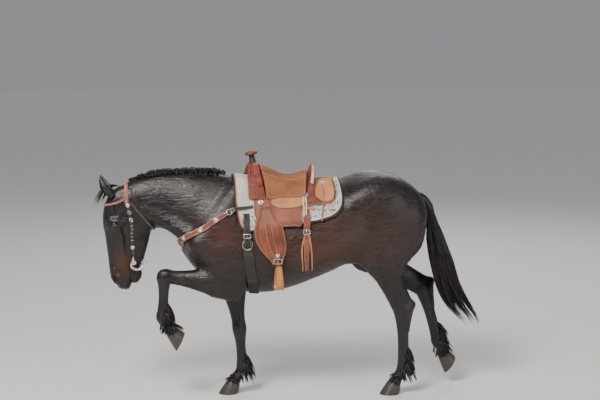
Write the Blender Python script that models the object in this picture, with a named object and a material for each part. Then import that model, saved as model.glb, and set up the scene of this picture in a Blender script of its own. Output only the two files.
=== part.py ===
# A life-size Friesian horse at a trot, in western tack, seen from its left side.
# Metres, +Z up. The horse faces -X, its left side is towards -Y, and the floor is z = 0.
import math
import random

import bmesh
import bpy
import numpy as np
from mathutils import Matrix, Vector

GAP = 0.0003
SKIN_GRID = 0.0155
HEAD_GRID = 0.009
BODY_TRIANGLES = 3300
HEAD_TRIANGLES = 1600

# Joint centres of the legs, from the height of the withers at 1.54 m and the trot of the pose
LEFT_FORE = {
    "elbow": (-0.430, -0.165, 0.838),
    "knee": (-0.880, -0.140, 0.893),
    "fetlock": (-0.893, -0.130, 0.605),
    "coffin": (-0.828, -0.128, 0.497),
}
RIGHT_FORE = {
    "elbow": (-0.395, 0.150, 0.885),
    "knee": (-0.345, 0.100, 0.462),
    "fetlock": (-0.325, 0.078, 0.182),
    "coffin": (-0.392, 0.076, 0.078),
}
LEFT_HIND = {
    "stifle": (0.612, -0.185, 0.990),
    "hock": (0.787, -0.140, 0.605),
    "fetlock": (0.808, -0.100, 0.190),
    "coffin": (0.741, -0.098, 0.078),
}
RIGHT_HIND = {
    "stifle": (0.590, 0.185, 0.960),
    "hock": (1.002, 0.140, 0.705),
    "fetlock": (1.112, 0.128, 0.315),
    "coffin": (1.158, 0.126, 0.212),
}

LEGS = {
    "left_fore": LEFT_FORE,
    "right_fore": RIGHT_FORE,
    "left_hind": LEFT_HIND,
    "right_hind": RIGHT_HIND,
}
CUTS = {"left_fore": 0.28, "right_fore": 0.20, "left_hind": 0.20, "right_hind": 0.20}
BEND = {"left_fore": "knee", "right_fore": "knee", "left_hind": "hock", "right_hind": "hock"}

# Trunk stations along the back: x, top line, widest level, underline, half width
TRUNK = (
    (-0.745, 1.170, 1.100, 1.040, 0.035),
    (-0.705, 1.290, 1.095, 0.985, 0.120),
    (-0.640, 1.420, 1.090, 0.900, 0.182),
    (-0.500, 1.500, 1.080, 0.805, 0.222),
    (-0.340, 1.540, 1.070, 0.757, 0.248),
    (-0.170, 1.518, 1.070, 0.745, 0.283),
    (0.000, 1.497, 1.080, 0.777, 0.312),
    (0.170, 1.500, 1.100, 0.838, 0.325),
    (0.330, 1.523, 1.140, 0.905, 0.315),
    (0.430, 1.558, 1.170, 0.957, 0.300),
    (0.510, 1.586, 1.200, 0.985, 0.285),
    (0.600, 1.597, 1.240, 0.990, 0.270),
    (0.720, 1.570, 1.260, 0.990, 0.240),
    (0.820, 1.513, 1.270, 1.020, 0.190),
    (0.905, 1.440, 1.280, 1.100, 0.130),
    (0.955, 1.350, 1.280, 1.190, 0.060),
)
# Neck stations, likewise, from the poll to inside the shoulders
NECK = (
    (-1.205, 1.455, 1.410, 1.360, 0.040),
    (-1.140, 1.515, 1.400, 1.310, 0.068),
    (-1.050, 1.551, 1.400, 1.245, 0.084),
    (-0.950, 1.576, 1.390, 1.212, 0.092),
    (-0.890, 1.584, 1.380, 1.206, 0.098),
    (-0.830, 1.588, 1.360, 1.180, 0.108),
    (-0.770, 1.590, 1.330, 1.125, 0.124),
    (-0.700, 1.590, 1.290, 1.030, 0.148),
    (-0.600, 1.588, 1.240, 0.960, 0.172),
    (-0.480, 1.578, 1.200, 0.940, 0.188),
    (-0.380, 1.552, 1.200, 0.950, 0.184),
    (-0.300, 1.520, 1.200, 0.980, 0.160),
)
# Head stations down the face: distance from the crown, face side, widest line, jaw side, half width
CROWN = Vector((-1.158, 0.0, 1.492))
FACE_AXIS = Vector((0.0416, 0.0, -0.9991))
SKULL = (
    (0.000, 0.042, 0.000, -0.060, 0.046),
    (0.045, 0.087, 0.015, -0.090, 0.064),
    (0.110, 0.123, 0.035, -0.100, 0.077),
    (0.180, 0.139, 0.050, -0.100, 0.083),
    (0.250, 0.142, 0.055, -0.090, 0.082),
    (0.325, 0.132, 0.050, -0.080, 0.070),
    (0.405, 0.126, 0.045, -0.070, 0.059),
    (0.475, 0.121, 0.040, -0.062, 0.052),
    (0.555, 0.117, 0.034, -0.050, 0.050),
    (0.605, 0.112, 0.034, -0.040, 0.053),
    (0.645, 0.092, 0.032, -0.034, 0.052),
    (0.680, 0.058, 0.020, -0.020, 0.043),
    (0.704, 0.022, 0.010, -0.004, 0.026),
)
JAW = (
    (0.030, -0.020, -0.060, -0.100, 0.040),
    (0.110, 0.000, -0.080, -0.150, 0.052),
    (0.180, 0.010, -0.090, -0.180, 0.058),
    (0.250, 0.010, -0.090, -0.188, 0.058),
    (0.325, 0.000, -0.085, -0.178, 0.053),
    (0.405, -0.005, -0.075, -0.156, 0.044),
    (0.475, -0.010, -0.068, -0.131, 0.037),
    (0.555, -0.025, -0.060, -0.094, 0.033),
    (0.600, -0.030, -0.060, -0.088, 0.032),
)

EYE = Vector((-1.2105, 0.0930, 1.2510))

# Half depth fore and aft, and half width, at each share of the way between two joints
FORE_GIRTHS = (
    ("elbow", "knee", ((0.0, 0.112, 0.072), (0.22, 0.102, 0.068), (0.45, 0.078, 0.056),
                       (0.70, 0.056, 0.045), (0.88, 0.049, 0.043), (1.0, 0.052, 0.047))),
    ("knee", "fetlock", ((0.16, 0.045, 0.040), (0.35, 0.037, 0.029), (0.65, 0.036, 0.028),
                         (0.86, 0.041, 0.033), (1.0, 0.047, 0.040))),
    ("fetlock", "coffin", ((0.45, 0.035, 0.034), (0.80, 0.041, 0.042), (1.0, 0.047, 0.048))),
)
HIND_GIRTHS = (
    ("stifle", "hock", ((0.0, 0.112, 0.080), (0.25, 0.094, 0.070), (0.50, 0.078, 0.056),
                        (0.75, 0.069, 0.046), (0.90, 0.065, 0.044), (1.0, 0.066, 0.048))),
    ("hock", "fetlock", ((0.12, 0.056, 0.041), (0.32, 0.044, 0.032), (0.68, 0.040, 0.031),
                         (0.88, 0.044, 0.035), (1.0, 0.050, 0.042))),
    ("fetlock", "coffin", ((0.45, 0.036, 0.034), (0.80, 0.041, 0.042), (1.0, 0.047, 0.047))),
)


def smooth_through(knots, values, t):
    """A cubic curve through the values at the knots, held level beyond the ends."""
    knots = np.asarray(knots, float)
    values = np.asarray(values, float)
    t = np.clip(t, knots[0], knots[-1])
    slope = np.gradient(values, knots, axis=0)
    i = np.clip(np.searchsorted(knots, t) - 1, 0, len(knots) - 2)
    step = knots[i + 1] - knots[i]
    s = (t - knots[i]) / step
    if values.ndim > 1:
        s = s[:, None]
        step = step[:, None]
    return (
        (1 + 2 * s) * (1 - s) ** 2 * values[i]
        + s * (1 - s) ** 2 * step * slope[i]
        + s * s * (3 - 2 * s) * values[i + 1]
        + s * s * (s - 1) * step * slope[i + 1]
    )


def blended(a, b, width):
    """The union of two fields, with a fillet of about that width where they meet."""
    h = np.clip(0.5 + 0.5 * (b - a) / width, 0, 1)
    return b * (1 - h) + a * h - width * h * (1 - h)


def carved(a, b, width):
    """Field a with the form b cut out of it, rounded over about that width."""
    return -blended(-a, b, width)


class Loft:
    """A body form with a side profile and a half width at stations along a straight axis."""

    def __init__(self, stations, origin=(0, 0, 0), along=(1, 0, 0), top_power=2.0, low_power=2.2,
                 blend=0.05, end_round=0.02):
        self.rows = np.array(stations, float)
        self.origin = np.array(origin, float)
        self.along = np.array(along, float)
        self.across = np.array((-along[2], 0, along[0]), float)
        if self.across[2] < 0 or abs(along[2]) > 0.5:
            self.across = -self.across if self.across[0] > 0 else self.across
        self.top_power = top_power
        self.low_power = low_power
        self.blend = blend
        self.end_round = end_round
        corners = [
            self.origin + u * self.along + v * self.across
            for u, top, _, low, _ in self.rows
            for v in (top, low)
        ]
        wide = self.rows[:, 4].max()
        self.low = np.min(corners, axis=0) - (0.1, wide + 0.1, 0.1)
        self.high = np.max(corners, axis=0) + (0.1, wide + 0.1, 0.1)

    def field(self, points):
        local = points - self.origin
        u = local @ self.along
        v = local @ self.across
        y = np.abs(points[:, 1])
        top, middle, low, half = smooth_through(self.rows[:, 0], self.rows[:, 1:], u).T
        above = v > middle
        reach = np.where(above, np.maximum(top - middle, 1e-3), np.maximum(middle - low, 1e-3))
        power = np.where(above, self.top_power, self.low_power)
        a = y / np.maximum(half, 1e-3)
        b = np.abs(v - middle) / reach
        ratio = np.maximum((a**power + b**power) ** (1 / power), 1e-6)
        distance = np.hypot(y, v - middle) * (1 - 1 / ratio)
        distance = np.maximum(distance, -np.minimum(half, reach))
        ends = np.maximum(self.rows[0, 0] - u, u - self.rows[-1, 0])
        return -blended(-distance, -ends, self.end_round)


class Limb:
    """A limb or a muscle with an oval section, through stations (x, y, z, half depth, half width)."""

    def __init__(self, stations, blend=0.03, steps=4):
        rows = np.array(stations, float)
        rows = rows if len(rows) > 1 else np.vstack([rows, rows + (1e-4, 0, 0, 0, 0)])
        knots = np.concatenate([[0], np.cumsum(np.linalg.norm(np.diff(rows[:, :3], axis=0), axis=1))])
        count = steps * (len(rows) - 1) + 1
        self.rows = smooth_through(knots, rows, np.interp(np.linspace(0, 1, count),
                                                         np.linspace(0, 1, len(rows)), knots))
        self.blend = blend
        reach = self.rows[:, 3:].max(axis=1)[:, None] + blend + 0.02
        self.low = (self.rows[:, :3] - reach).min(axis=0)
        self.high = (self.rows[:, :3] + reach).max(axis=0)

    def field(self, points):
        found = np.full(len(points), np.inf)
        for start, end in zip(self.rows[:-1], self.rows[1:]):
            step = end[:3] - start[:3]
            length = max(step @ step, 1e-12)
            t = np.clip((points - start[:3]) @ step / length, 0, 1)
            away = points - start[:3] - t[:, None] * step
            depth = start[3] + t * (end[3] - start[3])
            width = start[4] + t * (end[4] - start[4])
            across = np.hypot(away[:, 0], away[:, 2])
            ratio = np.maximum(np.hypot(across / depth, away[:, 1] / width), 1e-6)
            distance = np.hypot(across, away[:, 1]) * (1 - 1 / ratio)
            np.minimum(found, np.maximum(distance, -np.minimum(depth, width)), out=found)
        return found


class Bulge:
    """A rounded mass: centre, three half sizes, and its lean in the side view in degrees."""

    def __init__(self, centre, sizes, lean=0.0, yaw=0.0, blend=0.05):
        self.centre = np.array(centre, float)
        self.sizes = np.array(sizes, float)
        turn = Matrix.Rotation(math.radians(yaw), 3, "Z") @ Matrix.Rotation(math.radians(lean), 3, "Y")
        self.turn = np.array(turn)
        self.blend = blend
        self.low = self.centre - self.sizes.max() - blend - 0.02
        self.high = self.centre + self.sizes.max() + blend + 0.02

    def field(self, points):
        local = (points - self.centre) @ self.turn
        ratio = np.maximum(np.linalg.norm(local / self.sizes, axis=1), 1e-6)
        distance = np.linalg.norm(local, axis=1) * (1 - 1 / ratio)
        return np.maximum(distance, -self.sizes.min())


def face_point(down, out, side):
    """A point on the head: how far down the face, out towards the face, and to the left (-) or right."""
    across = Vector((FACE_AXIS.z, 0, -FACE_AXIS.x))
    return CROWN + FACE_AXIS * down + across * out + Vector((0, side, 0))


def leg_stations(joints, girths):
    """Stations down a leg, at the shares of each bone's length that the girths name."""
    rows = []
    for upper, lower, shares in girths:
        a, b = Vector(joints[upper]), Vector(joints[lower])
        rows += [(*a.lerp(b, share), depth, width) for share, depth, width in shares]
    return rows


def trunk_forms():
    """Trunk, neck, and the muscles of shoulder, back, flank and haunch."""
    forms = [
        Loft(TRUNK, top_power=1.9, low_power=2.1, blend=0.05, end_round=0.03),
        Loft(NECK, top_power=1.75, low_power=1.9, blend=0.07, end_round=0.03),
    ]
    for side, fore in ((-1, LEFT_FORE), (1, RIGHT_FORE)):
        reach = 0.035 if side < 0 else 0.0
        shoulder = (-0.595 - reach, side * 0.170, 1.085 + reach)
        elbow = fore["elbow"]
        forms += [
            Limb(((-0.350, side * 0.105, 1.470, 0.070, 0.050), (-0.470, side * 0.165, 1.290, 0.085, 0.055),
                  (*shoulder, 0.075, 0.058)), blend=0.06),
            Limb(((*shoulder, 0.070, 0.055), (elbow[0], elbow[1], elbow[2] + 0.05, 0.085, 0.062)),
                 blend=0.05),
            Bulge((-0.425 - reach, side * 0.195, 1.050), (0.150, 0.060, 0.115), lean=35, blend=0.06),
            Bulge((-0.655, side * 0.090, 1.050), (0.070, 0.080, 0.105), lean=-20, blend=0.04),
            Bulge((-0.440, side * 0.060, 0.860), (0.150, 0.070, 0.090), blend=0.06),
            Limb(((-1.010, side * 0.056, 1.330, 0.045, 0.034), (-0.850, side * 0.080, 1.265, 0.055, 0.040),
                  (-0.690, side * 0.125, 1.160, 0.060, 0.050)), blend=0.04),
            Limb(((0.445, side * 0.190, 1.405, 0.040, 0.045), (0.540, side * 0.165, 1.420, 0.095, 0.090),
                  (0.660, side * 0.140, 1.405, 0.150, 0.115), (0.790, side * 0.115, 1.330, 0.145,
                                                               0.105)), blend=0.10),
            Bulge((0.800, side * 0.135, 1.220), (0.135, 0.112, 0.220), lean=-10, blend=0.09),
        ]
    for side, hind in ((-1, LEFT_HIND), (1, RIGHT_HIND)):
        stifle = Vector(hind["stifle"])
        hock = Vector(hind["hock"])
        calf = stifle.lerp(hock, 0.22)
        back = Vector((stifle.z - hock.z, 0, hock.x - stifle.x)).normalized()
        forms += [
            Limb(((0.660, side * 0.165, 1.330, 0.150, 0.110),
                  (*stifle.lerp(Vector((0.66, side * 0.17, 1.33)), 0.42), 0.150, 0.100),
                  (*stifle, 0.110, 0.078)), blend=0.07),
            Limb(((0.835, side * 0.130, 1.280, 0.105, 0.095), (0.790, side * 0.150, 1.110, 0.110, 0.085),
                  (*(calf + back * 0.075), 0.070, 0.058)), blend=0.05),
            Bulge((0.440, side * 0.190, 1.080), (0.120, 0.060, 0.120), lean=30, blend=0.07),
        ]
    return forms


def head_forms():
    """The skull and jaw with cheeks, brows, cheekbones, nostrils, lips and chin."""
    forms = [
        Loft(SKULL, CROWN, FACE_AXIS, top_power=2.5, low_power=2.2, blend=0.045, end_round=0.02),
        Loft(JAW, CROWN, FACE_AXIS, top_power=2.2, low_power=2.2, blend=0.045, end_round=0.02),
    ]
    for side in (-1, 1):
        forms += [
            Bulge(face_point(0.238, -0.082, side * 0.048), (0.100, 0.036, 0.112), lean=4, blend=0.035),
            Bulge(face_point(0.105, -0.045, side * 0.052), (0.060, 0.030, 0.070), blend=0.040),
            Bulge(face_point(0.240, 0.056, side * 0.070), (0.052, 0.030, 0.044), lean=-14, blend=0.035),
            Limb(((*face_point(0.216, 0.100, side * 0.074), 0.011, 0.011),
                  (*face_point(0.209, 0.072, side * 0.089), 0.011, 0.010),
                  (*face_point(0.218, 0.034, side * 0.091), 0.011,
                   0.010), (*face_point(0.222, -0.010, side * 0.084), 0.012, 0.010)),
                 blend=0.022),
            Limb(((*face_point(0.262, 0.050, side * 0.092), 0.014, 0.010),
                  (*face_point(0.310, 0.026, side * 0.081), 0.013, 0.010),
                  (*face_point(0.370, 0.014, side * 0.069), 0.011,
                   0.009), (*face_point(0.440, 0.006, side * 0.052), 0.008, 0.008)),
                 blend=0.030),
            Bulge(face_point(0.628, 0.070, side * 0.042), (0.028, 0.018, 0.034), lean=-22, blend=0.025),
            Limb(((*face_point(0.560, 0.080, side * 0.040), 0.012, 0.012),
                  (*face_point(0.610, 0.095, side * 0.044), 0.012, 0.012)),
                 blend=0.02),
            Bulge(face_point(0.600, 0.010, side * 0.038), (0.040, 0.018, 0.050), blend=0.025),
        ]
    forms += [
        Bulge(face_point(0.600, -0.068, 0), (0.037, 0.037, 0.038), lean=-10, blend=0.025),
        Bulge(face_point(0.636, -0.054, 0), (0.028, 0.038, 0.028), lean=-30, blend=0.030),
        Bulge(face_point(0.668, 0.024, 0), (0.046, 0.043, 0.034), lean=-28, blend=0.025),
    ]
    return forms


def leg_forms():
    """The four legs to the top of the hoof, with knees, hocks, tendons and fetlocks."""
    forms = []
    for joints in (LEFT_FORE, RIGHT_FORE):
        forms.append(Limb(leg_stations(joints, FORE_GIRTHS), blend=0.05, steps=3))
        elbow, knee = Vector(joints["elbow"]), Vector(joints["knee"])
        down = (knee - elbow).normalized()
        back = Vector((-down.z, 0, down.x)) if down.z < -0.5 else Vector((0, 0, -1))
        point = elbow + back * 0.085 - down * 0.03
        forms.append(Limb(((*point, 0.034, 0.030), (*(elbow + back * 0.05 + down * 0.10), 0.05, 0.045)),
                          blend=0.04))
    for joints in (LEFT_HIND, RIGHT_HIND):
        forms.append(Limb(leg_stations(joints, HIND_GIRTHS), blend=0.07, steps=3))
        stifle, hock, fetlock = (Vector(joints[name]) for name in ("stifle", "hock", "fetlock"))
        up = (hock - fetlock).normalized()
        back = Vector((up.z, 0, -up.x))
        point = hock + up * 0.040 + back * 0.062
        heel = Vector((stifle.z - hock.z, 0, hock.x - stifle.x)).normalized()
        forms += [
            Limb(((*hock, 0.050, 0.042), (*point, 0.028, 0.025)), blend=0.025),
            Limb(((*point, 0.018, 0.016), (*(stifle.lerp(hock, 0.50) + heel * 0.055), 0.036, 0.034)),
                 blend=0.03),
            Limb(((*point, 0.022, 0.018), (*(hock.lerp(fetlock, 0.32) + back * 0.026), 0.019, 0.018)),
                 blend=0.025),
        ]
    forms.append(Limb(((0.880, 0, 1.405, 0.038, 0.040), (0.945, 0, 1.388, 0.034, 0.036),
                       (0.992, 0, 1.345, 0.029, 0.031), (1.018, 0, 1.285, 0.024, 0.026),
                       (1.034, 0, 1.205, 0.016, 0.018)), blend=0.02))
    return forms


FORMS = trunk_forms() + head_forms() + leg_forms()


def horse_field(points):
    """Signed distance, roughly in metres, to the horse's skin: negative inside."""
    found = np.full(len(points), 1.0)
    for form in FORMS:
        near = np.all((points > form.low) & (points < form.high), axis=1)
        if near.any():
            found[near] = blended(form.field(points[near]), found[near], form.blend)
    return found


def skin_slope(points, step=0.002):
    """The direction in which the distance to the skin grows, one unit vector for each point."""
    slope = np.stack([
        horse_field(points + step * axis) - horse_field(points - step * axis) for axis in np.eye(3)
    ], axis=1)
    return slope / (2 * step)


def grid_values(low, high, grid):
    """The field on a regular grid, worked out in full only close to the skin."""
    coarse = 2 * grid
    shape = np.ceil((high - low) / coarse).astype(int) + 1
    ticks = [low[i] + coarse * np.arange(shape[i]) for i in range(3)]
    points = np.stack(np.meshgrid(*ticks, indexing="ij"), axis=-1).reshape(-1, 3)
    rough = horse_field(points).reshape(shape)
    fine = np.repeat(np.repeat(np.repeat(rough, 2, 0), 2, 1), 2, 2)
    close = np.abs(fine) < 5 * coarse
    where = np.argwhere(close)
    fine[close] = horse_field(low + where * grid)
    return fine


def surface_of(values, low, grid):
    """Points and four-sided faces of the zero surface of a grid of values."""
    inside = values < 0
    nx, ny, nz = values.shape
    count = np.zeros((nx - 1, ny - 1, nz - 1), np.int8)
    for i in (0, 1):
        for j in (0, 1):
            for k in (0, 1):
                count += inside[i:nx - 1 + i, j:ny - 1 + j, k:nz - 1 + k]
    cells = np.argwhere((count > 0) & (count < 8))
    number = np.full(count.shape, -1)
    number[tuple(cells.T)] = np.arange(len(cells))
    total = np.zeros((len(cells), 3))
    hits = np.zeros(len(cells))
    for axis in range(3):
        others = [a for a in range(3) if a != axis]
        for m in (0, 1):
            for n in (0, 1):
                start = cells.copy()
                start[:, others[0]] += m
                start[:, others[1]] += n
                end = start.copy()
                end[:, axis] += 1
                a, b = values[tuple(start.T)], values[tuple(end.T)]
                crosses = (a < 0) != (b < 0)
                share = np.where(crosses, a / np.where(crosses, a - b, 1), 0)
                place = start.astype(float)
                place[:, axis] += share
                total += place * crosses[:, None]
                hits += crosses
    points = low + grid * total / hits[:, None]
    faces = []
    for axis in range(3):
        u, w = [a for a in range(3) if a != axis]
        start = [slice(None)] * 3
        end = [slice(None)] * 3
        start[axis], end[axis] = slice(0, -1), slice(1, None)
        changes = inside[tuple(start)] != inside[tuple(end)]
        edges = np.argwhere(changes)
        edges = edges[(edges[:, u] > 0) & (edges[:, w] > 0)]
        corners = []
        for du, dw in ((-1, -1), (0, -1), (0, 0), (-1, 0)):
            cell = edges.copy()
            cell[:, u] += du
            cell[:, w] += dw
            corners.append(number[tuple(cell.T)])
        quads = np.stack(corners, axis=1)
        outward = inside[tuple(edges.T)] == (axis != 1)
        quads[~outward] = quads[~outward][:, ::-1]
        faces.append(quads)
    return points, np.concatenate(faces)


def clear_scene():
    for obj in list(bpy.data.objects):
        bpy.data.objects.remove(obj, do_unlink=True)


def finish_material(name, colour, roughness, metallic=0.0):
    material = bpy.data.materials.new(name)
    material.use_nodes = True
    shader = material.node_tree.nodes["Principled BSDF"]
    shader.inputs["Base Color"].default_value = (*colour, 1)
    shader.inputs["Roughness"].default_value = roughness
    shader.inputs["Metallic"].default_value = metallic
    return material


def mesh_object(name, points, faces, material=None):
    mesh = bpy.data.meshes.new(name)
    mesh.from_pydata([tuple(p) for p in points], [], [tuple(f) for f in faces])
    mesh.update()
    obj = bpy.data.objects.new(name, mesh)
    bpy.context.scene.collection.objects.link(obj)
    if material:
        mesh.materials.append(material)
    return obj


def apply_modifiers(obj):
    graph = bpy.context.evaluated_depsgraph_get()
    baked = bpy.data.meshes.new_from_object(obj.evaluated_get(graph))
    obj.modifiers.clear()
    obj.data = baked
    return obj


def skin_between(low, high, grid, triangles):
    """The horse's skin inside a box as one closed mesh, thinned to about that many triangles."""
    low, high = np.array(low, float), np.array(high, float)
    values = grid_values(low, high, grid)
    for axis in range(3):
        for end in (0, -1):
            edge = [slice(None)] * 3
            edge[axis] = end
            values[tuple(edge)] = np.abs(values[tuple(edge)])
    points, faces = surface_of(values, low, grid)
    inner = np.all((points > low + 2 * grid) & (points < high - 3 * grid), axis=1)
    for _ in range(3):
        slope = skin_slope(points[inner])
        size = np.maximum((slope**2).sum(axis=1), 0.05)
        points[inner] -= slope * (horse_field(points[inner]) / size)[:, None] * 0.9
    skin = mesh_object("skin", points, faces)
    thin = skin.modifiers.new("thin", "DECIMATE")
    thin.ratio = triangles / (2 * len(faces))
    return apply_modifiers(skin)


def boolean(obj, cutter, operation="DIFFERENCE"):
    """The object after one exact Boolean with the cutter, which is then removed."""
    step = obj.modifiers.new("cut", "BOOLEAN")
    step.operation = operation
    step.solver = "EXACT"
    step.object = cutter
    apply_modifiers(obj)
    bpy.data.objects.remove(cutter, do_unlink=True)
    return obj


def joined(name, objects):
    """Several meshes as one object, without a Boolean."""
    mesh = bmesh.new()
    for obj in objects:
        mesh.from_mesh(obj.data)
        bpy.data.objects.remove(obj, do_unlink=True)
    data = bpy.data.meshes.new(name)
    mesh.to_mesh(data)
    mesh.free()
    whole = bpy.data.objects.new(name, data)
    bpy.context.scene.collection.objects.link(whole)
    return whole


def loose_parts(obj):
    """Splits a mesh into its separate closed surfaces, as a list of (centre, object)."""
    mesh = bmesh.new()
    mesh.from_mesh(obj.data)
    bmesh.ops.remove_doubles(mesh, verts=mesh.verts, dist=1e-7)
    left = set(mesh.verts)
    parts = []
    while left:
        stack = [left.pop()]
        island = set(stack)
        while stack:
            for edge in stack.pop().link_edges:
                for vert in edge.verts:
                    if vert in left:
                        left.remove(vert)
                        island.add(vert)
                        stack.append(vert)
        order = {vert: i for i, vert in enumerate(island)}
        faces = {face for vert in island for face in vert.link_faces}
        points = [tuple(vert.co) for vert in order]
        part = mesh_object("part", points, [[order[v] for v in face.verts] for face in faces])
        parts.append((Vector(np.mean(points, axis=0)), part))
    mesh.free()
    bpy.data.objects.remove(obj, do_unlink=True)
    return parts


def largest_part(obj):
    """Keeps the largest closed surface of a mesh."""
    name = obj.name
    material = obj.data.materials[0] if obj.data.materials else None
    parts = sorted(loose_parts(obj), key=lambda item: len(item[1].data.vertices))
    keep = parts.pop()[1]
    for _, part in parts:
        bpy.data.objects.remove(part, do_unlink=True)
    keep.name = name
    if material:
        keep.data.materials.append(material)
    return keep


def finished(obj, material=None):
    """Welds, turns all faces outward and splits them into triangles."""
    mesh = bmesh.new()
    mesh.from_mesh(obj.data)
    bmesh.ops.remove_doubles(mesh, verts=mesh.verts, dist=1e-6)
    bmesh.ops.dissolve_degenerate(mesh, edges=mesh.edges, dist=1e-6)
    bmesh.ops.triangulate(mesh, faces=mesh.faces)
    bmesh.ops.recalc_face_normals(mesh, faces=mesh.faces)
    if mesh.calc_volume(signed=True) < 0:
        bmesh.ops.reverse_faces(mesh, faces=mesh.faces)
    mesh.to_mesh(obj.data)
    mesh.free()
    if material:
        obj.data.materials.clear()
        obj.data.materials.append(material)
    return obj


def disc(centre, normal, radius, wide=None, thick=GAP + 0.0001, sides=28):
    """A thin round or oval plate that parts the skin where a piece ends."""
    normal = Vector(normal).normalized()
    across = Vector((0, 1, 0))
    across = (across - normal * across.dot(normal)).normalized()
    along = across.cross(normal)
    rings = []
    for shift in (-0.5, 0.5):
        middle = Vector(centre) + normal * thick * shift
        rings += [
            middle + along * radius * math.cos(a) + across * (wide or radius) * math.sin(a)
            for a in np.linspace(0, 2 * math.pi, sides, endpoint=False)
        ]
    walls = [(i, (i + 1) % sides, sides + (i + 1) % sides, sides + i) for i in range(sides)]
    faces = walls + [tuple(range(sides))[::-1], tuple(range(sides, 2 * sides))]
    return finished(mesh_object("disc", rings, faces))


def slab(name, inner, outer, material):
    """A closed sheet between two grids of points of the same shape."""
    inner, outer = np.asarray(inner, float), np.asarray(outer, float)
    rows, columns = inner.shape[:2]
    points = np.concatenate([inner.reshape(-1, 3), outer.reshape(-1, 3)])
    last = rows * columns

    def at(i, j, layer=0):
        return layer * last + i * columns + j

    faces = []
    for i in range(rows - 1):
        for j in range(columns - 1):
            faces.append((at(i, j), at(i, j + 1), at(i + 1, j + 1), at(i + 1, j)))
            faces.append((at(i, j, 1), at(i + 1, j, 1), at(i + 1, j + 1, 1), at(i, j + 1, 1)))
    for i in range(rows - 1):
        for j in (0, columns - 1):
            faces.append((at(i, j), at(i + 1, j), at(i + 1, j, 1), at(i, j, 1)))
    for j in range(columns - 1):
        for i in (0, rows - 1):
            faces.append((at(i, j), at(i, j + 1), at(i, j + 1, 1), at(i, j, 1)))
    return finished(mesh_object(name, points, faces), material)


def loop(name, inner, outer, material):
    """A closed band: like a slab, but its last row joins its first."""
    inner, outer = np.asarray(inner, float), np.asarray(outer, float)
    rows, columns = inner.shape[:2]
    points = np.concatenate([inner.reshape(-1, 3), outer.reshape(-1, 3)])
    last = rows * columns

    def at(i, j, layer=0):
        return layer * last + (i % rows) * columns + j

    faces = []
    for i in range(rows):
        for j in range(columns - 1):
            faces.append((at(i, j), at(i, j + 1), at(i + 1, j + 1), at(i + 1, j)))
            faces.append((at(i, j, 1), at(i + 1, j, 1), at(i + 1, j + 1, 1), at(i, j + 1, 1)))
        for j in (0, columns - 1):
            faces.append((at(i, j), at(i + 1, j), at(i + 1, j, 1), at(i, j, 1)))
    return finished(mesh_object(name, points, faces), material)


def skin_hits(starts, directions, lift=0.0, reach=0.60):
    """Where rays from inside the body reach a height above the skin."""
    starts = np.atleast_2d(np.asarray(starts, float))
    directions = np.atleast_2d(np.asarray(directions, float))
    directions = directions / np.linalg.norm(directions, axis=1, keepdims=True)
    lift = np.broadcast_to(lift, len(starts))
    steps = np.linspace(0, reach, 61)
    points = starts[:, None] + directions[:, None] * steps[None, :, None]
    values = horse_field(points.reshape(-1, 3)).reshape(len(starts), -1) - lift[:, None]
    first = np.maximum((values > 0).argmax(axis=1), 1)
    row = np.arange(len(starts))
    low, high = steps[first - 1], steps[first]
    for _ in range(12):
        middle = (low + high) / 2
        outside = horse_field(starts + directions * middle[:, None]) - lift > 0
        high = np.where(outside, middle, high)
        low = np.where(outside, low, middle)
    return starts + directions * ((low + high) / 2)[row, None]


def over_trunk(x, angle, lift):
    """Points at a height over the trunk: 0 degrees is the spine and -90 the left side."""
    x, angle, lift = np.broadcast_arrays(np.asarray(x, float), np.radians(angle), lift)
    starts = np.stack([x.ravel(), 0 * x.ravel(), np.full(x.size, 1.14)], axis=1)
    directions = np.stack([0 * x.ravel(), np.sin(angle.ravel()), np.cos(angle.ravel())], axis=1)
    return skin_hits(starts, directions, lift.ravel()).reshape(*x.shape, 3)


def on_head(down, out, side, lift):
    """Points straight out sideways from the head at a distance down and towards the face."""
    down, out, side, lift = np.broadcast_arrays(down, out, side, lift)
    starts = np.array([face_point(float(u), float(v), 0) for u, v in zip(down.ravel(), out.ravel())])
    directions = np.stack([0 * down.ravel(), side.ravel(), 0 * down.ravel()], axis=1).astype(float)
    return skin_hits(starts, directions, lift.ravel(), 0.2).reshape(*down.shape, 3)


def round_head(down, angle, lift):
    """Points around the head: 0 degrees is the face, 90 the horse's right, 180 under the jaw."""
    down, angle, lift = np.broadcast_arrays(np.asarray(down, float), np.radians(angle), lift)
    across = -np.array((FACE_AXIS.z * -1, 0, FACE_AXIS.x))
    starts = np.array([face_point(float(u), -0.02, 0) for u in down.ravel()])
    turns = angle.ravel()[:, None]
    directions = across * np.cos(turns) + np.array((0, 1, 0)) * np.sin(turns)
    return skin_hits(starts, directions, lift.ravel(), 0.3).reshape(*down.shape, 3)


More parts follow.
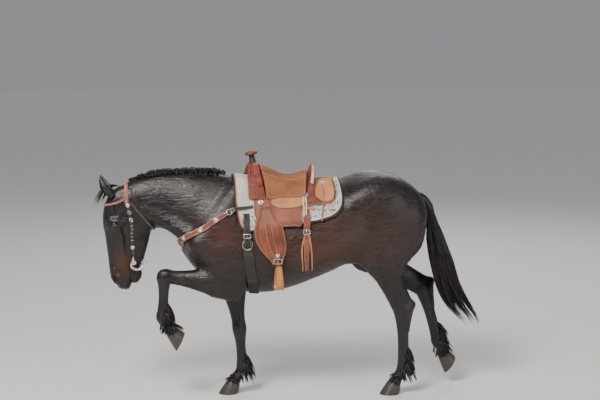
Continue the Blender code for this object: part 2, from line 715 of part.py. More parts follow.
def skin_parts():
    """The skin cut by thin plates into the torso, neck, head, legs and dock."""
    body = skin_between((-1.36, -0.46, 0.0), (1.32, 0.46, 1.72), SKIN_GRID, BODY_TRIANGLES)
    head = skin_between((-1.36, -0.20, 0.72), (-0.80, 0.20, 1.68), HEAD_GRID, HEAD_TRIANGLES)
    behind_jaw = ((-0.990, 0, 1.375), (0.889, 0, 0.457), 0.27)
    head_parts = sorted(loose_parts(boolean(head, disc(*behind_jaw))), key=lambda item: item[0].x)
    head = head_parts.pop(0)[1]
    for _, part in head_parts:
        bpy.data.objects.remove(part, do_unlink=True)
    head.name = "head"
    plates = [
        disc(*behind_jaw),
        disc((-0.600, 0, 1.350), (0.832, 0, -0.555), 0.40),
        disc((-0.735, -0.148, 0.877), (-0.990, 0.055, 0.121), 0.10),
        disc((-0.376, 0.132, 0.722), (0.08, -0.10, -1), 0.13),
        disc((0.655, -0.175, 0.925), (0, 0, 1), 0.225, 0.165),
        disc((0.655, 0.175, 0.905), (0, 0, 1), 0.225, 0.165),
        disc((0.976, 0, 1.362), (1, 0, -0.3), 0.062),
    ]
    seeds = {
        "torso": (0.1, 0, 1.15),
        "neck": (-0.85, 0, 1.40),
        "drop_head": (-1.15, 0, 1.2),
        "dock": (1.02, 0, 1.25),
    }
    for name, joints in LEGS.items():
        middle, fetlock, coffin = (Vector(joints[key]) for key in (BEND[name], "fetlock", "coffin"))
        upper = Vector(joints["elbow" if "fore" in name else "stifle"])
        down = fetlock - middle
        plates += [
            disc(middle.lerp(fetlock, CUTS[name]), down, 0.072),
            disc(middle.lerp(fetlock, 0.84), down, 0.075),
            disc(coffin, coronet_normal(joints), 0.080),
        ]
        seeds[name + "_upper"] = tuple(upper.lerp(middle, 0.75))
        seeds[name + "_cannon"] = tuple(middle.lerp(fetlock, 0.5))
        seeds[name + "_pastern"] = tuple(fetlock.lerp(coffin, 0.3))
        seeds["drop_" + name] = tuple(coffin - coronet_normal(joints) * 0.025)
    parts = {"head": head}
    for centre, part in loose_parts(boolean(body, joined("plates", plates))):
        name = min(seeds, key=lambda key: (Vector(seeds[key]) - centre).length)
        if name.startswith("drop") or name in parts:
            bpy.data.objects.remove(part, do_unlink=True)
            continue
        part.name = name
        parts[name] = part
    return parts


def hoof_axes(joints):
    """Where a hoof's sole is, the way its toe points, and the normal of its sole."""
    fetlock, coffin = Vector(joints["fetlock"]), Vector(joints["coffin"])
    pastern = (coffin - fetlock).normalized()
    turn = Matrix.Rotation(math.radians(58), 3, "Y")
    toe = (turn @ Vector((pastern.x, 0, pastern.z))).normalized()
    if coffin.z < 0.1:
        toe = Vector((-1, 0, 0))
    up = Vector((-toe.z, 0, toe.x)) * -1
    up = up if up.dot(fetlock - coffin) > 0 else -up
    return coffin + toe * 0.028 - up * 0.078, toe, up


def coronet_normal(joints):
    """The normal of the slanted plane where the hair ends and the hoof begins."""
    _, toe, up = hoof_axes(joints)
    return (up * math.cos(math.radians(24)) - toe * math.sin(math.radians(24))).normalized()


def hoof(name, joints, material):
    """A hoof: flat sole, sloping toe, lower heels, and a slanted flat top."""
    sole, toe, up = hoof_axes(joints)
    side = Vector((0, 1, 0))
    coffin = Vector(joints["coffin"])
    normal = coronet_normal(joints)
    rows = []
    count = 16
    for share, bulge in ((0.0, 0.0), (0.12, 0.001), (0.93, 0.0), (1.0, -0.003)):
        ring = []
        for i in range(count):
            a = 2 * math.pi * i / count
            reach = 0.078 if math.cos(a) > 0 else 0.062
            ground = sole + toe * (reach * math.cos(a)) + side * (0.066 * math.sin(a))
            top = coffin - toe * 0.002 + toe * (0.052 * math.cos(a)) + side * (0.049 * math.sin(a))
            top -= normal * ((top - coffin).dot(normal) + GAP)
            point = ground.lerp(top, share)
            ring.append(point + (point - sole.lerp(coffin, share)).normalized() * bulge)
        rows.append(ring)
    rows[0] = [point - up * (point - sole).dot(up) for point in rows[0]]
    points = [point for ring in rows for point in ring]
    faces = [tuple(range(count))[::-1], tuple(range(3 * count, 4 * count))]
    for k in range(3):
        for i in range(count):
            j = (i + 1) % count
            faces.append((k * count + i, k * count + j, (k + 1) * count + j, (k + 1) * count + i))
    return finished(mesh_object(name, points, faces), material)


def ball(name, centre, radius, material=None, stretch=(1, 1, 1), turn=None, level=3):
    """A faceted ball or egg."""
    mesh = bmesh.new()
    bmesh.ops.create_icosphere(mesh, subdivisions=level, radius=1.0)
    data = bpy.data.meshes.new(name)
    mesh.to_mesh(data)
    mesh.free()
    obj = bpy.data.objects.new(name, data)
    bpy.context.scene.collection.objects.link(obj)
    scale = Matrix.Diagonal([radius * value for value in stretch])
    matrix = (turn or Matrix.Identity(3)) @ scale
    for vert in data.vertices:
        vert.co = matrix @ vert.co + Vector(centre)
    return finished(obj, material)


def ear(name, side, material):
    """A pricked ear: a curled leaf with its hollow turned forward and outward."""
    base = Vector((-1.234, side * 0.056, 1.452))
    tip = Vector((-1.303, side * 0.060, 1.578))
    up = (tip - base).normalized()
    back = (Vector((0.85, -side * 0.25, 0.30)) - up * Vector((0.85, -side * 0.25,
                                                              0.30)).dot(up)).normalized()
    across = up.cross(back)
    inner, outer = [], []
    for share in np.linspace(0, 1, 8):
        middle = base.lerp(tip, share) - back * 0.012 * math.sin(math.pi * share)
        swell = 0.86 + 0.35 * math.sin(math.pi * min(share * 1.1, 1))
        radius = 0.031 * (1 - share**2.6) ** 0.75 * swell + 0.002
        opening = 105 + 35 * share
        rows = ([], [])
        for turn in np.linspace(-1, 1, 8):
            a = math.radians(turn * (180 - opening * 0.42))
            way = back * math.cos(a) + across * math.sin(a)
            rows[0].append(middle + way * max(radius - 0.006, 0.0008))
            rows[1].append(middle + way * radius)
        inner.append(rows[0])
        outer.append(rows[1])
    return slab(name, inner, outer, material)


def swollen(obj, lift):
    """A copy of a piece with its surface moved out."""
    copy = obj.copy()
    copy.data = obj.data.copy()
    bpy.context.scene.collection.objects.link(copy)
    normals = [vert.normal.copy() for vert in copy.data.vertices]
    for vert, normal in zip(copy.data.vertices, normals):
        vert.co += normal * lift
    return copy


def trimmed(name, others):
    """Cuts from a piece all that lies within a gap of the pieces under it."""
    obj = bpy.data.objects[name]
    material = obj.data.materials[0]
    for other in others:
        boolean(obj, swollen(bpy.data.objects[other], GAP + 0.0004))
    obj = largest_part(obj)
    obj.name = name
    return finished(obj, material)


def head_pieces(parts, coat):
    """Eyes behind lids, nostrils, the line of the mouth, and the ears."""
    dark = finish_material("eye_dark", (0.02, 0.012, 0.008), 0.08)
    head = parts["head"]
    cutters = []
    for label, side in (("left", -1), ("right", 1)):
        centre = Vector((EYE.x, side * EYE.y, EYE.z))
        ball("eye_" + label, centre, 0.0200, dark, level=2)
        cutters.append(ball("socket", centre, 0.0200 + GAP, level=2))
        turn = Matrix.Rotation(math.radians(-14), 3, "Y")
        gap = centre + Vector((-0.005, side * 0.020, 0.001))
        cutters.append(ball("lids", gap, 1.0, None, (0.0200, 0.0160, 0.0120), turn, 2))
        turn = Matrix.Rotation(math.radians(-26), 3, "Y")
        nostril = face_point(0.630, 0.078, side * 0.064)
        cutters.append(ball("nostril", nostril, 1.0, None, (0.0125, 0.0180, 0.0230), turn, 2))
    for cutter in cutters:
        boolean(head, cutter)
    mouth = np.radians(np.linspace(-74, 74, 17))
    starts = np.array([face_point(0.560, -0.030, 0)] * len(mouth))
    ways = np.outer(np.cos(mouth), FACE_AXIS) + np.outer(np.sin(mouth), (0, 1.0, 0))
    across = np.array(face_point(0, 1, 0) - face_point(0, 0, 0))
    deep, shallow = skin_hits(starts, ways, -0.009, 0.25), skin_hits(starts, ways, 0.004, 0.25)
    lips = slab("lips", np.stack([deep - across * 0.0006, shallow - across * 0.0022], 1),
                np.stack([deep + across * 0.0006, shallow + across * 0.0022], 1), None)
    boolean(head, lips)
    parts["head"] = finished(largest_part(head), coat)
    for label, side in (("left", -1), ("right", 1)):
        ear("ear_" + label, side, coat)


def lock(points, widths, faces_out, thick):
    """One flat, tapered lock of hair along its points, closed, ending in a tip."""
    points = [Vector(p) for p in points]
    verts = []
    for k, point in enumerate(points[:-1]):
        along = (points[k + 1] - points[max(k - 1, 0)]).normalized()
        out = Vector(faces_out[k])
        out = (out - along * out.dot(along)).normalized()
        across = along.cross(out) * widths[k] / 2
        deep = out * thick * (0.45 + 0.55 * widths[k] / max(widths))
        verts += [point - across - deep * 0.4, point + deep * 0.6, point + across - deep * 0.4]
    count = len(points) - 1
    verts.append(points[-1])
    faces = [(2, 1, 0)]
    for k in range(count - 1):
        for i in range(3):
            j = (i + 1) % 3
            faces.append((3 * k + i, 3 * k + j, 3 * k + 3 + j, 3 * k + 3 + i))
    faces += [(3 * count - 3 + i, 3 * count - 3 + (i + 1) % 3, 3 * count) for i in range(3)]
    return finished(mesh_object("lock", verts, faces))


def fallen(roots, headings, lengths, lift, steps, weight=0.35, sink=0.012, field=None):
    """Paths of locks that start in the skin, fall under their weight, and lie on the skin."""
    field = field or horse_field
    place = np.array(roots, float)
    heading = np.array(headings, float)
    heading /= np.linalg.norm(heading, axis=1, keepdims=True)
    step = np.array(lengths, float)[:, None] / steps
    paths = [place - heading * sink]
    outs = []
    for _ in range(steps):
        place = place + heading * step
        for _ in range(2):
            slope = np.stack([field(place + axis) - field(place - axis) for axis in 0.003 * np.eye(3)],
                             axis=1)
            slope /= np.maximum(np.linalg.norm(slope, axis=1, keepdims=True), 1e-6)
            short = np.maximum(lift - field(place), 0)
            place = place + slope * short[:, None]
        outs.append(slope)
        moved = place - paths[-1]
        heading = moved / np.linalg.norm(moved, axis=1, keepdims=True) + np.array((0, 0, -weight))
        heading /= np.linalg.norm(heading, axis=1, keepdims=True)
        paths.append(place)
    return np.stack(paths, axis=1), np.stack([outs[0]] + outs, axis=1)


def join_locks(part, locks, coat):
    """The piece of skin with its locks joined to it in one union."""
    name = part.name
    group = bpy.data.collections.new(name + "_locks")
    bpy.context.scene.collection.children.link(group)
    for item in locks:
        bpy.context.scene.collection.objects.unlink(item)
        group.objects.link(item)
    step = part.modifiers.new("hair", "BOOLEAN")
    step.operation = "UNION"
    step.solver = "EXACT"
    step.operand_type = "COLLECTION"
    step.collection = group
    step.use_self = True
    apply_modifiers(part)
    for item in locks:
        bpy.data.objects.remove(item, do_unlink=True)
    bpy.data.collections.remove(group)
    part = largest_part(part)
    part.name = name
    return finished(part, coat)


def mane_locks():
    """Locks from the crest that fall on the right side, with a short fringe on the left."""
    rng = random.Random(7)
    locks = []
    xs = np.linspace(-1.070, -0.480, 14)
    tops = skin_hits([(x, 0, 1.35) for x in xs], [(0, 0, 1)] * len(xs), 0.0, 0.35)
    lengths = [rng.uniform(0.24, 0.36) * (0.75 if x < -1.0 else 1.0) for x in xs]
    paths, outs = fallen(tops + np.array((0, 0.004, 0)), [(0.10, 0.8, 0.75)] * len(xs), lengths, 0.012, 6,
                         0.55)
    for path, out in zip(paths, outs):
        wide = rng.uniform(0.066, 0.084)
        widths = [wide * w for w in (0.8, 1.0, 1.0, 0.9, 0.75, 0.45, 0.0)]
        sway = rng.uniform(-0.02, 0.03)
        path = [p + np.array((sway * (k / 6) ** 2, 0, 0)) for k, p in enumerate(path)]
        locks.append(lock(path, widths, out, 0.013))
    xs = np.linspace(-1.03, -0.50, 7)
    tops = skin_hits([(x, 0, 1.35) for x in xs], [(0, 0, 1)] * len(xs), 0.0, 0.35)
    lengths = [rng.uniform(0.07, 0.12) for x in xs]
    paths, outs = fallen(tops - np.array((0, 0.002, 0)), [(0.35, -0.55, 0.60)] * len(xs), lengths, 0.008, 4,
                         0.40)
    for path, out in zip(paths, outs):
        wide = rng.uniform(0.030, 0.045)
        locks.append(lock(path, [wide * w for w in (0.8, 1.0, 0.8, 0.45, 0.0)], out, 0.011))
    return locks


def forelock_locks():
    """Locks from between the ears that fall over the forehead."""
    rng = random.Random(3)
    sides = np.array((-0.008, -0.003, 0.003, 0.008, -0.005, 0.006))
    roots = skin_hits([face_point(0.020, -0.02, 0)] * len(sides), [(-0.80, y * 6, 0.60) for y in sides],
                      0.0, 0.2)
    headings = [(-0.9, y * 7, 0.30) for y in sides]
    lengths = [rng.uniform(0.16, 0.27) for _ in sides]
    paths, outs = fallen(roots, headings, lengths, 0.014, 6, 0.45)
    return [
        lock(path, [rng.uniform(0.026, 0.034) * w for w in (0.6, 0.7, 1.0, 0.9, 0.7, 0.4, 0.0)], out, 0.010)
        for path, out in zip(paths, outs)
    ]


TAIL_OUTER = ((0.985, 1.385), (1.024, 1.327), (1.055, 1.219), (1.100, 1.128), (1.138, 1.032),
              (1.186, 0.912),
              (1.226, 0.785), (1.287, 0.671), (1.342, 0.580), (1.385, 0.500), (1.392, 0.410))
TAIL_INNER = ((0.992, 1.330), (0.996, 1.240), (0.990, 1.160), (0.999, 1.070), (1.012, 0.960),
              (1.035, 0.850),
              (1.069, 0.735), (1.115, 0.640), (1.180, 0.560), (1.255, 0.490), (1.320, 0.430))


def tail_point(share, across, y):
    """A point in the tail's fall: share of its length, from its inner (0) to its outer edge (1)."""
    knots = np.linspace(0, 1, len(TAIL_OUTER))
    outer = smooth_through(knots, TAIL_OUTER, np.array([share]))[0]
    inner = smooth_through(knots, TAIL_INNER, np.array([share]))[0]
    x, z = inner * (1 - across) + outer * across
    return Vector((x, y, z))


def tail_locks():
    """The tail's core and its locks, along the line it trails behind the horse."""
    rng = random.Random(11)
    locks = []
    core = [tail_point(t, 0.5, 0) for t in np.linspace(0.06, 0.62, 7)]
    locks.append(lock(core, [0.040, 0.052, 0.058, 0.056, 0.050, 0.036, 0.0], [(0, -1, 0)] * 7, 0.050))
    for k in range(13):
        across = rng.uniform(0.08, 0.95)
        y0 = rng.choice((-1, 1)) * rng.uniform(0.006, 0.026)
        spread = rng.uniform(0.6, 1.6)
        start = rng.choice((0.03, 0.06, 0.10, 0.14, 0.18))
        end = rng.uniform(0.62, 1.0)
        wave = rng.uniform(-0.02, 0.02)
        points = []
        for t in np.linspace(start, end, 8):
            drift = across + wave * 3 * math.sin(5 * t) + (0.5 - across) * 0.35 * max(t - 0.6, 0)
            middle = 0.62 if t < start + 0.02 else drift
            swing = y0 * (0.2 + spread * min(t * 2.2, 1.0)) + wave * math.sin(7 * t + k)
            points.append(tail_point(t, min(max(middle, 0.03), 0.97), swing))
        wide = rng.uniform(0.042, 0.060)
        widths = [wide * w for w in (0.5, 0.9, 1.0, 1.0, 0.9, 0.7, 0.4, 0.0)]
        locks.append(lock(points, widths, [(0, 1 if y0 > 0 else -1, 0)] * 8, 0.016))
    return locks


def feather_locks(joints, rng):
    """The long hair of the fetlock, over the heels and around the coronet."""
    fetlock, coffin = Vector(joints["fetlock"]), Vector(joints["coffin"])
    middle = Vector(joints["knee" if "knee" in joints else "hock"])
    sole, toe, up = hoof_axes(joints)
    hoof_form = Limb(((*coffin, 0.058, 0.055), (*sole, 0.086, 0.074)), blend=0.01)
    down = (fetlock - middle).normalized()
    back = Vector((-down.z, 0, down.x))
    back = back if back.dot(toe) < 0 else -back

    def field(points):
        found = horse_field(points)
        near = np.all((points > hoof_form.low) & (points < hoof_form.high), axis=1)
        found[near] = np.minimum(found[near], hoof_form.field(points[near]))
        return found

    roots, headings, lengths = [], [], []
    for row, (share, count, spread) in enumerate(((0.93, 2, 30), (1.0, 4, 90), (1.0, 4, 140))):
        start = middle.lerp(fetlock, share) if row < 2 else fetlock.lerp(coffin, 0.55)
        for angle in np.linspace(-spread, spread, count):
            a = math.radians(angle + rng.uniform(-6, 6))
            way = back * math.cos(a) + Vector((0, 1, 0)) * math.sin(a)
            roots.append(skin_hits([start], [tuple(way)], 0.0, 0.12)[0])
            headings.append(tuple(way * 0.55 + down * 0.8))
            lengths.append((0.105, 0.100, 0.062)[row] * rng.uniform(0.85,
                                                                    1.1) * (1 - 0.25 * abs(angle) / 150))
    paths, outs = fallen(roots, headings, lengths, 0.009, 3, 0.22, 0.010, field)
    return [
        lock(path, [rng.uniform(0.036, 0.046) * w for w in (0.8, 1.0, 0.7, 0.0)], out, 0.011)
        for path, out in zip(paths, outs)
    ]


def hair(parts, coat):
    """Mane, forelock, tail and feathers, each joined to the piece it grows from."""
    parts["neck"] = join_locks(parts["neck"], mane_locks(), coat)
    parts["head"] = join_locks(parts["head"], forelock_locks(), coat)
    parts["dock"].name = "tail"
    parts["tail"] = join_locks(parts.pop("dock"), tail_locks(), coat)
    rng = random.Random(5)
    for name, joints in LEGS.items():
        part = name + "_pastern"
        parts[part] = join_locks(parts[part], feather_locks(joints, rng), coat)


def trunk_strap(name, path, width, thick, material, count=9, columns=2):
    """A strap over the trunk through (x, angle, height over the skin), with its width across."""
    path = np.array(path, float)
    shares = np.linspace(0, 1, count)
    x, angle, lift = smooth_through(np.linspace(0, 1, len(path)), path, shares).T
    widths = np.interp(shares, np.linspace(0, 1, len(np.atleast_1d(width))), np.atleast_1d(width))
    middle = over_trunk(x, angle, lift)
    radius = np.hypot(middle[:, 1], middle[:, 2] - 1.14)
    run = np.stack([np.gradient(x), np.gradient(np.radians(angle)) * radius], axis=1)
    run /= np.linalg.norm(run, axis=1, keepdims=True)
    sides = np.linspace(-0.5, 0.5, columns)[None, :] * widths[:, None]
    xs = x[:, None] - run[:, 1:] * sides
    angles = angle[:, None] + np.degrees(run[:, :1] * sides / radius[:, None])
    lifts = np.repeat(lift[:, None], columns, axis=1)
    return slab(name, over_trunk(xs, angles, lifts), over_trunk(xs, angles, lifts + thick), material)


def trunk_sheet(name, edges, low, high, sides, rows, columns, material):
    """A sheet of leather or felt over the trunk: edges gives its lowest angle at each x."""
    edges = np.array(edges, float)
    xs = np.interp(np.linspace(0, 1, rows), np.linspace(0, 1, len(edges)), edges[:, 0])
    reach = np.interp(xs, edges[:, 0], edges[:, 1])
    shares = np.linspace(*sides, columns)[None, :]
    angles = reach[:, None] * shares
    grid = np.repeat(xs[:, None], columns, axis=1)
    return slab(name, over_trunk(grid, angles, low), over_trunk(grid, angles, high), material)


def tube(name, points, radius, material=None, sides=6, flat=1.0):
    """A closed rod through the points, round or flattened along y."""
    points = [Vector(p) for p in points]
    verts = []
    for k, point in enumerate(points):
        along = (points[min(k + 1, len(points) - 1)] - points[max(k - 1, 0)]).normalized()
        first = Vector((0, 1, 0)) if abs(along.y) < 0.9 else Vector((1, 0, 0))
        first = (first - along * first.dot(along)).normalized()
        second = along.cross(first)
        for a in np.linspace(0, 2 * math.pi, sides, endpoint=False):
            verts.append(point + first * radius * flat * math.cos(a) + second * radius * math.sin(a))
    faces = [tuple(range(sides)), tuple(range(len(verts) - sides, len(verts)))]
    for k in range(len(points) - 1):
        for i in range(sides):
            j = (i + 1) % sides
            faces.append((k * sides + i, k * sides + j, (k + 1) * sides + j, (k + 1) * sides + i))
    return finished(mesh_object(name, verts, faces), material)


def lathe(name, origin, axis, profile, material, sides=16):
    """A turned piece: (height, radius) along an axis."""
    axis = Vector(axis).normalized()
    first = Vector((1, 0, 0)) if abs(axis.x) < 0.9 else Vector((0, 1, 0))
    first = (first - axis * first.dot(axis)).normalized()
    second = axis.cross(first)
    verts = []
    for height, radius in profile:
        for a in np.linspace(0, 2 * math.pi, sides, endpoint=False):
            spoke = first * math.cos(a) + second * math.sin(a)
            verts.append(Vector(origin) + axis * height + spoke * radius)
    faces = [tuple(range(sides)), tuple(range(len(verts) - sides, len(verts)))]
    for k in range(len(profile) - 1):
        for i in range(sides):
            j = (i + 1) % sides
            faces.append((k * sides + i, k * sides + j, (k + 1) * sides + j, (k + 1) * sides + i))
    return finished(mesh_object(name, verts, faces), material)


def saddle(leather, tan, felt):
    """Pad, skirts, seat with its jockeys, swell, horn and cantle, from the skin outward."""
    pad_edges = ((-0.400, 40), (-0.385, 58), (-0.360, 71), (-0.300, 76), (-0.100, 71), (0.130, 67),
                 (0.220, 64), (0.290, 59), (0.330, 51), (0.345, 42))
    trunk_sheet("saddle_pad", pad_edges, 0.0065, 0.0235, (-1, 1), 11, 13, felt)
    skirt_edges = ((-0.270, 52), (-0.240, 66), (-0.160, 71), (-0.020, 71), (0.045, 70), (0.062, 50),
                   (0.200, 46), (0.275, 43), (0.300, 32))
    jockey_edges = ((0.156, 36), (0.200, 43), (0.262, 42), (0.285, 34))
    for label, side in (("left", -1), ("right", 1)):
        trunk_sheet("saddle_skirt_" + label, skirt_edges, 0.0260, 0.0310, sorted((side * 0.06, side)), 10,
                    5, leather)
        trunk_sheet("rear_jockey_" + label, jockey_edges, 0.0335, 0.0380, sorted((side * 0.08, side)), 5, 4,
                    tan)
    xs = np.array((-0.184, -0.150, -0.100, -0.040, 0.020, 0.060, 0.088))
    reach = np.interp(xs, (-0.184, -0.150, -0.08, 0.05, 0.088), (38, 45, 49, 49, 42))
    rise = np.interp(xs, (-0.184, -0.120, -0.030, 0.030, 0.088), (0.085, 0.055, 0.034, 0.034, 0.062))
    shares = np.array((-1, -0.75, -0.5, -0.25, 0, 0.25, 0.5, 0.75, 1))
    angles = reach[:, None] * shares[None, :]
    grid = np.repeat(xs[:, None], len(shares), axis=1)
    hump = np.clip(np.cos(np.radians(angles * 2.3)), 0, 1)
    top = 0.0395 + rise[:, None] * hump
    slab("saddle_seat", over_trunk(grid, angles, 0.0340), over_trunk(grid, angles, top), tan)
    shares = np.linspace(-1, 1, 9)
    cantle_front, cantle_back, swell_front, swell_back = [], [], [], []
    front, back = over_trunk(0.0885, 33 * shares, 0.0340), over_trunk(0.150, 33 * shares, 0.0340)
    for k in (0, 0.4, 0.75, 1):
        top = np.stack([0.166 - 0.028 * shares**2, 0.160 * shares, 1.634 - 0.115 * shares**2], axis=1)
        lean = np.array((0.006 * (1 - k), 0, 0))
        cantle_front.append(front * (1 - k) + (top - np.array((0.012, 0, 0.004))) * k + lean)
        cantle_back.append(back * (1 - k) + (top + np.array((0.012, 0, 0))) * k)
    slab("saddle_cantle", np.array(cantle_front), np.array(cantle_back), leather)
    front, back = over_trunk(-0.305, 36 * shares, 0.0340), over_trunk(-0.1845, 36 * shares, 0.0340)
    for k, wide in ((0, 1.0), (0.35, 1.04), (0.70, 1.02), (0.90, 0.94), (1, 0.80)):
        top = np.stack([0 * shares - 0.245, 0.150 * shares, 1.655 - 0.075 * np.abs(shares) ** 3], axis=1)
        middle_front = front * (1 - k) + (top - np.array((0.036, 0, 0))) * k
        middle_back = back * (1 - k) + (top + np.array((0.020, 0, 0))) * k
        scale = np.array((1, wide, 1))
        swell_front.append(middle_front * scale)
        swell_back.append(middle_back * scale)
    slab("saddle_fork", np.array(swell_front), np.array(swell_back), leather)
    lathe("saddle_horn", (-0.254, 0, 1.6556), (-0.18, 0, 1),
          ((0, 0.026), (0.020, 0.019), (0.050, 0.019), (0.058, 0.040),
                                                      (0.070, 0.044), (0.080, 0.038)), leather)


def fender_and_stirrup(label, side, leather, tread):
    """The broad leather that hangs from the saddle, and the stirrup at its end."""
    rows = []
    shape = ((44, -0.190, 0.100), (54, -0.188, 0.120), (64, -0.184, 0.160), (73, -0.178, 0.195))
    for angle, x, width in shape:
        xs = x + np.linspace(-0.5, 0.5, 4) * width
        rows.append((over_trunk(xs, side * angle, 0.0315), over_trunk(xs, side * angle, 0.0370)))
    lowest = rows[-1][0][:, 1].mean()
    for z, x, width, out in ((1.150, -0.165, 0.205, 0.006), (1.080, -0.145, 0.170, 0.018),
                             (1.020, -0.128, 0.095, 0.034),
                             (0.985, -0.120, 0.060, 0.044)):
        xs = x + np.linspace(-0.5, 0.5, 4) * width
        y = lowest + side * out
        rows.append((np.stack([xs, 0 * xs + y, 0 * xs + z], 1),
                     np.stack([xs, 0 * xs + y + side * 0.0055, 0 * xs + z], 1)))
    slab("fender_" + label, [row[0] for row in rows], [row[1] for row in rows], leather)
    y = lowest + side * 0.047
    half = ((0.000, 0.158, 0.034), (0.034, 0.156, 0.034), (0.050, 0.140, 0.036), (0.060, 0.090, 0.044),
            (0.066, 0.030, 0.052),
            (0.064, 0.008, 0.054), (0.054, 0.000, 0.054), (0.000, 0.000, 0.054))
    ring = list(half) + [(-a, h, w) for a, h, w in half[-2:0:-1]]
    inner, outer = [], []
    for across, height, deep in ring:
        shrink = Vector((across, height - 0.085)).normalized() * 0.009
        for out, cut in ((outer, 0), (inner, 1)):
            a, h = across - cut * shrink.x, height - cut * shrink.y
            out.append([(-0.115 + d * deep / 2, y + a, 0.822 + h) for d in (-1, 1)])
    loop("stirrup_" + label, inner, outer, tread)


def girths(leather, dark, webbing, pink, tan):
    """Cinch, latigos, rear billets, breast collar with its straps, and the tied strings."""
    cinch = ((-0.318, -98, 0.004), (-0.302, -125, 0.004), (-0.272, -150, 0.004), (-0.252, -180, 0.004),
             (-0.252, -210, 0.004), (-0.272, -235, 0.004), (-0.318, -262, 0.004))
    trunk_strap("cinch", cinch, 0.070, 0.009, webbing, 21, 2)
    for label, side in (("left", -1), ("right", 1)):
        latigo = ((-0.322, side * 51, 0.0248), (-0.323, side * 62, 0.0248), (-0.322, side * 78, 0.0248),
                  (-0.320, side * 86, 0.013),
                  (-0.319, side * 96, 0.0140))
        trunk_strap("latigo_" + label, latigo, 0.045, 0.005, dark, 12)
        billet = ((0.080, side * 51.5, 0.0250), (0.081, side * 62, 0.0250), (0.080, side * 72, 0.0250),
                  (0.078, side * 79, 0.008),
                  (0.078, side * 95, 0.004), (0.078, side * 112, 0.004), (0.084, side * 127, 0.004))
        trunk_strap("rear_billet_" + label, billet, (0.048, 0.046, 0.040, 0.036, 0.020), 0.005, leather, 16)
        strap = ((-0.452, side * 49, 0.006), (-0.424, side * 48, 0.018), (-0.402, side * 47, 0.0252),
                 (-0.340, side * 45, 0.0252),
                 (-0.274, side * 43, 0.0252))
        trunk_strap("collar_strap_" + label, strap, 0.022, 0.004, dark, 12)
        string = ((0.216, side * 16, 0.0375), (0.210, side * 40, 0.0375), (0.202, side * 46, 0.0330),
                  (0.190, side * 58, 0.0250),
                  (0.184, side * 66, 0.0250))
        trunk_strap("string_rear_" + label, string, 0.010, 0.003, pink, 10)
        string = ((0.112, side * 38, 0.0320), (0.110, side * 46, 0.0320), (0.112, side * 52, 0.0250),
                  (0.113, side * 58, 0.0250))
        trunk_strap("string_front_" + label, string, 0.010, 0.003, tan, 8)
    angles = np.array((-103, -91, -79, -65, -51, -40, -27, -14, 0, 14, 27, 40, 51, 65, 79, 91, 103), float)
    heights = np.interp(np.abs(angles), (0, 14, 27, 40, 51, 65, 79, 103),
                        (1.098, 1.108, 1.135, 1.174, 1.203, 1.238, 1.282, 1.335))
    inner, outer = [], []
    for shift in (-0.5, 0, 0.5):
        starts = np.stack([0 * angles - 0.50, 0 * angles, heights + shift * 0.048], 1)
        ways = np.stack([-np.cos(np.radians(angles)), np.sin(np.radians(angles)), 0 * angles], 1)
        inner.append(skin_hits(starts, ways, 0.0060))
        outer.append(skin_hits(starts, ways, 0.0115))
    slab("breast_collar", inner, outer, leather)
    angles = np.radians((-8, 10, 28, 46, 62, 78, 92, 104, 114))
    inner, outer = [], []
    for y in (-0.0125, 0.0125):
        starts = np.stack([0 * angles - 0.45, 0 * angles + y, 0 * angles + 1.02], 1)
        ways = np.stack([-np.cos(angles), 0 * angles, -np.sin(angles)], 1)
        inner.append(skin_hits(starts, ways, 0.004))
        outer.append(skin_hits(starts, ways, 0.008))
    slab("tie_down_strap", inner, outer, leather)


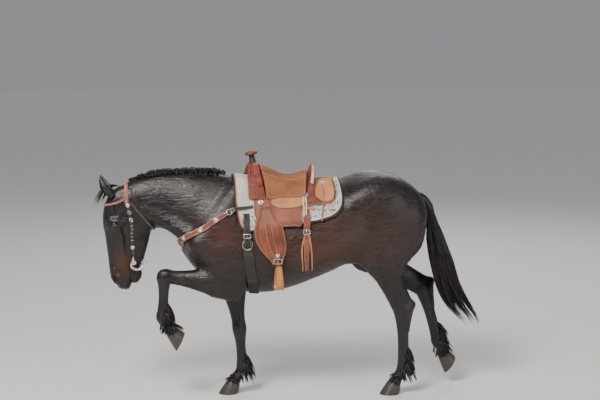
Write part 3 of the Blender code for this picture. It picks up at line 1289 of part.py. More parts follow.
def bridle(parts, pink, dark, steel, coat):
    """Crownpiece, browband, cheekpieces, throatlatch, curb strap and the bit."""
    across = np.array(face_point(0, 1, 0) - face_point(0, 0, 0))
    up = -np.array(FACE_AXIS)
    turns = np.radians(np.linspace(-80, 80, 13))
    ways = up[None, :] * np.cos(turns)[:, None] + np.array((0, 1.0, 0))[None, :] * np.sin(turns)[:, None]
    inner, outer = [], []
    for shift in (-0.014, 0.014):
        starts = np.array([face_point(0.090, -0.028, 0)] * len(turns)) + across * shift
        inner.append(skin_hits(starts, ways, 0.004, 0.3))
        outer.append(skin_hits(starts, ways, 0.008, 0.3))
    slab("crownpiece", inner, outer, pink)
    angles = np.linspace(-70, 70, 11)
    downs = 0.112 - 0.030 * np.abs(angles / 70) ** 1.5
    slab("browband", [round_head(downs + d, angles, 0.004) for d in (-0.009, 0.009)],
         [round_head(downs + d, angles, 0.008) for d in (-0.009, 0.009)], pink)
    for label, side in (("left", -1), ("right", 1)):
        downs = np.array((0.102, 0.150, 0.200, 0.250, 0.290, 0.330, 0.375, 0.420, 0.470))
        outs = np.interp(downs, (0.10, 0.20, 0.25, 0.33, 0.42, 0.47),
                         (-0.032, -0.048, -0.054, -0.051, -0.051, -0.053))
        slab("cheekpiece_" + label, [on_head(downs, outs + d, side, 0.004) for d in (-0.009, 0.009)],
             [on_head(downs, outs + d, side, 0.009) for d in (-0.009, 0.009)], dark)
    turns = np.radians(np.linspace(-93, 93, 17))
    under = -0.80 * up - 0.60 * across
    along = -0.60 * up + 0.80 * across
    ways = under[None, :] * np.cos(turns)[:, None] + np.array((0, 1.0, 0))[None, :] * np.sin(turns)[:, None]
    inner, outer = [], []
    for shift in (-0.007, 0.007):
        starts = np.array([face_point(0.097, -0.054, 0)] * len(turns)) + along * shift
        inner.append(skin_hits(starts, ways, 0.004, 0.35))
        outer.append(skin_hits(starts, ways, 0.008, 0.35))
    slab("throatlatch", inner, outer, dark)
    angles = np.linspace(104, 256, 11)
    slab("curb_strap", [round_head(0.500 + d + 0 * angles, angles, 0.004) for d in (-0.006, 0.006)],
         [round_head(0.500 + d + 0 * angles, angles, 0.007) for d in (-0.006, 0.006)], dark)
    hole = tube("hole", [face_point(0.534, -0.032, y) for y in (-0.12, 0.12)], 0.0063 + GAP, None, 10)
    boolean(parts["head"], hole)
    parts["head"] = finished(largest_part(parts["head"]), coat)
    pieces = [tube("bar", [face_point(0.534, -0.032, y) for y in (-0.074, 0.074)], 0.0060, None, 10)]
    for side in (-1, 1):
        shape = ((0.478, -0.052), (0.505, -0.044), (0.534, -0.034), (0.556, -0.052), (0.562, -0.085),
                 (0.548, -0.118))
        pieces.append(tube("shank", [face_point(u, v, side * 0.074) for u, v in shape], 0.0075, None, 6,
                           0.6))
    bit = pieces.pop()
    bit.name = "bit"
    bit.data.materials.append(steel)
    join_locks(bit, pieces, steel)


def saddlery(parts, coat):
    """Everything the horse wears."""
    leather = finish_material("leather_brown", (0.23, 0.075, 0.035), 0.5)
    tan = finish_material("leather_tan", (0.50, 0.27, 0.13), 0.8)
    pink = finish_material("leather_pink", (0.45, 0.13, 0.13), 0.5)
    dark = finish_material("leather_black", (0.03, 0.025, 0.022), 0.5)
    felt = finish_material("pad_weave", (0.55, 0.62, 0.55), 0.9)
    webbing = finish_material("cinch_webbing", (0.05, 0.045, 0.04), 0.9)
    steel = finish_material("silver", (0.75, 0.74, 0.72), 0.3, 1.0)
    wrapped = finish_material("stirrup_leather", (0.48, 0.20, 0.08), 0.6)
    saddle(leather, tan, felt)
    for label, side in (("left", -1), ("right", 1)):
        fender_and_stirrup(label, side, leather, wrapped)
    girths(leather, dark, webbing, pink, tan)
    bridle(parts, pink, dark, steel, coat)


def fit_pieces():
    """Trims each piece where it rests on the pieces under it, from the skin outward."""
    trimmed("neck", ["torso", "head"])
    for name, others in (("saddle_pad", ["torso"]), ("cinch", ["torso"]),
                         ("breast_collar", ["torso", "neck"]),
                         ("tie_down_strap", ["torso"]), ("throatlatch", ["head", "neck"]), ("curb_strap",
                                                                                            ["head"])):
        trimmed(name, others)
    for label in ("left", "right"):
        skirt = "saddle_skirt_" + label
        trimmed("ear_" + label, ["head"])
        trimmed(skirt, ["saddle_pad"])
        trimmed("rear_jockey_" + label, [skirt])
        trimmed("latigo_" + label, ["saddle_pad"])
        trimmed("collar_strap_" + label, ["breast_collar", "saddle_pad"])
        trimmed("rear_billet_" + label, [skirt])
        trimmed("string_front_" + label, [skirt])
        trimmed("string_rear_" + label, ["rear_jockey_" + label, skirt])
    skirts = ["saddle_skirt_left", "saddle_skirt_right"]
    for name in ("saddle_seat", "saddle_cantle", "saddle_fork"):
        trimmed(name, skirts)
    trimmed("saddle_horn", ["saddle_fork"])
    for label in ("left", "right"):
        trimmed("fender_" + label, ["saddle_skirt_" + label, "saddle_seat"])


def main():
    clear_scene()
    horn = finish_material("hoof_horn", (0.05, 0.045, 0.04), 0.5)
    coat = finish_material("coat", (0.02, 0.014, 0.012), 0.4)
    parts = skin_parts()
    for part in parts.values():
        finished(part, coat)
    for name, joints in LEGS.items():
        hoof(name + "_hoof", joints, horn)
    head_pieces(parts, coat)
    hair(parts, coat)
    saddlery(parts, coat)
    fit_pieces()


main()
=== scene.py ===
import math

import bpy
import numpy as np
from mathutils import Matrix, Vector


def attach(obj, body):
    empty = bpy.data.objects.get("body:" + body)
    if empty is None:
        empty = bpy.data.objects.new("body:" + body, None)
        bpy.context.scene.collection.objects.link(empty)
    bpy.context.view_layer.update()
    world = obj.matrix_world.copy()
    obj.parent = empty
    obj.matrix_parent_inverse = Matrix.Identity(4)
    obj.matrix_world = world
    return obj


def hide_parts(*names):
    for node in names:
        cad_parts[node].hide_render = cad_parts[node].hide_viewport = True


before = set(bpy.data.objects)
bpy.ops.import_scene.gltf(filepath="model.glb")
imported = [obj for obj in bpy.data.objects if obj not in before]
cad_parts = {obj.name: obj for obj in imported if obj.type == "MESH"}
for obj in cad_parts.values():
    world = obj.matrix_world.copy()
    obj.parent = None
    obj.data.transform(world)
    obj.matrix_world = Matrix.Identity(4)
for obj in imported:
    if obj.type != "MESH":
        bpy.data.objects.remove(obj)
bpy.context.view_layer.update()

# Skin of the body, neck, head and legs.
# The real one is a single hide of short, wet, black-brown hair drawn over the muscles, so the muscles
# and bones are rounded forms blended into one closed surface, finest at the eyes, nostrils and lips.
COAT_DEPTH = 0.0012
LEFT_FORE = {"elbow": (-0.430, -0.165, 0.838), "knee": (-0.880, -0.140, 0.893),
             "fetlock": (-0.893, -0.130, 0.605), "coffin": (-0.828, -0.128, 0.497)}
RIGHT_FORE = {"elbow": (-0.395, 0.150, 0.885), "knee": (-0.345, 0.100, 0.462),
              "fetlock": (-0.325, 0.078, 0.182), "coffin": (-0.392, 0.076, 0.078)}
LEFT_HIND = {"stifle": (0.612, -0.185, 0.990), "hock": (0.787, -0.140, 0.605),
             "fetlock": (0.808, -0.100, 0.190), "coffin": (0.741, -0.098, 0.078)}
RIGHT_HIND = {"stifle": (0.590, 0.185, 0.960), "hock": (1.002, 0.140, 0.705),
              "fetlock": (1.112, 0.128, 0.315), "coffin": (1.158, 0.126, 0.212)}
LEGS = {"left_fore": LEFT_FORE, "right_fore": RIGHT_FORE, "left_hind": LEFT_HIND, "right_hind": RIGHT_HIND}

# Trunk stations along the back: x, top line, widest level, underline, half width
TRUNK = (
    (-0.745, 1.170, 1.100, 1.040, 0.035),
    (-0.705, 1.290, 1.095, 0.985, 0.120),
    (-0.640, 1.420, 1.090, 0.900, 0.182),
    (-0.500, 1.500, 1.080, 0.805, 0.222),
    (-0.340, 1.540, 1.070, 0.757, 0.248),
    (-0.170, 1.518, 1.070, 0.745, 0.283),
    (0.000, 1.497, 1.080, 0.777, 0.312),
    (0.170, 1.500, 1.100, 0.838, 0.325),
    (0.330, 1.523, 1.140, 0.905, 0.315),
    (0.430, 1.558, 1.170, 0.957, 0.300),
    (0.510, 1.586, 1.200, 0.985, 0.285),
    (0.600, 1.597, 1.240, 0.990, 0.270),
    (0.720, 1.570, 1.260, 0.990, 0.240),
    (0.820, 1.513, 1.270, 1.020, 0.190),
    (0.905, 1.440, 1.280, 1.100, 0.130),
    (0.955, 1.350, 1.280, 1.190, 0.060),
)
# Neck stations, likewise, from the poll to inside the shoulders
NECK = (
    (-1.205, 1.455, 1.410, 1.360, 0.040),
    (-1.140, 1.515, 1.400, 1.310, 0.068),
    (-1.050, 1.551, 1.400, 1.245, 0.084),
    (-0.950, 1.576, 1.390, 1.212, 0.092),
    (-0.890, 1.584, 1.380, 1.206, 0.098),
    (-0.830, 1.588, 1.360, 1.180, 0.108),
    (-0.770, 1.590, 1.330, 1.125, 0.124),
    (-0.700, 1.590, 1.290, 1.030, 0.148),
    (-0.600, 1.588, 1.240, 0.960, 0.172),
    (-0.480, 1.578, 1.200, 0.940, 0.188),
    (-0.380, 1.552, 1.200, 0.950, 0.184),
    (-0.300, 1.520, 1.200, 0.980, 0.160),
)
# Head stations down the face: distance from the crown, face side, widest line, jaw side, half width
CROWN = Vector((-1.158, 0.0, 1.492))
FACE_AXIS = Vector((0.0416, 0.0, -0.9991))
SKULL = (
    (0.000, 0.042, 0.000, -0.060, 0.046),
    (0.045, 0.087, 0.015, -0.090, 0.064),
    (0.110, 0.123, 0.035, -0.100, 0.077),
    (0.180, 0.139, 0.050, -0.100, 0.083),
    (0.250, 0.142, 0.055, -0.090, 0.082),
    (0.325, 0.132, 0.050, -0.080, 0.070),
    (0.405, 0.126, 0.045, -0.070, 0.059),
    (0.475, 0.121, 0.040, -0.062, 0.052),
    (0.555, 0.117, 0.034, -0.050, 0.050),
    (0.605, 0.112, 0.034, -0.040, 0.053),
    (0.645, 0.092, 0.032, -0.034, 0.052),
    (0.680, 0.058, 0.020, -0.020, 0.043),
    (0.704, 0.022, 0.010, -0.004, 0.026),
)
JAW = (
    (0.030, -0.020, -0.060, -0.100, 0.040),
    (0.110, 0.000, -0.080, -0.150, 0.052),
    (0.180, 0.010, -0.090, -0.180, 0.058),
    (0.250, 0.010, -0.090, -0.188, 0.058),
    (0.325, 0.000, -0.085, -0.178, 0.053),
    (0.405, -0.005, -0.075, -0.156, 0.044),
    (0.475, -0.010, -0.068, -0.131, 0.037),
    (0.555, -0.025, -0.060, -0.094, 0.033),
    (0.600, -0.030, -0.060, -0.088, 0.032),
)

EYE = Vector((-1.2105, 0.0930, 1.2510))

# Half depth fore and aft, and half width, at each share of the way between two joints
FORE_GIRTHS = (
    ("elbow", "knee", ((0.0, 0.112, 0.072), (0.22, 0.102, 0.068), (0.45, 0.078, 0.056),
                       (0.70, 0.056, 0.045), (0.88, 0.049, 0.043), (1.0, 0.052, 0.047))),
    ("knee", "fetlock", ((0.16, 0.045, 0.040), (0.35, 0.037, 0.029), (0.65, 0.036, 0.028),
                         (0.86, 0.041, 0.033), (1.0, 0.047, 0.040))),
    ("fetlock", "coffin", ((0.45, 0.035, 0.034), (0.80, 0.041, 0.042), (1.0, 0.047, 0.048))),
)
HIND_GIRTHS = (
    ("stifle", "hock", ((0.0, 0.112, 0.080), (0.25, 0.094, 0.070), (0.50, 0.078, 0.056),
                        (0.75, 0.069, 0.046), (0.90, 0.065, 0.044), (1.0, 0.066, 0.048))),
    ("hock", "fetlock", ((0.12, 0.056, 0.041), (0.32, 0.044, 0.032), (0.68, 0.040, 0.031),
                         (0.88, 0.044, 0.035), (1.0, 0.050, 0.042))),
    ("fetlock", "coffin", ((0.45, 0.036, 0.034), (0.80, 0.041, 0.042), (1.0, 0.047, 0.047))),
)


def smooth_through(knots, values, t):
    """A cubic curve through the values at the knots, held level beyond the ends."""
    knots = np.asarray(knots, float)
    values = np.asarray(values, float)
    t = np.clip(t, knots[0], knots[-1])
    slope = np.gradient(values, knots, axis=0)
    i = np.clip(np.searchsorted(knots, t) - 1, 0, len(knots) - 2)
    step = knots[i + 1] - knots[i]
    s = (t - knots[i]) / step
    if values.ndim > 1:
        s = s[:, None]
        step = step[:, None]
    return (
        (1 + 2 * s) * (1 - s) ** 2 * values[i]
        + s * (1 - s) ** 2 * step * slope[i]
        + s * s * (3 - 2 * s) * values[i + 1]
        + s * s * (s - 1) * step * slope[i + 1]
    )


def curve(knots, values, t):
    """The same curve through single values."""
    return smooth_through(knots, [[value] for value in values], t)[:, 0]


def blended(a, b, width):
    """The union of two fields, with a fillet of about that width where they meet."""
    h = np.clip(0.5 + 0.5 * (b - a) / width, 0, 1)
    return b * (1 - h) + a * h - width * h * (1 - h)


def carved(a, b, width):
    """Field a with the form b cut out of it, rounded over about that width."""
    return -blended(-a, b, width)


class Loft:
    """A body form with a side profile and a half width at stations along a straight axis."""

    def __init__(self, stations, origin=(0, 0, 0), along=(1, 0, 0), top_power=2.0, low_power=2.2,
                 blend=0.05, end_round=0.02):
        self.rows = np.array(stations, float)
        self.origin = np.array(origin, float)
        self.along = np.array(along, float)
        self.across = np.array((-along[2], 0, along[0]), float)
        if self.across[2] < 0 or abs(along[2]) > 0.5:
            self.across = -self.across if self.across[0] > 0 else self.across
        self.top_power = top_power
        self.low_power = low_power
        self.blend = blend
        self.end_round = end_round
        corners = [
            self.origin + u * self.along + v * self.across
            for u, top, _, low, _ in self.rows
            for v in (top, low)
        ]
        wide = self.rows[:, 4].max()
        self.low = np.min(corners, axis=0) - (0.1, wide + 0.1, 0.1)
        self.high = np.max(corners, axis=0) + (0.1, wide + 0.1, 0.1)

    def field(self, points):
        local = points - self.origin
        u = local @ self.along
        v = local @ self.across
        y = np.abs(points[:, 1])
        top, middle, low, half = smooth_through(self.rows[:, 0], self.rows[:, 1:], u).T
        above = v > middle
        reach = np.where(above, np.maximum(top - middle, 1e-3), np.maximum(middle - low, 1e-3))
        power = np.where(above, self.top_power, self.low_power)
        a = y / np.maximum(half, 1e-3)
        b = np.abs(v - middle) / reach
        ratio = np.maximum((a**power + b**power) ** (1 / power), 1e-6)
        distance = np.hypot(y, v - middle) * (1 - 1 / ratio)
        distance = np.maximum(distance, -np.minimum(half, reach))
        ends = np.maximum(self.rows[0, 0] - u, u - self.rows[-1, 0])
        return -blended(-distance, -ends, self.end_round)


class Limb:
    """A limb or a muscle with an oval section, through stations (x, y, z, half depth, half width)."""

    def __init__(self, stations, blend=0.03, steps=4):
        rows = np.array(stations, float)
        rows = rows if len(rows) > 1 else np.vstack([rows, rows + (1e-4, 0, 0, 0, 0)])
        knots = np.concatenate([[0], np.cumsum(np.linalg.norm(np.diff(rows[:, :3], axis=0), axis=1))])
        count = steps * (len(rows) - 1) + 1
        self.rows = smooth_through(knots, rows, np.interp(np.linspace(0, 1, count),
                                                         np.linspace(0, 1, len(rows)), knots))
        self.blend = blend
        reach = self.rows[:, 3:].max(axis=1)[:, None] + blend + 0.02
        self.low = (self.rows[:, :3] - reach).min(axis=0)
        self.high = (self.rows[:, :3] + reach).max(axis=0)

    def field(self, points):
        found = np.full(len(points), np.inf)
        for start, end in zip(self.rows[:-1], self.rows[1:]):
            step = end[:3] - start[:3]
            length = max(step @ step, 1e-12)
            t = np.clip((points - start[:3]) @ step / length, 0, 1)
            away = points - start[:3] - t[:, None] * step
            depth = start[3] + t * (end[3] - start[3])
            width = start[4] + t * (end[4] - start[4])
            across = np.hypot(away[:, 0], away[:, 2])
            ratio = np.maximum(np.hypot(across / depth, away[:, 1] / width), 1e-6)
            distance = np.hypot(across, away[:, 1]) * (1 - 1 / ratio)
            np.minimum(found, np.maximum(distance, -np.minimum(depth, width)), out=found)
        return found


class Bulge:
    """A rounded mass: centre, three half sizes, and its lean in the side view in degrees."""

    def __init__(self, centre, sizes, lean=0.0, yaw=0.0, blend=0.05):
        self.centre = np.array(centre, float)
        self.sizes = np.array(sizes, float)
        turn = Matrix.Rotation(math.radians(yaw), 3, "Z") @ Matrix.Rotation(math.radians(lean), 3, "Y")
        self.turn = np.array(turn)
        self.blend = blend
        self.low = self.centre - self.sizes.max() - blend - 0.02
        self.high = self.centre + self.sizes.max() + blend + 0.02

    def field(self, points):
        local = (points - self.centre) @ self.turn
        ratio = np.maximum(np.linalg.norm(local / self.sizes, axis=1), 1e-6)
        distance = np.linalg.norm(local, axis=1) * (1 - 1 / ratio)
        return np.maximum(distance, -self.sizes.min())


def face_point(down, out, side):
    """A point on the head: how far down the face, out towards the face, and to the left (-) or right."""
    across = Vector((FACE_AXIS.z, 0, -FACE_AXIS.x))
    return CROWN + FACE_AXIS * down + across * out + Vector((0, side, 0))


def leg_stations(joints, girths):
    """Stations down a leg, at the shares of each bone's length that the girths name."""
    rows = []
    for upper, lower, shares in girths:
        a, b = Vector(joints[upper]), Vector(joints[lower])
        rows += [(*a.lerp(b, share), depth, width) for share, depth, width in shares]
    return rows


def trunk_forms():
    """Trunk, neck, and the muscles of shoulder, back, flank and haunch."""
    forms = [
        Loft(TRUNK, top_power=1.9, low_power=2.1, blend=0.05, end_round=0.03),
        Loft(NECK, top_power=1.75, low_power=1.9, blend=0.07, end_round=0.03),
    ]
    for side, fore in ((-1, LEFT_FORE), (1, RIGHT_FORE)):
        reach = 0.035 if side < 0 else 0.0
        shoulder = (-0.595 - reach, side * 0.170, 1.085 + reach)
        elbow = fore["elbow"]
        forms += [
            Limb(((-0.350, side * 0.105, 1.470, 0.070, 0.050), (-0.470, side * 0.165, 1.290, 0.085, 0.055),
                  (*shoulder, 0.075, 0.058)), blend=0.06),
            Limb(((*shoulder, 0.070, 0.055), (elbow[0], elbow[1], elbow[2] + 0.05, 0.085, 0.062)), blend=0.05),
            Bulge((-0.425 - reach, side * 0.195, 1.050), (0.150, 0.060, 0.115), lean=35, blend=0.06),
            Bulge((-0.655, side * 0.090, 1.050), (0.070, 0.080, 0.105), lean=-20, blend=0.04),
            Bulge((-0.440, side * 0.060, 0.860), (0.150, 0.070, 0.090), blend=0.06),
            Limb(((-1.010, side * 0.056, 1.330, 0.045, 0.034), (-0.850, side * 0.080, 1.265, 0.055, 0.040),
                  (-0.690, side * 0.125, 1.160, 0.060, 0.050)), blend=0.04),
            Limb(((0.445, side * 0.190, 1.405, 0.040, 0.045), (0.540, side * 0.165, 1.420, 0.095, 0.090),
                  (0.660, side * 0.140, 1.405, 0.150, 0.115), (0.790, side * 0.115, 1.330, 0.145,
                                                               0.105)), blend=0.10),
            Bulge((0.800, side * 0.135, 1.220), (0.135, 0.112, 0.220), lean=-10, blend=0.09),
        ]
    for side, hind in ((-1, LEFT_HIND), (1, RIGHT_HIND)):
        stifle = Vector(hind["stifle"])
        hock = Vector(hind["hock"])
        calf = stifle.lerp(hock, 0.22)
        back = Vector((stifle.z - hock.z, 0, hock.x - stifle.x)).normalized()
        forms += [
            Limb(((0.660, side * 0.165, 1.330, 0.150, 0.110), (*stifle.lerp(Vector((0.66, side * 0.17, 1.33)),
                                                                            0.42), 0.150, 0.100),
                  (*stifle, 0.110, 0.078)), blend=0.07),
            Limb(((0.835, side * 0.130, 1.280, 0.105, 0.095), (0.790, side * 0.150, 1.110, 0.110, 0.085),
                  (*(calf + back * 0.075), 0.070, 0.058)), blend=0.05),
            Bulge((0.440, side * 0.190, 1.080), (0.120, 0.060, 0.120), lean=30, blend=0.07),
        ]
    return forms


def head_forms():
    """The skull and jaw with cheeks, brows, cheekbones, nostrils, lips and chin."""
    forms = [
        Loft(SKULL, CROWN, FACE_AXIS, top_power=2.5, low_power=2.2, blend=0.045, end_round=0.02),
        Loft(JAW, CROWN, FACE_AXIS, top_power=2.2, low_power=2.2, blend=0.045, end_round=0.02),
    ]
    for side in (-1, 1):
        forms += [
            Bulge(face_point(0.238, -0.082, side * 0.048), (0.100, 0.036, 0.112), lean=4, blend=0.035),
            Bulge(face_point(0.105, -0.045, side * 0.052), (0.060, 0.030, 0.070), blend=0.040),
            Bulge(face_point(0.240, 0.056, side * 0.070), (0.052, 0.030, 0.044), lean=-14, blend=0.035),
            Limb(((*face_point(0.216, 0.100, side * 0.074), 0.011, 0.011),
                  (*face_point(0.209, 0.072, side * 0.089), 0.011, 0.010),
                  (*face_point(0.218, 0.034, side * 0.091), 0.011,
                   0.010), (*face_point(0.222, -0.010, side * 0.084), 0.012, 0.010)),
                 blend=0.022),
            Limb(((*face_point(0.262, 0.050, side * 0.092), 0.014, 0.010),
                  (*face_point(0.310, 0.026, side * 0.081), 0.013, 0.010),
                  (*face_point(0.370, 0.014, side * 0.069), 0.011,
                   0.009), (*face_point(0.440, 0.006, side * 0.052), 0.008, 0.008)),
                 blend=0.030),
            Bulge(face_point(0.628, 0.070, side * 0.042), (0.028, 0.018, 0.034), lean=-22, blend=0.025),
            Limb(((*face_point(0.560, 0.080, side * 0.040), 0.012, 0.012),
                  (*face_point(0.610, 0.095, side * 0.044), 0.012, 0.012)),
                 blend=0.02),
            Bulge(face_point(0.600, 0.010, side * 0.038), (0.040, 0.018, 0.050), blend=0.025),
        ]
    forms += [
        Bulge(face_point(0.600, -0.068, 0), (0.037, 0.037, 0.038), lean=-10, blend=0.025),
        Bulge(face_point(0.636, -0.054, 0), (0.028, 0.038, 0.028), lean=-30, blend=0.030),
        Bulge(face_point(0.668, 0.024, 0), (0.046, 0.043, 0.034), lean=-28, blend=0.025),
    ]
    return forms


def leg_forms():
    """The four legs to the top of the hoof, with knees, hocks, tendons and fetlocks."""
    forms = []
    for joints in (LEFT_FORE, RIGHT_FORE):
        forms.append(Limb(leg_stations(joints, FORE_GIRTHS), blend=0.05, steps=3))
        elbow, knee = Vector(joints["elbow"]), Vector(joints["knee"])
        down = (knee - elbow).normalized()
        back = Vector((-down.z, 0, down.x)) if down.z < -0.5 else Vector((0, 0, -1))
        point = elbow + back * 0.085 - down * 0.03
        forms.append(Limb(((*point, 0.034, 0.030), (*(elbow + back * 0.05 + down * 0.10), 0.05, 0.045)),
                          blend=0.04))
    for joints in (LEFT_HIND, RIGHT_HIND):
        forms.append(Limb(leg_stations(joints, HIND_GIRTHS), blend=0.07, steps=3))
        stifle, hock, fetlock = (Vector(joints[name]) for name in ("stifle", "hock", "fetlock"))
        up = (hock - fetlock).normalized()
        back = Vector((up.z, 0, -up.x))
        point = hock + up * 0.040 + back * 0.062
        heel = Vector((stifle.z - hock.z, 0, hock.x - stifle.x)).normalized()
        forms += [
            Limb(((*hock, 0.050, 0.042), (*point, 0.028, 0.025)), blend=0.025),
            Limb(((*point, 0.018, 0.016), (*(stifle.lerp(hock, 0.50) + heel * 0.055), 0.036, 0.034)),
                 blend=0.03),
            Limb(((*point, 0.022, 0.018), (*(hock.lerp(fetlock, 0.32) + back * 0.026), 0.019, 0.018)),
                 blend=0.025),
        ]
    forms.append(Limb(((0.880, 0, 1.405, 0.038, 0.040), (0.945, 0, 1.388, 0.034, 0.036),
                       (0.992, 0, 1.345, 0.029, 0.031), (1.018, 0, 1.285, 0.024, 0.026),
                       (1.034, 0, 1.205, 0.016, 0.018)), blend=0.02))
    return forms


FORMS = trunk_forms() + head_forms() + leg_forms()


def horse_field(points):
    """Signed distance, roughly in metres, to the horse's skin: negative inside."""
    found = np.full(len(points), 1.0)
    for form in FORMS:
        near = np.all((points > form.low) & (points < form.high), axis=1)
        if near.any():
            found[near] = blended(form.field(points[near]), found[near], form.blend)
    return found


def skin_slope(points, step=0.002):
    """The direction in which the distance to the skin grows, one unit vector for each point."""
    slope = np.stack([
        horse_field(points + step * axis) - horse_field(points - step * axis) for axis in np.eye(3)
    ], axis=1)
    return slope / (2 * step)


def skin_hits(starts, directions, lift=0.0, reach=0.60):
    """Where rays from inside the body reach a height above the skin."""
    starts = np.atleast_2d(np.asarray(starts, float))
    directions = np.atleast_2d(np.asarray(directions, float))
    directions = directions / np.linalg.norm(directions, axis=1, keepdims=True)
    lift = np.broadcast_to(lift, len(starts))
    steps = np.linspace(0, reach, 61)
    points = starts[:, None] + directions[:, None] * steps[None, :, None]
    values = horse_field(points.reshape(-1, 3)).reshape(len(starts), -1) - lift[:, None]
    first = np.maximum((values > 0).argmax(axis=1), 1)
    row = np.arange(len(starts))
    low, high = steps[first - 1], steps[first]
    for _ in range(12):
        middle = (low + high) / 2
        outside = horse_field(starts + directions * middle[:, None]) - lift > 0
        high = np.where(outside, middle, high)
        low = np.where(outside, low, middle)
    return starts + directions * ((low + high) / 2)[row, None]


TRUNK_AXIS = 1.14


def over_trunk(x, angle, lift):
    """Points at a height over the trunk: 0 degrees is the spine and -90 the left side."""
    x, angle, lift = np.broadcast_arrays(np.asarray(x, float), np.radians(angle), lift)
    starts = np.stack([x.ravel(), 0 * x.ravel(), np.full(x.size, TRUNK_AXIS)], axis=1)
    directions = np.stack([0 * x.ravel(), np.sin(angle.ravel()), np.cos(angle.ravel())], axis=1)
    return skin_hits(starts, directions, lift.ravel()).reshape(*x.shape, 3)


def on_head(down, out, side, lift):
    """Points straight out sideways from the head at a distance down and towards the face."""
    down, out, side, lift = np.broadcast_arrays(down, out, side, lift)
    starts = np.array([face_point(float(u), float(v), 0) for u, v in zip(down.ravel(), out.ravel())])
    directions = np.stack([0 * down.ravel(), side.ravel(), 0 * down.ravel()], axis=1).astype(float)
    return skin_hits(starts, directions, lift.ravel(), 0.2).reshape(*down.shape, 3)


def round_head(down, angle, lift):
    """Points around the head: 0 degrees is the face, 90 the horse's right, 180 under the jaw."""
    down, angle, lift = np.broadcast_arrays(np.asarray(down, float), np.radians(angle), lift)
    across = -np.array((FACE_AXIS.z * -1, 0, FACE_AXIS.x))
    starts = np.array([face_point(float(u), -0.02, 0) for u in down.ravel()])
    directions = across * np.cos(angle.ravel())[:, None] + np.array((0, 1, 0)) * np.sin(angle.ravel())[:, None]
    return skin_hits(starts, directions, lift.ravel(), 0.3).reshape(*down.shape, 3)


def grid_lines(*stretches):
    """Grid lines along one axis from (start, spacing) stretches; the last entry is the end."""
    ticks = [stretches[0][0]]
    for (start, step), follower in zip(stretches[:-1], stretches[1:]):
        count = 2 * max(round((follower[0] - start) / step / 2), 1)
        ticks += list(np.linspace(start, follower[0], count + 1)[1:])
    return np.array(ticks)


def grid_values(xs, ys, zs, field):
    """The field on the grid lines, worked out on every second line and then in full close to the skin."""
    rough_axes = [axis[::2] for axis in (xs, ys, zs)]
    points = np.stack(np.meshgrid(*rough_axes, indexing="ij"), axis=-1)
    rough = field(points.reshape(-1, 3)).reshape(points.shape[:3]).astype(np.float32)
    sizes = np.meshgrid(*[np.gradient(axis) for axis in rough_axes], indexing="ij")
    close = np.abs(rough) < 2.6 * np.max(sizes, axis=0)
    cut = tuple(slice(0, len(axis)) for axis in (xs, ys, zs))
    values = rough.repeat(2, 0).repeat(2, 1).repeat(2, 2)[cut]
    close = close.repeat(2, 0).repeat(2, 1).repeat(2, 2)[cut]
    where = np.argwhere(close)
    near = np.stack([axis[where[:, k]] for k, axis in enumerate((xs, ys, zs))], axis=1)
    values[close] = field(near)
    return values


def surface_of(values, axes):
    """Points and four-sided faces of the zero surface of a field on grid lines."""
    inside = values < 0
    nx, ny, nz = values.shape
    count = np.zeros((nx - 1, ny - 1, nz - 1), np.int8)
    for i in (0, 1):
        for j in (0, 1):
            for k in (0, 1):
                count += inside[i:nx - 1 + i, j:ny - 1 + j, k:nz - 1 + k]
    cells = np.argwhere((count > 0) & (count < 8))
    number = np.full(count.shape, -1)
    number[tuple(cells.T)] = np.arange(len(cells))
    total = np.zeros((len(cells), 3))
    hits = np.zeros(len(cells))
    for axis in range(3):
        others = [a for a in range(3) if a != axis]
        for m in (0, 1):
            for n in (0, 1):
                start = cells.copy()
                start[:, others[0]] += m
                start[:, others[1]] += n
                end = start.copy()
                end[:, axis] += 1
                a, b = values[tuple(start.T)], values[tuple(end.T)]
                crosses = (a < 0) != (b < 0)
                place = start.astype(float)
                place[:, axis] += np.where(crosses, a / np.where(crosses, a - b, 1), 0)
                total += place * crosses[:, None]
                hits += crosses
    spots = total / hits[:, None]
    points = np.stack([np.interp(spots[:, k], np.arange(len(axes[k])), axes[k]) for k in range(3)], axis=1)
    faces = []
    for axis in range(3):
        u, w = [a for a in range(3) if a != axis]
        start, end = [slice(None)] * 3, [slice(None)] * 3
        start[axis], end[axis] = slice(0, -1), slice(1, None)
        edges = np.argwhere(inside[tuple(start)] != inside[tuple(end)])
        edges = edges[(edges[:, u] > 0) & (edges[:, w] > 0)]
        corners = []
        for du, dw in ((-1, -1), (0, -1), (0, 0), (-1, 0)):
            cell = edges.copy()
            cell[:, u] += du
            cell[:, w] += dw
            corners.append(number[tuple(cell.T)])
        quads = np.stack(corners, axis=1)
        outward = inside[tuple(edges.T)] == (axis != 1)
        quads[~outward] = quads[~outward][:, ::-1]
        faces.append(quads)
    return points, np.concatenate(faces)


def mesh_from(name, points, faces, smooth=True):
    """A mesh object from arrays of points and of faces that all have the same number of corners."""
    points, faces = np.asarray(points, np.float32), np.asarray(faces, np.int32)
    corners = faces.shape[1]
    mesh = bpy.data.meshes.new(name)
    mesh.vertices.add(len(points))
    mesh.vertices.foreach_set("co", points.ravel())
    mesh.loops.add(faces.size)
    mesh.loops.foreach_set("vertex_index", faces.ravel())
    mesh.polygons.add(len(faces))
    mesh.polygons.foreach_set("loop_start", np.arange(0, faces.size, corners, dtype=np.int32))
    mesh.polygons.foreach_set("use_smooth", np.full(len(faces), smooth))
    mesh.update(calc_edges=True)
    mesh.validate()
    obj = bpy.data.objects.new(name, mesh)
    bpy.context.scene.collection.objects.link(obj)
    return obj


def applied(obj):
    """The object with its modifiers made part of its mesh."""
    graph = bpy.context.evaluated_depsgraph_get()
    made = bpy.data.meshes.new_from_object(obj.evaluated_get(graph))
    obj.modifiers.clear()
    obj.data = made
    return obj


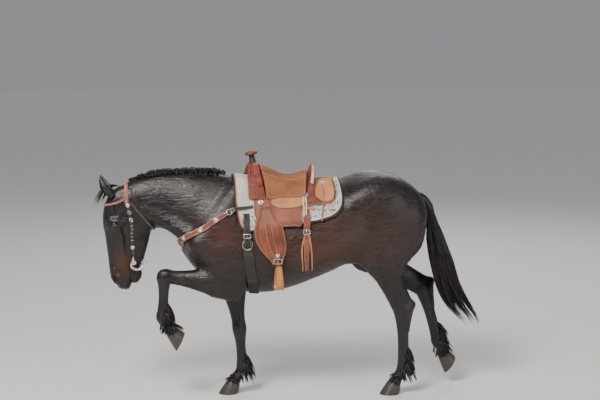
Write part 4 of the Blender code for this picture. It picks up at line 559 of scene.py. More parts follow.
EYE_RADIUS = 0.0205
LID = 0.0034


def head_axes(points):
    """How far down the face, out towards the face, and sideways each point lies."""
    local = points - np.array(CROWN)
    across = np.array((FACE_AXIS.z, 0, -FACE_AXIS.x))
    return local @ np.array(FACE_AXIS), local @ across, points[:, 1]


def skin_field(points):
    """The horse's field with its lids, nostrils and hollows, at the depth of the coat."""
    found = horse_field(points) + COAT_DEPTH
    near = points[:, 0] < -0.98
    found[near] = with_face(points[near], found[near])
    return found


def with_face(points, found):
    """Adds the folds of the face to the head's field."""
    mirrored = np.stack([points[:, 0], np.abs(points[:, 1]), points[:, 2]], axis=1)
    for form in HOLLOWS:
        found = carved(found, form.field(mirrored), form.blend)
    for form in FOLDS:
        found = blended(form.field(mirrored), found, form.blend)
    for form in OPENINGS:
        found = carved(found, form.field(mirrored), form.blend)
    return found


def fold(stations, blend=0.004):
    """A thin raised fold of skin through (down, out, side, radius)."""
    return Limb([(*face_point(u, v, y), r, r) for u, v, y, r in stations], blend=blend)


EYE_TILT = -14
eye_out = Vector((-0.25, 0.96, 0.04)).normalized()
HOLLOWS = (
    Bulge(face_point(0.176, 0.062, 0.108), (0.030, 0.018, 0.024), lean=-20, blend=0.020),
    Bulge(face_point(0.420, -0.036, 0.094), (0.060, 0.034, 0.085), lean=-8, blend=0.030),
    Bulge(face_point(0.560, 0.052, 0.076), (0.026, 0.020, 0.040), lean=-8, blend=0.020),
)
FOLDS = (
    Bulge(EYE, (EYE_RADIUS + LID,) * 3, blend=0.008),
    fold(((0.229, 0.086, 0.1045, 0.0028), (0.219, 0.070, 0.1120, 0.0034), (0.220, 0.052, 0.1120, 0.0030),
          (0.230, 0.038, 0.1050, 0.0024)), blend=0.006),
)
OPENINGS = (
    Bulge(EYE + eye_out * 0.0185, (0.0215, 0.0170, 0.0120), lean=EYE_TILT, blend=0.0022),
    Bulge(face_point(0.630, 0.078, 0.064), (0.0120, 0.0180, 0.0250), lean=-26, blend=0.004),
    Bulge(face_point(0.610, 0.086, 0.062), (0.0080, 0.0140, 0.0130), lean=-50, blend=0.004),
)


def skin_surface():
    """The whole skin as one closed surface, drawn down onto the field."""
    xs = grid_lines((-1.36, 0.0040), (-1.235, 0.0024), (-1.175, 0.0040), (-1.125, 0.0028), (-1.08, 0.0045),
                    (-0.98, 0.0085), (1.30,))
    ys = grid_lines((-0.39, 0.0085), (-0.125, 0.0036), (0.125, 0.0085), (0.39,))
    zs = grid_lines((0.0, 0.0080), (0.775, 0.0035), (0.90, 0.0060), (1.20, 0.0024), (1.275, 0.0065),
                    (1.52, 0.0085), (1.64,))
    points, faces = surface_of(grid_values(xs, ys, zs, skin_field), (xs, ys, zs))
    for _ in range(2):
        here = skin_field(points)
        slope = np.stack([skin_field(points + step) - here for step in 0.001 * np.eye(3)], axis=1) / 0.001
        size = np.maximum((slope**2).sum(axis=1), 0.25)
        move = slope * (here / size)[:, None] * 0.8
        points -= np.clip(move, -0.003, 0.003)
    return points, faces


def add_mouth(points):
    """Presses the line of the mouth into the lips."""
    u, v, _ = head_axes(points)
    line = MOUTH_OUT + 0.006 * np.sin((u - 0.53) * 24)
    press = np.exp(-((v - line) / 0.0032) ** 2) * np.clip((u - 0.528) / 0.012, 0, 1) * (points[:, 0] < -0.98)
    inward = np.stack([0 * u, -points[:, 1], 0 * u], axis=1)
    inward += np.array(face_point(0.60, MOUTH_OUT, 0) - Vector((0, 0, 0)))[None,
                                                                           :] - points * np.array((1, 0, 1))
    inward /= np.maximum(np.linalg.norm(inward, axis=1, keepdims=True), 1e-6)
    return points + inward * (0.006 * press)[:, None]


MOUTH_OUT = -0.030
SKIN_TRIANGLES = 188000
points, faces = skin_surface()
points = add_mouth(points)
skin = mesh_from("skin", points, faces)
thin = skin.modifiers.new("thin", "DECIMATE")
thin.ratio = min(SKIN_TRIANGLES / (2 * len(faces)), 1.0)
applied(skin)


def node(tree, kind, **settings):
    """A new shader node; each setting is a property, an input's value, or a socket to link."""
    made = tree.nodes.new("ShaderNode" + kind)
    for key, value in settings.items():
        name = key.replace("_", " ")
        if hasattr(made, key) and key not in ("inputs", "outputs"):
            setattr(made, key, value)
            continue
        socket = made.inputs[int(key[1:])] if key[1:].isdigit() else made.inputs[name]
        if isinstance(value, bpy.types.NodeSocket):
            tree.links.new(value, socket)
        else:
            socket.default_value = value
    return made


def mapped(tree, value, **ends):
    """A value carried from one range to another."""
    return node(tree, "MapRange", Value=value, **ends).outputs["Result"]


def noise(tree, place, **settings):
    """The value of a noise at a place."""
    return node(tree, "TexNoise", Vector=place, **settings).outputs["Fac"]


def bumped(tree, shader, height, strength, distance):
    """The shader's surface raised by a height."""
    normal = node(tree, "Bump", Strength=strength, Distance=distance, Height=height).outputs["Normal"]
    tree.links.new(normal, shader.inputs["Normal"])


def calc(tree, operation, *values):
    """The result of a maths node."""
    inputs = {f"i{k}": value for k, value in enumerate(values)}
    return node(tree, "Math", operation=operation, **inputs).outputs[0]


def new_material(name, roughness=0.5, metallic=0.0, **constants):
    """A material with a Principled shader, and its node tree and shader."""
    material = bpy.data.materials.new(name)
    material.use_nodes = True
    tree = material.node_tree
    shader = tree.nodes["Principled BSDF"]
    shader.inputs["Roughness"].default_value = roughness
    shader.inputs["Metallic"].default_value = metallic
    for key, value in constants.items():
        shader.inputs[key.replace("_", " ")].default_value = value
    return material, tree, shader


def ramp(tree, factor, *stops):
    """A colour ramp over (place, colour) stops; a single number is a grey."""
    made = node(tree, "ValToRGB", Fac=factor)
    band = made.color_ramp
    for k, (place, colour) in enumerate(stops):
        stop = band.elements[k] if k < 2 else band.elements.new(place)
        stop.position = place
        colour = (colour,) * 3 if isinstance(colour, (int, float)) else colour
        stop.color = (*colour, 1)
    return made.outputs["Color"]


def effect(name, inputs, outputs):
    """A shader node group: its tree, its input sockets by name, and its output node."""
    tree = bpy.data.node_groups.new(name, "ShaderNodeTree")
    for label, kind, value in inputs:
        made = tree.interface.new_socket(label, in_out="INPUT", socket_type="NodeSocket" + kind)
        if value is not None:
            made.default_value = value
    for label, kind in outputs:
        tree.interface.new_socket(label, in_out="OUTPUT", socket_type="NodeSocket" + kind)
    start = tree.nodes.new("NodeGroupInput")
    end = tree.nodes.new("NodeGroupOutput")
    return tree, start.outputs, end


def use(tree, group, **settings):
    """A node group placed in a material, with its own values."""
    made = tree.nodes.new("ShaderNodeGroup")
    made.node_tree = group
    for key, value in settings.items():
        socket = made.inputs[key.replace("_", " ")]
        if isinstance(value, bpy.types.NodeSocket):
            tree.links.new(value, socket)
        else:
            socket.default_value = value
    return made.outputs


# Wet hair lies in fine streaks that part into clumps; used by the coat and by the long hair
hair_streaks, start, end = effect(
    "hair_streaks", [("Stretch", "Vector", (1, 1, 1)), ("Clump", "Float", 1.0)], [("Height", "Float"),
                                                                                  ("Clumps", "Float")])
spot = node(hair_streaks, "TexCoord").outputs["Object"]
spot = node(hair_streaks, "VectorMath", operation="MULTIPLY", i0=spot, i1=start["Stretch"]).outputs[0]
fine = noise(hair_streaks, spot, Scale=9.0, Detail=5.0, Roughness=0.65, Distortion=0.3)
clumps = noise(hair_streaks, spot, Scale=1.6, Detail=3.0, Roughness=0.5, Distortion=1.2)
clumps = mapped(hair_streaks, clumps, i1=0.35, i2=0.65)
part = calc(hair_streaks, "MULTIPLY", clumps, start["Clump"])
whole = calc(hair_streaks, "ADD", fine, part)
hair_streaks.links.new(whole, end.inputs["Height"])
hair_streaks.links.new(clumps, end.inputs["Clumps"])


def wet_hair(name, body_stretch, leg_stretch, deep, painted_clump_highlight, painted_sheen_colour, strength):
    """Short or long wet hair, its streaks along the body on the trunk and down the legs and face."""
    material, tree, shader = new_material(name, 0.34)
    shader.inputs["Specular IOR Level"].default_value = 0.42
    along = use(tree, hair_streaks, Stretch=body_stretch, Clump=0.9)
    down = use(tree, hair_streaks, Stretch=leg_stretch, Clump=0.7)
    upright = node(tree, "Attribute", attribute_name="upright").outputs["Fac"]
    height = node(tree, "Mix", Factor=upright, i2=along["Height"], i3=down["Height"]).outputs[0]
    clump = node(tree, "Mix", Factor=upright, i2=along["Clumps"], i3=down["Clumps"]).outputs[0]
    spot = node(tree, "TexCoord").outputs["Object"]
    patches = noise(tree, spot, Scale=3.2, Detail=3.0, Roughness=0.6)
    # Red-brown sheen painted into the coat colour, broken into patches.
    painted_sheen = node(tree, "Attribute", attribute_name="painted_sheen").outputs["Fac"]
    painted_sheen = calc(tree, "MULTIPLY", painted_sheen, patches)
    # The colour is painted lighter on the raised clumps: a painted highlight over the coat's own black in the
    # partings.
    shade = ramp(tree, clump, (0.0, deep), (1.0, painted_clump_highlight))
    shade = node(tree, "Mix", data_type="RGBA", Factor=painted_sheen, i6=shade, i7=(*painted_sheen_colour, 1)).outputs[2]
    tree.links.new(shade, shader.inputs["Base Color"])
    rough = mapped(tree, clump, i3=0.27, i4=0.44)
    tree.links.new(rough, shader.inputs["Roughness"])
    bump = node(tree, "Bump", Strength=strength, Distance=0.004, Height=height)
    tree.links.new(bump.outputs["Normal"], shader.inputs["Normal"])
    return material


def point_value(obj, name, values):
    """Stores one number for each point of a mesh, for its material to read."""
    layer = obj.data.attributes.new(name, "FLOAT", "POINT")
    layer.data.foreach_set("value", np.asarray(values, np.float32))


def mesh_points(obj):
    """The points of a mesh as an array."""
    flat = np.empty(3 * len(obj.data.vertices), np.float32)
    obj.data.vertices.foreach_get("co", flat)
    return flat.reshape(-1, 3).astype(float)


def ramped(values, low, high):
    """A smooth step from 0 at low to 1 at high."""
    t = np.clip((values - low) / (high - low), 0, 1)
    return t * t * (3 - 2 * t)


def painted_sheen_of(points):
    """Where a red-brown sheen is painted over the black coat: barrel, shoulder, haunch and the sides of the
    muzzle.
    """
    x, _, z = points.T
    barrel = np.exp(-((x - 0.25) / 0.5) ** 2 - ((z - 1.12) / 0.22) ** 2) * 0.9
    shoulder = np.exp(-((x + 0.50) / 0.16) ** 2 - ((z - 1.20) / 0.18) ** 2) * 0.7
    muzzle = np.exp(-((x + 1.16) / 0.06) ** 2 - ((z - 0.97) / 0.09) ** 2)
    return np.clip(barrel + shoulder + muzzle, 0, 1) * ramped(z, 0.75, 0.95)


# The coat's second colour is a painted highlight on the raised clumps, its third a painted red-brown sheen.
coat = wet_hair("wet_coat", (7, 26, 26), (26, 26, 6), (0.006, 0.005, 0.005), (0.020, 0.014, 0.013),
                (0.085, 0.026, 0.012), 0.38)
spots = mesh_points(skin)
point_value(skin, "upright", np.maximum(ramped(-spots[:, 2], -0.86, -0.70), ramped(-spots[:, 0], 0.98, 1.10)))
point_value(skin, "painted_sheen", painted_sheen_of(spots))
skin.data.materials.append(coat)
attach(skin, "root")
FLESH = ["torso", "neck", "head", "tail"] + [leg + part for leg in LEGS for part in ("_upper", "_cannon",
                                                                                     "_pastern")]
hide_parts(*FLESH)

# Mane, forelock, tail and the feathers of the fetlocks.
# The real hair is long, black and soaked, so it hangs in narrow pointed clumps; each clump here is a
# guide laid on the skin, with many tapered strands that draw together towards its tip.


def fallen(roots, headings, lengths, lift, steps, weight=0.35, sink=0.012, field=horse_field):
    """Paths of hair that start in the skin, fall under their weight, and lie on the skin."""
    place = np.array(roots, float)
    heading = np.array(headings, float)
    heading /= np.linalg.norm(heading, axis=1, keepdims=True)
    step = np.array(lengths, float)[:, None] / steps
    paths = [place - heading * sink]
    outs = []
    for _ in range(steps):
        place = place + heading * step
        for _ in range(2):
            here = field(place)
            slope = np.stack([field(place + axis) - here for axis in 0.003 * np.eye(3)], axis=1)
            slope /= np.maximum(np.linalg.norm(slope, axis=1, keepdims=True), 1e-6)
            place = place + slope * np.maximum(lift - here, 0)[:, None]
        outs.append(slope)
        moved = place - paths[-1]
        heading = moved / np.linalg.norm(moved, axis=1, keepdims=True) + np.array((0, 0, -weight))
        heading /= np.linalg.norm(heading, axis=1, keepdims=True)
        paths.append(place)
    return np.stack(paths, axis=1), np.stack([outs[0]] + outs, axis=1)


def unwrapped(points):
    """A place on a flat unwrap of the skin: its left half beside its right half."""
    u = 0.02 + 0.46 * (points[:, 0] + 1.45) / 2.9
    return np.stack([u + 0.5 * (points[:, 1] > 0), 0.02 + 0.96 * points[:, 2] / 1.8], axis=1)


def strand_mesh(name, paths, outs, widths, thick, material):
    """Tapered three-sided strands along many paths, as one mesh, each with its patch of the unwrap."""
    count, steps = paths.shape[:2]
    along = np.gradient(paths, axis=1)
    along /= np.maximum(np.linalg.norm(along, axis=2, keepdims=True), 1e-9)
    outs = outs - along * (outs * along).sum(axis=2, keepdims=True)
    outs /= np.maximum(np.linalg.norm(outs, axis=2, keepdims=True), 1e-9)
    across = np.cross(along, outs) * widths[:, :, None] / 2
    deep = outs * thick * (0.25 + 0.75 * widths / widths.max(axis=1, keepdims=True))[:, :, None]
    body = paths[:, :-1]
    rings = np.stack([body - across[:, :-1] - 0.4 * deep[:, :-1], body + 0.6 * deep[:, :-1],
                      body + across[:, :-1] - 0.4 * deep[:, :-1]], axis=2)
    points = np.concatenate([rings.reshape(count, -1, 3), paths[:, -1:]], axis=1)
    each = points.shape[1]
    faces = [(2, 1, 0)]
    for k in range(steps - 2):
        for i in range(3):
            j = (i + 1) % 3
            a, b = 3 * k + i, 3 * k + j
            faces += [(a, b, b + 3), (a, b + 3, a + 3)]
    faces += [(each - 4 + i, each - 4 + (i + 1) % 3, each - 1) for i in range(3)]
    faces = np.array(faces)[None] + each * np.arange(count)[:, None, None]
    obj = mesh_from(name, points.reshape(-1, 3), faces.reshape(-1, 3))
    patch = unwrapped(paths[:, 0])
    shift = np.tile([[0, 0], [0.0015, 0], [0.003, 0]], (each // 3, 1))
    shift[:, 1] += np.repeat(np.linspace(0, 0.003, each // 3), 3)
    shift = np.vstack([shift, [[0.0015, 0.003]]])
    spots = (patch[:, None] + shift[None]).reshape(-1, 2)
    layer = obj.data.uv_layers.new(name="OFBake")
    corners = np.empty(len(obj.data.loops), np.int32)
    obj.data.loops.foreach_get("vertex_index", corners)
    layer.data.foreach_set("uv", spots[corners].astype(np.float32).ravel())
    obj.data.materials.append(material)
    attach(obj, "root")
    return obj


def clumped(guides, outs, spreads, count, draw, seed, wave=0.004):
    """Strands round each guide: spread out at its root, drawn together at its tip, of mixed lengths."""
    rng = np.random.default_rng(seed)
    total, steps = guides.shape[:2]
    share = np.linspace(0, 1, steps)
    reach = rng.uniform(0.72, 1.0, (total, count, 1)) * share
    index = reach * (steps - 1)
    low = np.clip(index.astype(int), 0, steps - 2)
    part = (index - low)[..., None]
    rows = np.arange(total)[:, None, None]
    middle = guides[rows, low] * (1 - part) + guides[rows, low + 1] * part
    out = outs[rows, low] * (1 - part) + outs[rows, low + 1] * part
    along = np.gradient(middle, axis=2)
    along /= np.maximum(np.linalg.norm(along, axis=3, keepdims=True), 1e-9)
    side = np.cross(along, out)
    spreads = np.broadcast_to(spreads, (total,))[:, None, None]
    close = 1 - draw * share[None, None] ** 1.3
    offset = rng.uniform(-1, 1, (total, count, 1)) * spreads * close
    ripple = wave * np.sin(share[None, None] * rng.uniform(4, 10, (total, count, 1)) + rng.uniform(0, 6.3,
                                                                                                   (total,
                                                                                                    count, 1)))
    raised = rng.uniform(0, 1, (total, count, 1)) * spreads * 0.35 * np.sin(np.pi * np.clip(share, 0.04,
                                                                                            1)) ** 0.5
    paths = middle + side * (offset + ripple * share)[..., None] + out * raised[..., None]
    return paths.reshape(-1, steps, 3), out.reshape(-1, steps, 3)


def taper(count, steps, wide, seed, root=0.6):
    """Widths along many strands, widest a third of the way down."""
    rng = np.random.default_rng(seed)
    share = np.linspace(0, 1, steps)
    shape = np.interp(share, (0, 0.3, 0.7, 1), (root, 1, 0.8, 0.0))
    return rng.uniform(0.6, 1.3, (count, 1)) * wide * shape[None]


# The long hair's second colour is its painted highlight on the raised clumps.
long_hair = wet_hair("long_hair", (30, 30, 8), (30, 30, 8), (0.004, 0.003, 0.003), (0.016, 0.011, 0.010),
                     (0.03, 0.012, 0.008), 0.25)


def mane():
    """The mane on the right of the crest, with a short fringe on the left and a tuft at the withers."""
    rng = np.random.default_rng(7)
    xs = np.linspace(-1.105, -0.455, 84) + rng.uniform(-0.006, 0.006, 84)
    tops = skin_hits([(x, 0, 1.35) for x in xs], [(0, 0, 1)] * len(xs), 0.0, 0.35)
    lengths = rng.uniform(0.20, 0.36, len(xs)) * np.interp(xs, (-1.1, -1.0, -0.5, -0.45), (0.6, 1, 1, 0.7))
    headings = np.stack([rng.uniform(-0.05, 0.30, len(xs)), 0 * xs + 0.8, 0 * xs + 0.75], axis=1)
    paths, outs = fallen(tops + rng.uniform(-0.004, 0.012, (len(xs), 1)) * (0, 1, 0), headings, lengths, 0.007,
                         13, 0.40)
    sway = rng.uniform(-0.03, 0.04, len(xs))[:, None] * np.linspace(0, 1, 14) ** 2
    paths[:, :, 0] += sway
    right = clumped(paths, outs, 0.016, 13, 0.80, 1)
    xs = np.linspace(-1.06, -0.50, 40) + rng.uniform(-0.008, 0.008, 40)
    tops = skin_hits([(x, 0, 1.35) for x in xs], [(0, 0, 1)] * len(xs), 0.0, 0.35)
    near = np.exp(-((xs + 0.62) / 0.10) ** 2)
    lengths = rng.uniform(0.035, 0.075, len(xs)) + 0.06 * near
    headings = np.stack([rng.uniform(0.2, 0.7, len(xs)), 0 * xs - 0.55, 0.45 + 0.5 * rng.random(len(xs))],
                        axis=1)
    paths, outs = fallen(tops - (0, 0.002, 0), headings, lengths, 0.004, 13, 0.16)
    left = clumped(paths, outs, 0.009, 9, 0.75, 2, 0.002)
    paths, outs = (np.concatenate(pair) for pair in zip(right, left))
    return strand_mesh("mane", paths, outs, taper(len(paths), 14, 0.0052, 3), 0.0026, long_hair)


def forelock():
    """The forelock, which falls forward between the ears and hangs over the forehead."""
    rng = np.random.default_rng(4)
    sides = rng.uniform(-0.012, 0.012, 20)
    ways = [(-0.80, y * 6, 0.60) for y in sides]
    roots = skin_hits([face_point(0.020, -0.02, 0)] * len(sides), ways, 0.0, 0.2)
    headings = [(-0.9, y * 22, rng.uniform(0.15, 0.45)) for y in sides]
    paths, outs = fallen(roots, headings, rng.uniform(0.13, 0.27, len(sides)), 0.007, 11, 0.26)
    paths, outs = clumped(paths, outs, 0.009, 11, 0.7, 5)
    return strand_mesh("forelock", paths, outs, taper(len(paths), 12, 0.0042, 6), 0.0022, long_hair)


TAIL_OUTER = ((0.985, 1.385), (1.024, 1.327), (1.055, 1.219), (1.100, 1.128), (1.138, 1.032), (1.186, 0.912),
              (1.226, 0.785), (1.287, 0.671), (1.342, 0.580), (1.385, 0.500), (1.392, 0.410))
TAIL_INNER = ((0.992, 1.330), (0.996, 1.240), (0.990, 1.160), (0.999, 1.070), (1.012, 0.960), (1.035, 0.850),
              (1.069, 0.735), (1.115, 0.640), (1.180, 0.560), (1.255, 0.490), (1.320, 0.430))


def tail():
    """The tail's hair, from the sides and top of the dock to its thin wet ends."""
    rng = np.random.default_rng(11)
    knots = np.linspace(0, 1, len(TAIL_OUTER))
    guides = []
    for k in range(96):
        across = rng.uniform(0.04, 0.96)
        side = rng.choice((-1, 1)) * rng.uniform(0.10, 1.0)
        start = rng.uniform(0.015, 0.22)
        shares = np.linspace(start, rng.uniform(0.60, 0.985), 18)
        wave = rng.uniform(-0.025, 0.025)
        opening = np.clip((shares - start) / 0.10, 0, 1)
        place = 0.60 * (1 - opening) + (across + wave * 2 * np.sin(6 * shares + k)) * opening
        place = np.clip(place, 0.02, 0.97)[:, None]
        outer, inner = smooth_through(knots, TAIL_OUTER, shares), smooth_through(knots, TAIL_INNER, shares)
        xz = inner * (1 - place) + outer * place
        width = np.interp(shares, (0, 0.15, 0.5, 0.8, 1), (0.020, 0.032, 0.044, 0.036, 0.014))
        y = side * width + wave * np.sin(9 * shares + 2 * k) * shares
        guides.append(np.stack([xz[:, 0], y, xz[:, 1]], axis=1))
    guides = np.array(guides)
    outs = np.zeros_like(guides)
    outs[:, :, 1] = np.sign(guides[:, :, 1])
    paths, outs = clumped(guides, outs, 0.011, 15, 0.55, 12, 0.006)
    return strand_mesh("tail_hair", paths, outs, taper(len(paths), 18, 0.0050, 13), 0.0026, long_hair)


def hoof_axes(joints):
    """Where a hoof's sole is, the way its toe points, and the normal of its sole."""
    fetlock, coffin = Vector(joints["fetlock"]), Vector(joints["coffin"])
    pastern = (coffin - fetlock).normalized()
    turn = Matrix.Rotation(math.radians(58), 3, "Y")
    toe = (turn @ Vector((pastern.x, 0, pastern.z))).normalized()
    if coffin.z < 0.1:
        toe = Vector((-1, 0, 0))
    up = Vector((toe.z, 0, -toe.x))
    up = up if up.dot(fetlock - coffin) > 0 else -up
    return coffin + toe * 0.028 - up * 0.078, toe, up


def feathers(label, joints, seed):
    """The feather of one leg, from the back of the cannon and fetlock down over the heels and coronet."""
    rng = np.random.default_rng(seed)
    fetlock, coffin = Vector(joints["fetlock"]), Vector(joints["coffin"])
    middle = Vector(joints["knee" if "knee" in joints else "hock"])
    sole, toe, _ = hoof_axes(joints)
    hoof_form = Limb(((*coffin, 0.058, 0.055), (*sole, 0.084, 0.072)), blend=0.01)
    down = (fetlock - middle).normalized()
    back = Vector((-down.z, 0, down.x))
    back = back if back.dot(toe) < 0 else -back

    def field(points):
        found = horse_field(points)
        near = np.all((points > hoof_form.low) & (points < hoof_form.high), axis=1)
        found[near] = np.minimum(found[near], hoof_form.field(points[near]))
        return found

    starts, ways, headings, lengths = [], [], [], []
    for _ in range(92):
        share = rng.uniform(0.0, 1.0)
        spread = 40 + 130 * share
        angle = rng.uniform(-spread, spread)
        a = math.radians(angle)
        way = back * math.cos(a) + Vector((0, 1, 0)) * math.sin(a)
        low = max(share - 0.55, 0) / 0.45
        starts.append(middle.lerp(fetlock, 0.66 + 0.34 * min(share / 0.55, 1)).lerp(coffin, 0.72 * low))
        ways.append(way)
        headings.append(way * rng.uniform(0.35, 0.7) + down * 0.8)
        lengths.append((0.125 - 0.060 * low) * rng.uniform(0.7, 1.15) * (1 - 0.35 * abs(angle) / 170))
    roots = skin_hits(starts, ways, 0.0, 0.12)
    paths, outs = fallen(roots, headings, lengths, 0.005, 8, 0.13, 0.008, field)
    paths, outs = clumped(paths, outs, 0.009, 12, 0.72, seed + 50, 0.003)
    paths[:, :, 2] = np.maximum(paths[:, :, 2], 0.004)
    return strand_mesh("feather_" + label, paths, outs, taper(len(paths), 9, 0.0042, seed), 0.0022, long_hair)


mane()
forelock()
tail()
for place, (label, joints) in enumerate(LEGS.items()):
    feathers(label, joints, 20 + place)

# Short coat
# Wet tips of the short coat, which break the form along the jaw, throat, belly, elbows and thighs and
# lie flat elsewhere; each is a small tapered tuft that follows the lie of the coat.


def coat_tufts():
    """Tufts over the skin, most of them below and behind, where the coat is longest."""
    rng = np.random.default_rng(83)
    normals = np.empty(3 * len(skin.data.vertices), np.float32)
    skin.data.vertices.foreach_get("normal", normals)
    normals = normals.reshape(-1, 3).astype(float)
    x, _, z = spots.T
    under = (normals[:, 2] < -0.30) & (z > 0.70)
    behind = (normals[:, 0] > 0.70) & (z > 0.20) & (z < 1.35)
    chance = 0.10 + 1.0 * under + 0.55 * behind
    chance *= (x > -1.10) | (normals[:, 0] > 0.2) | (z > 1.30)
    chosen = rng.choice(len(spots), 8500, replace=False, p=chance / chance.sum())
    roots, outs = spots[chosen], normals[chosen]
    upright = np.maximum(ramped(-roots[:, 2], -0.86, -0.70), ramped(-roots[:, 0], 0.98, 1.10))[:, None]
    lie = np.array((0.85, 0, -0.5)) * (1 - upright) + np.array((0.1, 0, -1.0)) * upright
    lie = lie + rng.normal(0, 0.18, lie.shape)
    lie -= outs * (lie * outs).sum(axis=1, keepdims=True)
    lie /= np.linalg.norm(lie, axis=1, keepdims=True)
    lengths = (0.008 + 0.008 * under + 0.006 * behind)[chosen] * rng.uniform(0.7, 1.3, len(chosen))
    steps = np.linspace(0, 1, 5)[None, :, None]
    rise = outs[:, None] * (0.20 * np.sin(steps * 2.2) - 0.10)
    paths = roots[:, None] + (lie[:, None] * steps + rise) * lengths[:, None, None]
    shape = np.array((0.7, 1.0, 0.8, 0.5, 0.0)) * 0.0017
    widths = rng.uniform(0.7, 1.4, (len(chosen), 1)) * shape[None]
    strand_mesh("coat_tufts", paths, np.repeat(outs[:, None], 5, axis=1), widths, 0.0008, long_hair)


coat_tufts()

# Eyes
# Large dark brown eyes with a broad level pupil and a wet cornea, and lashes along the upper lid.
# Each eye is a turned ball that sits in the opening of the lids.


def turned(place, axis, profile, sides=32, lobes=0, depth=0.0):
    """A turned shape from (height, radius) along an axis; lobes scallop its rim by a depth."""
    axis = np.array(Vector(axis).normalized())
    first = np.cross(axis, (0.0, 0.0, 1.0) if abs(axis[2]) < 0.9 else (1.0, 0.0, 0.0))
    first /= np.linalg.norm(first)
    second = np.cross(axis, first)
    turns = np.linspace(0, 2 * math.pi, sides, endpoint=False)
    points = [
        np.array(place) + axis * height
        + (first * math.cos(a) + second * math.sin(a)) * radius * (1 + depth * math.cos(lobes * a))
        for height, radius in profile for a in turns
    ]
    flats = [(a * radius, height, 0.02) for height, radius in profile for a in turns]
    last = len(points) - sides
    faces = [tuple(range(sides))[::-1], tuple(range(last, last + sides))]
    for k in range(len(profile) - 1):
        for i in range(sides):
            j = (i + 1) % sides
            faces.append((k * sides + i, k * sides + j, (k + 1) * sides + j, (k + 1) * sides + i))
    return np.array(points), faces, np.array(flats)


def rod(path, radius, sides=8, flat=1.0, closed=False, side=(0, 1, 0)):
    """A rod along a path, round or flattened towards one side; closed makes a ring of it."""
    path = np.asarray(path, float)
    count = len(path)
    radius = np.broadcast_to(radius, count)
    along = np.roll(path, -1, axis=0) - np.roll(path, 1, axis=0)
    if not closed:
        along[0], along[-1] = path[1] - path[0], path[-1] - path[-2]
    along /= np.linalg.norm(along, axis=1, keepdims=True)
    first = np.broadcast_to(np.asarray(side, float), path.shape)
    first = first - along * (first * along).sum(axis=1, keepdims=True)
    first /= np.maximum(np.linalg.norm(first, axis=1, keepdims=True), 1e-6)
    second = np.cross(along, first)
    turns = np.linspace(0, 2 * math.pi, sides, endpoint=False)
    rings = (path[:, None] + radius[:, None, None] * (first[:, None] * flat * np.cos(turns)[None, :, None]
             + second[:, None] * np.sin(turns)[None, :, None]))
    run = np.cumsum(np.linalg.norm(np.diff(path, axis=0, prepend=path[:1]), axis=1))
    flats = np.stack(np.broadcast_arrays(run[:, None], turns[None] * radius[:, None], 0.02), axis=2)
    faces = [] if closed else [tuple(range(sides))[::-1], tuple(range((count - 1) * sides, count * sides))]
    for k in range(count if closed else count - 1):
        for i in range(sides):
            j, n = (i + 1) % sides, (k + 1) % count
            faces.append((k * sides + i, k * sides + j, n * sides + j, n * sides + i))
    return rings.reshape(-1, 3), faces, flats.reshape(-1, 3)


def sheet_between(low, high, wrap=False):
    """A closed sheet between two grids of points; wrap joins its last row to its first."""
    low, high = np.asarray(low, float), np.asarray(high, float)
    rows, columns = low.shape[:2]
    index = np.arange(2 * rows * columns).reshape(2, rows, columns)
    faces = []
    for i in range(rows if wrap else rows - 1):
        k = (i + 1) % rows
        for j in range(columns - 1):
            a, b, c, d = index[:, i, j], index[:, i, j + 1], index[:, k, j + 1], index[:, k, j]
            faces += [(a[0], b[0], c[0], d[0]), (a[1], d[1], c[1], b[1])]
        for j, turn in ((0, 1), (columns - 1, -1)):
            faces.append((index[0, i, j], index[0, k, j], index[1, k, j], index[1, i, j])[::turn])
    for i, turn in () if wrap else ((0, -1), (rows - 1, 1)):
        for j in range(columns - 1):
            faces.append((index[0, i, j], index[0, i, j + 1], index[1, i, j + 1], index[1, i, j])[::turn])
    along = np.cumsum(np.linalg.norm(np.diff(high, axis=0, prepend=high[:1]), axis=2), axis=0)
    across = np.cumsum(np.linalg.norm(np.diff(high, axis=1, prepend=high[:, :1]), axis=2), axis=1)
    edge = np.minimum(across, across[:, -1:] - across)
    if not wrap:
        edge = np.minimum(edge, np.minimum(along, along[-1:] - along))
    flats = np.stack([along - along[-1:] / 2, across - across[:, -1:] / 2, edge], axis=2).reshape(-1, 3)
    return np.concatenate([low.reshape(-1, 3), high.reshape(-1, 3)]), faces, np.concatenate([flats, flats])


def outward(points, faces):
    """The faces turned so that they all point out of the closed shape."""
    volume = 0.0
    for face in faces:
        a = points[face[0]]
        for j in range(1, len(face) - 1):
            volume += np.dot(a, np.cross(points[face[j]], points[face[j + 1]]))
    return faces if volume > 0 else [face[::-1] for face in faces]


def piece(name, shapes, material, slot, *replaced, rounded=0.0, sharp=42):
    """One object from many small shapes, with rounded edges, that rides on the horse."""
    points, faces, flats, total = [], [], [], 0
    for spots, corners, marks in shapes:
        middle = spots.mean(axis=0)
        faces += [tuple(int(i) + total for i in face) for face in outward(spots - middle, corners)]
        points.append(spots)
        flats.append(marks)
        total += len(spots)
    mesh = bpy.data.meshes.new(name)
    mesh.from_pydata(np.concatenate(points).tolist(), [], faces)
    mesh.update()
    obj = bpy.data.objects.new(name, mesh)
    bpy.context.scene.collection.objects.link(obj)
    layer = mesh.attributes.new("flat", "FLOAT_VECTOR", "POINT")
    layer.data.foreach_set("vector", np.concatenate(flats).astype(np.float32).ravel())
    mesh.materials.append(material)
    if rounded:
        bevel = obj.modifiers.new("rounded", "BEVEL")
        bevel.width = rounded
        bevel.segments = 2
        bevel.angle_limit = math.radians(50)
        applied(obj)
    obj.data.shade_smooth()
    obj.data.set_sharp_from_angle(angle=math.radians(sharp))
    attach(obj, "root")
    if replaced:
        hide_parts(*replaced)
    return obj


def mirrored(vector, side):
    """A place or direction given for the horse's right, moved to its left where side is -1."""
    return np.array((vector[0], side * vector[1], vector[2]))


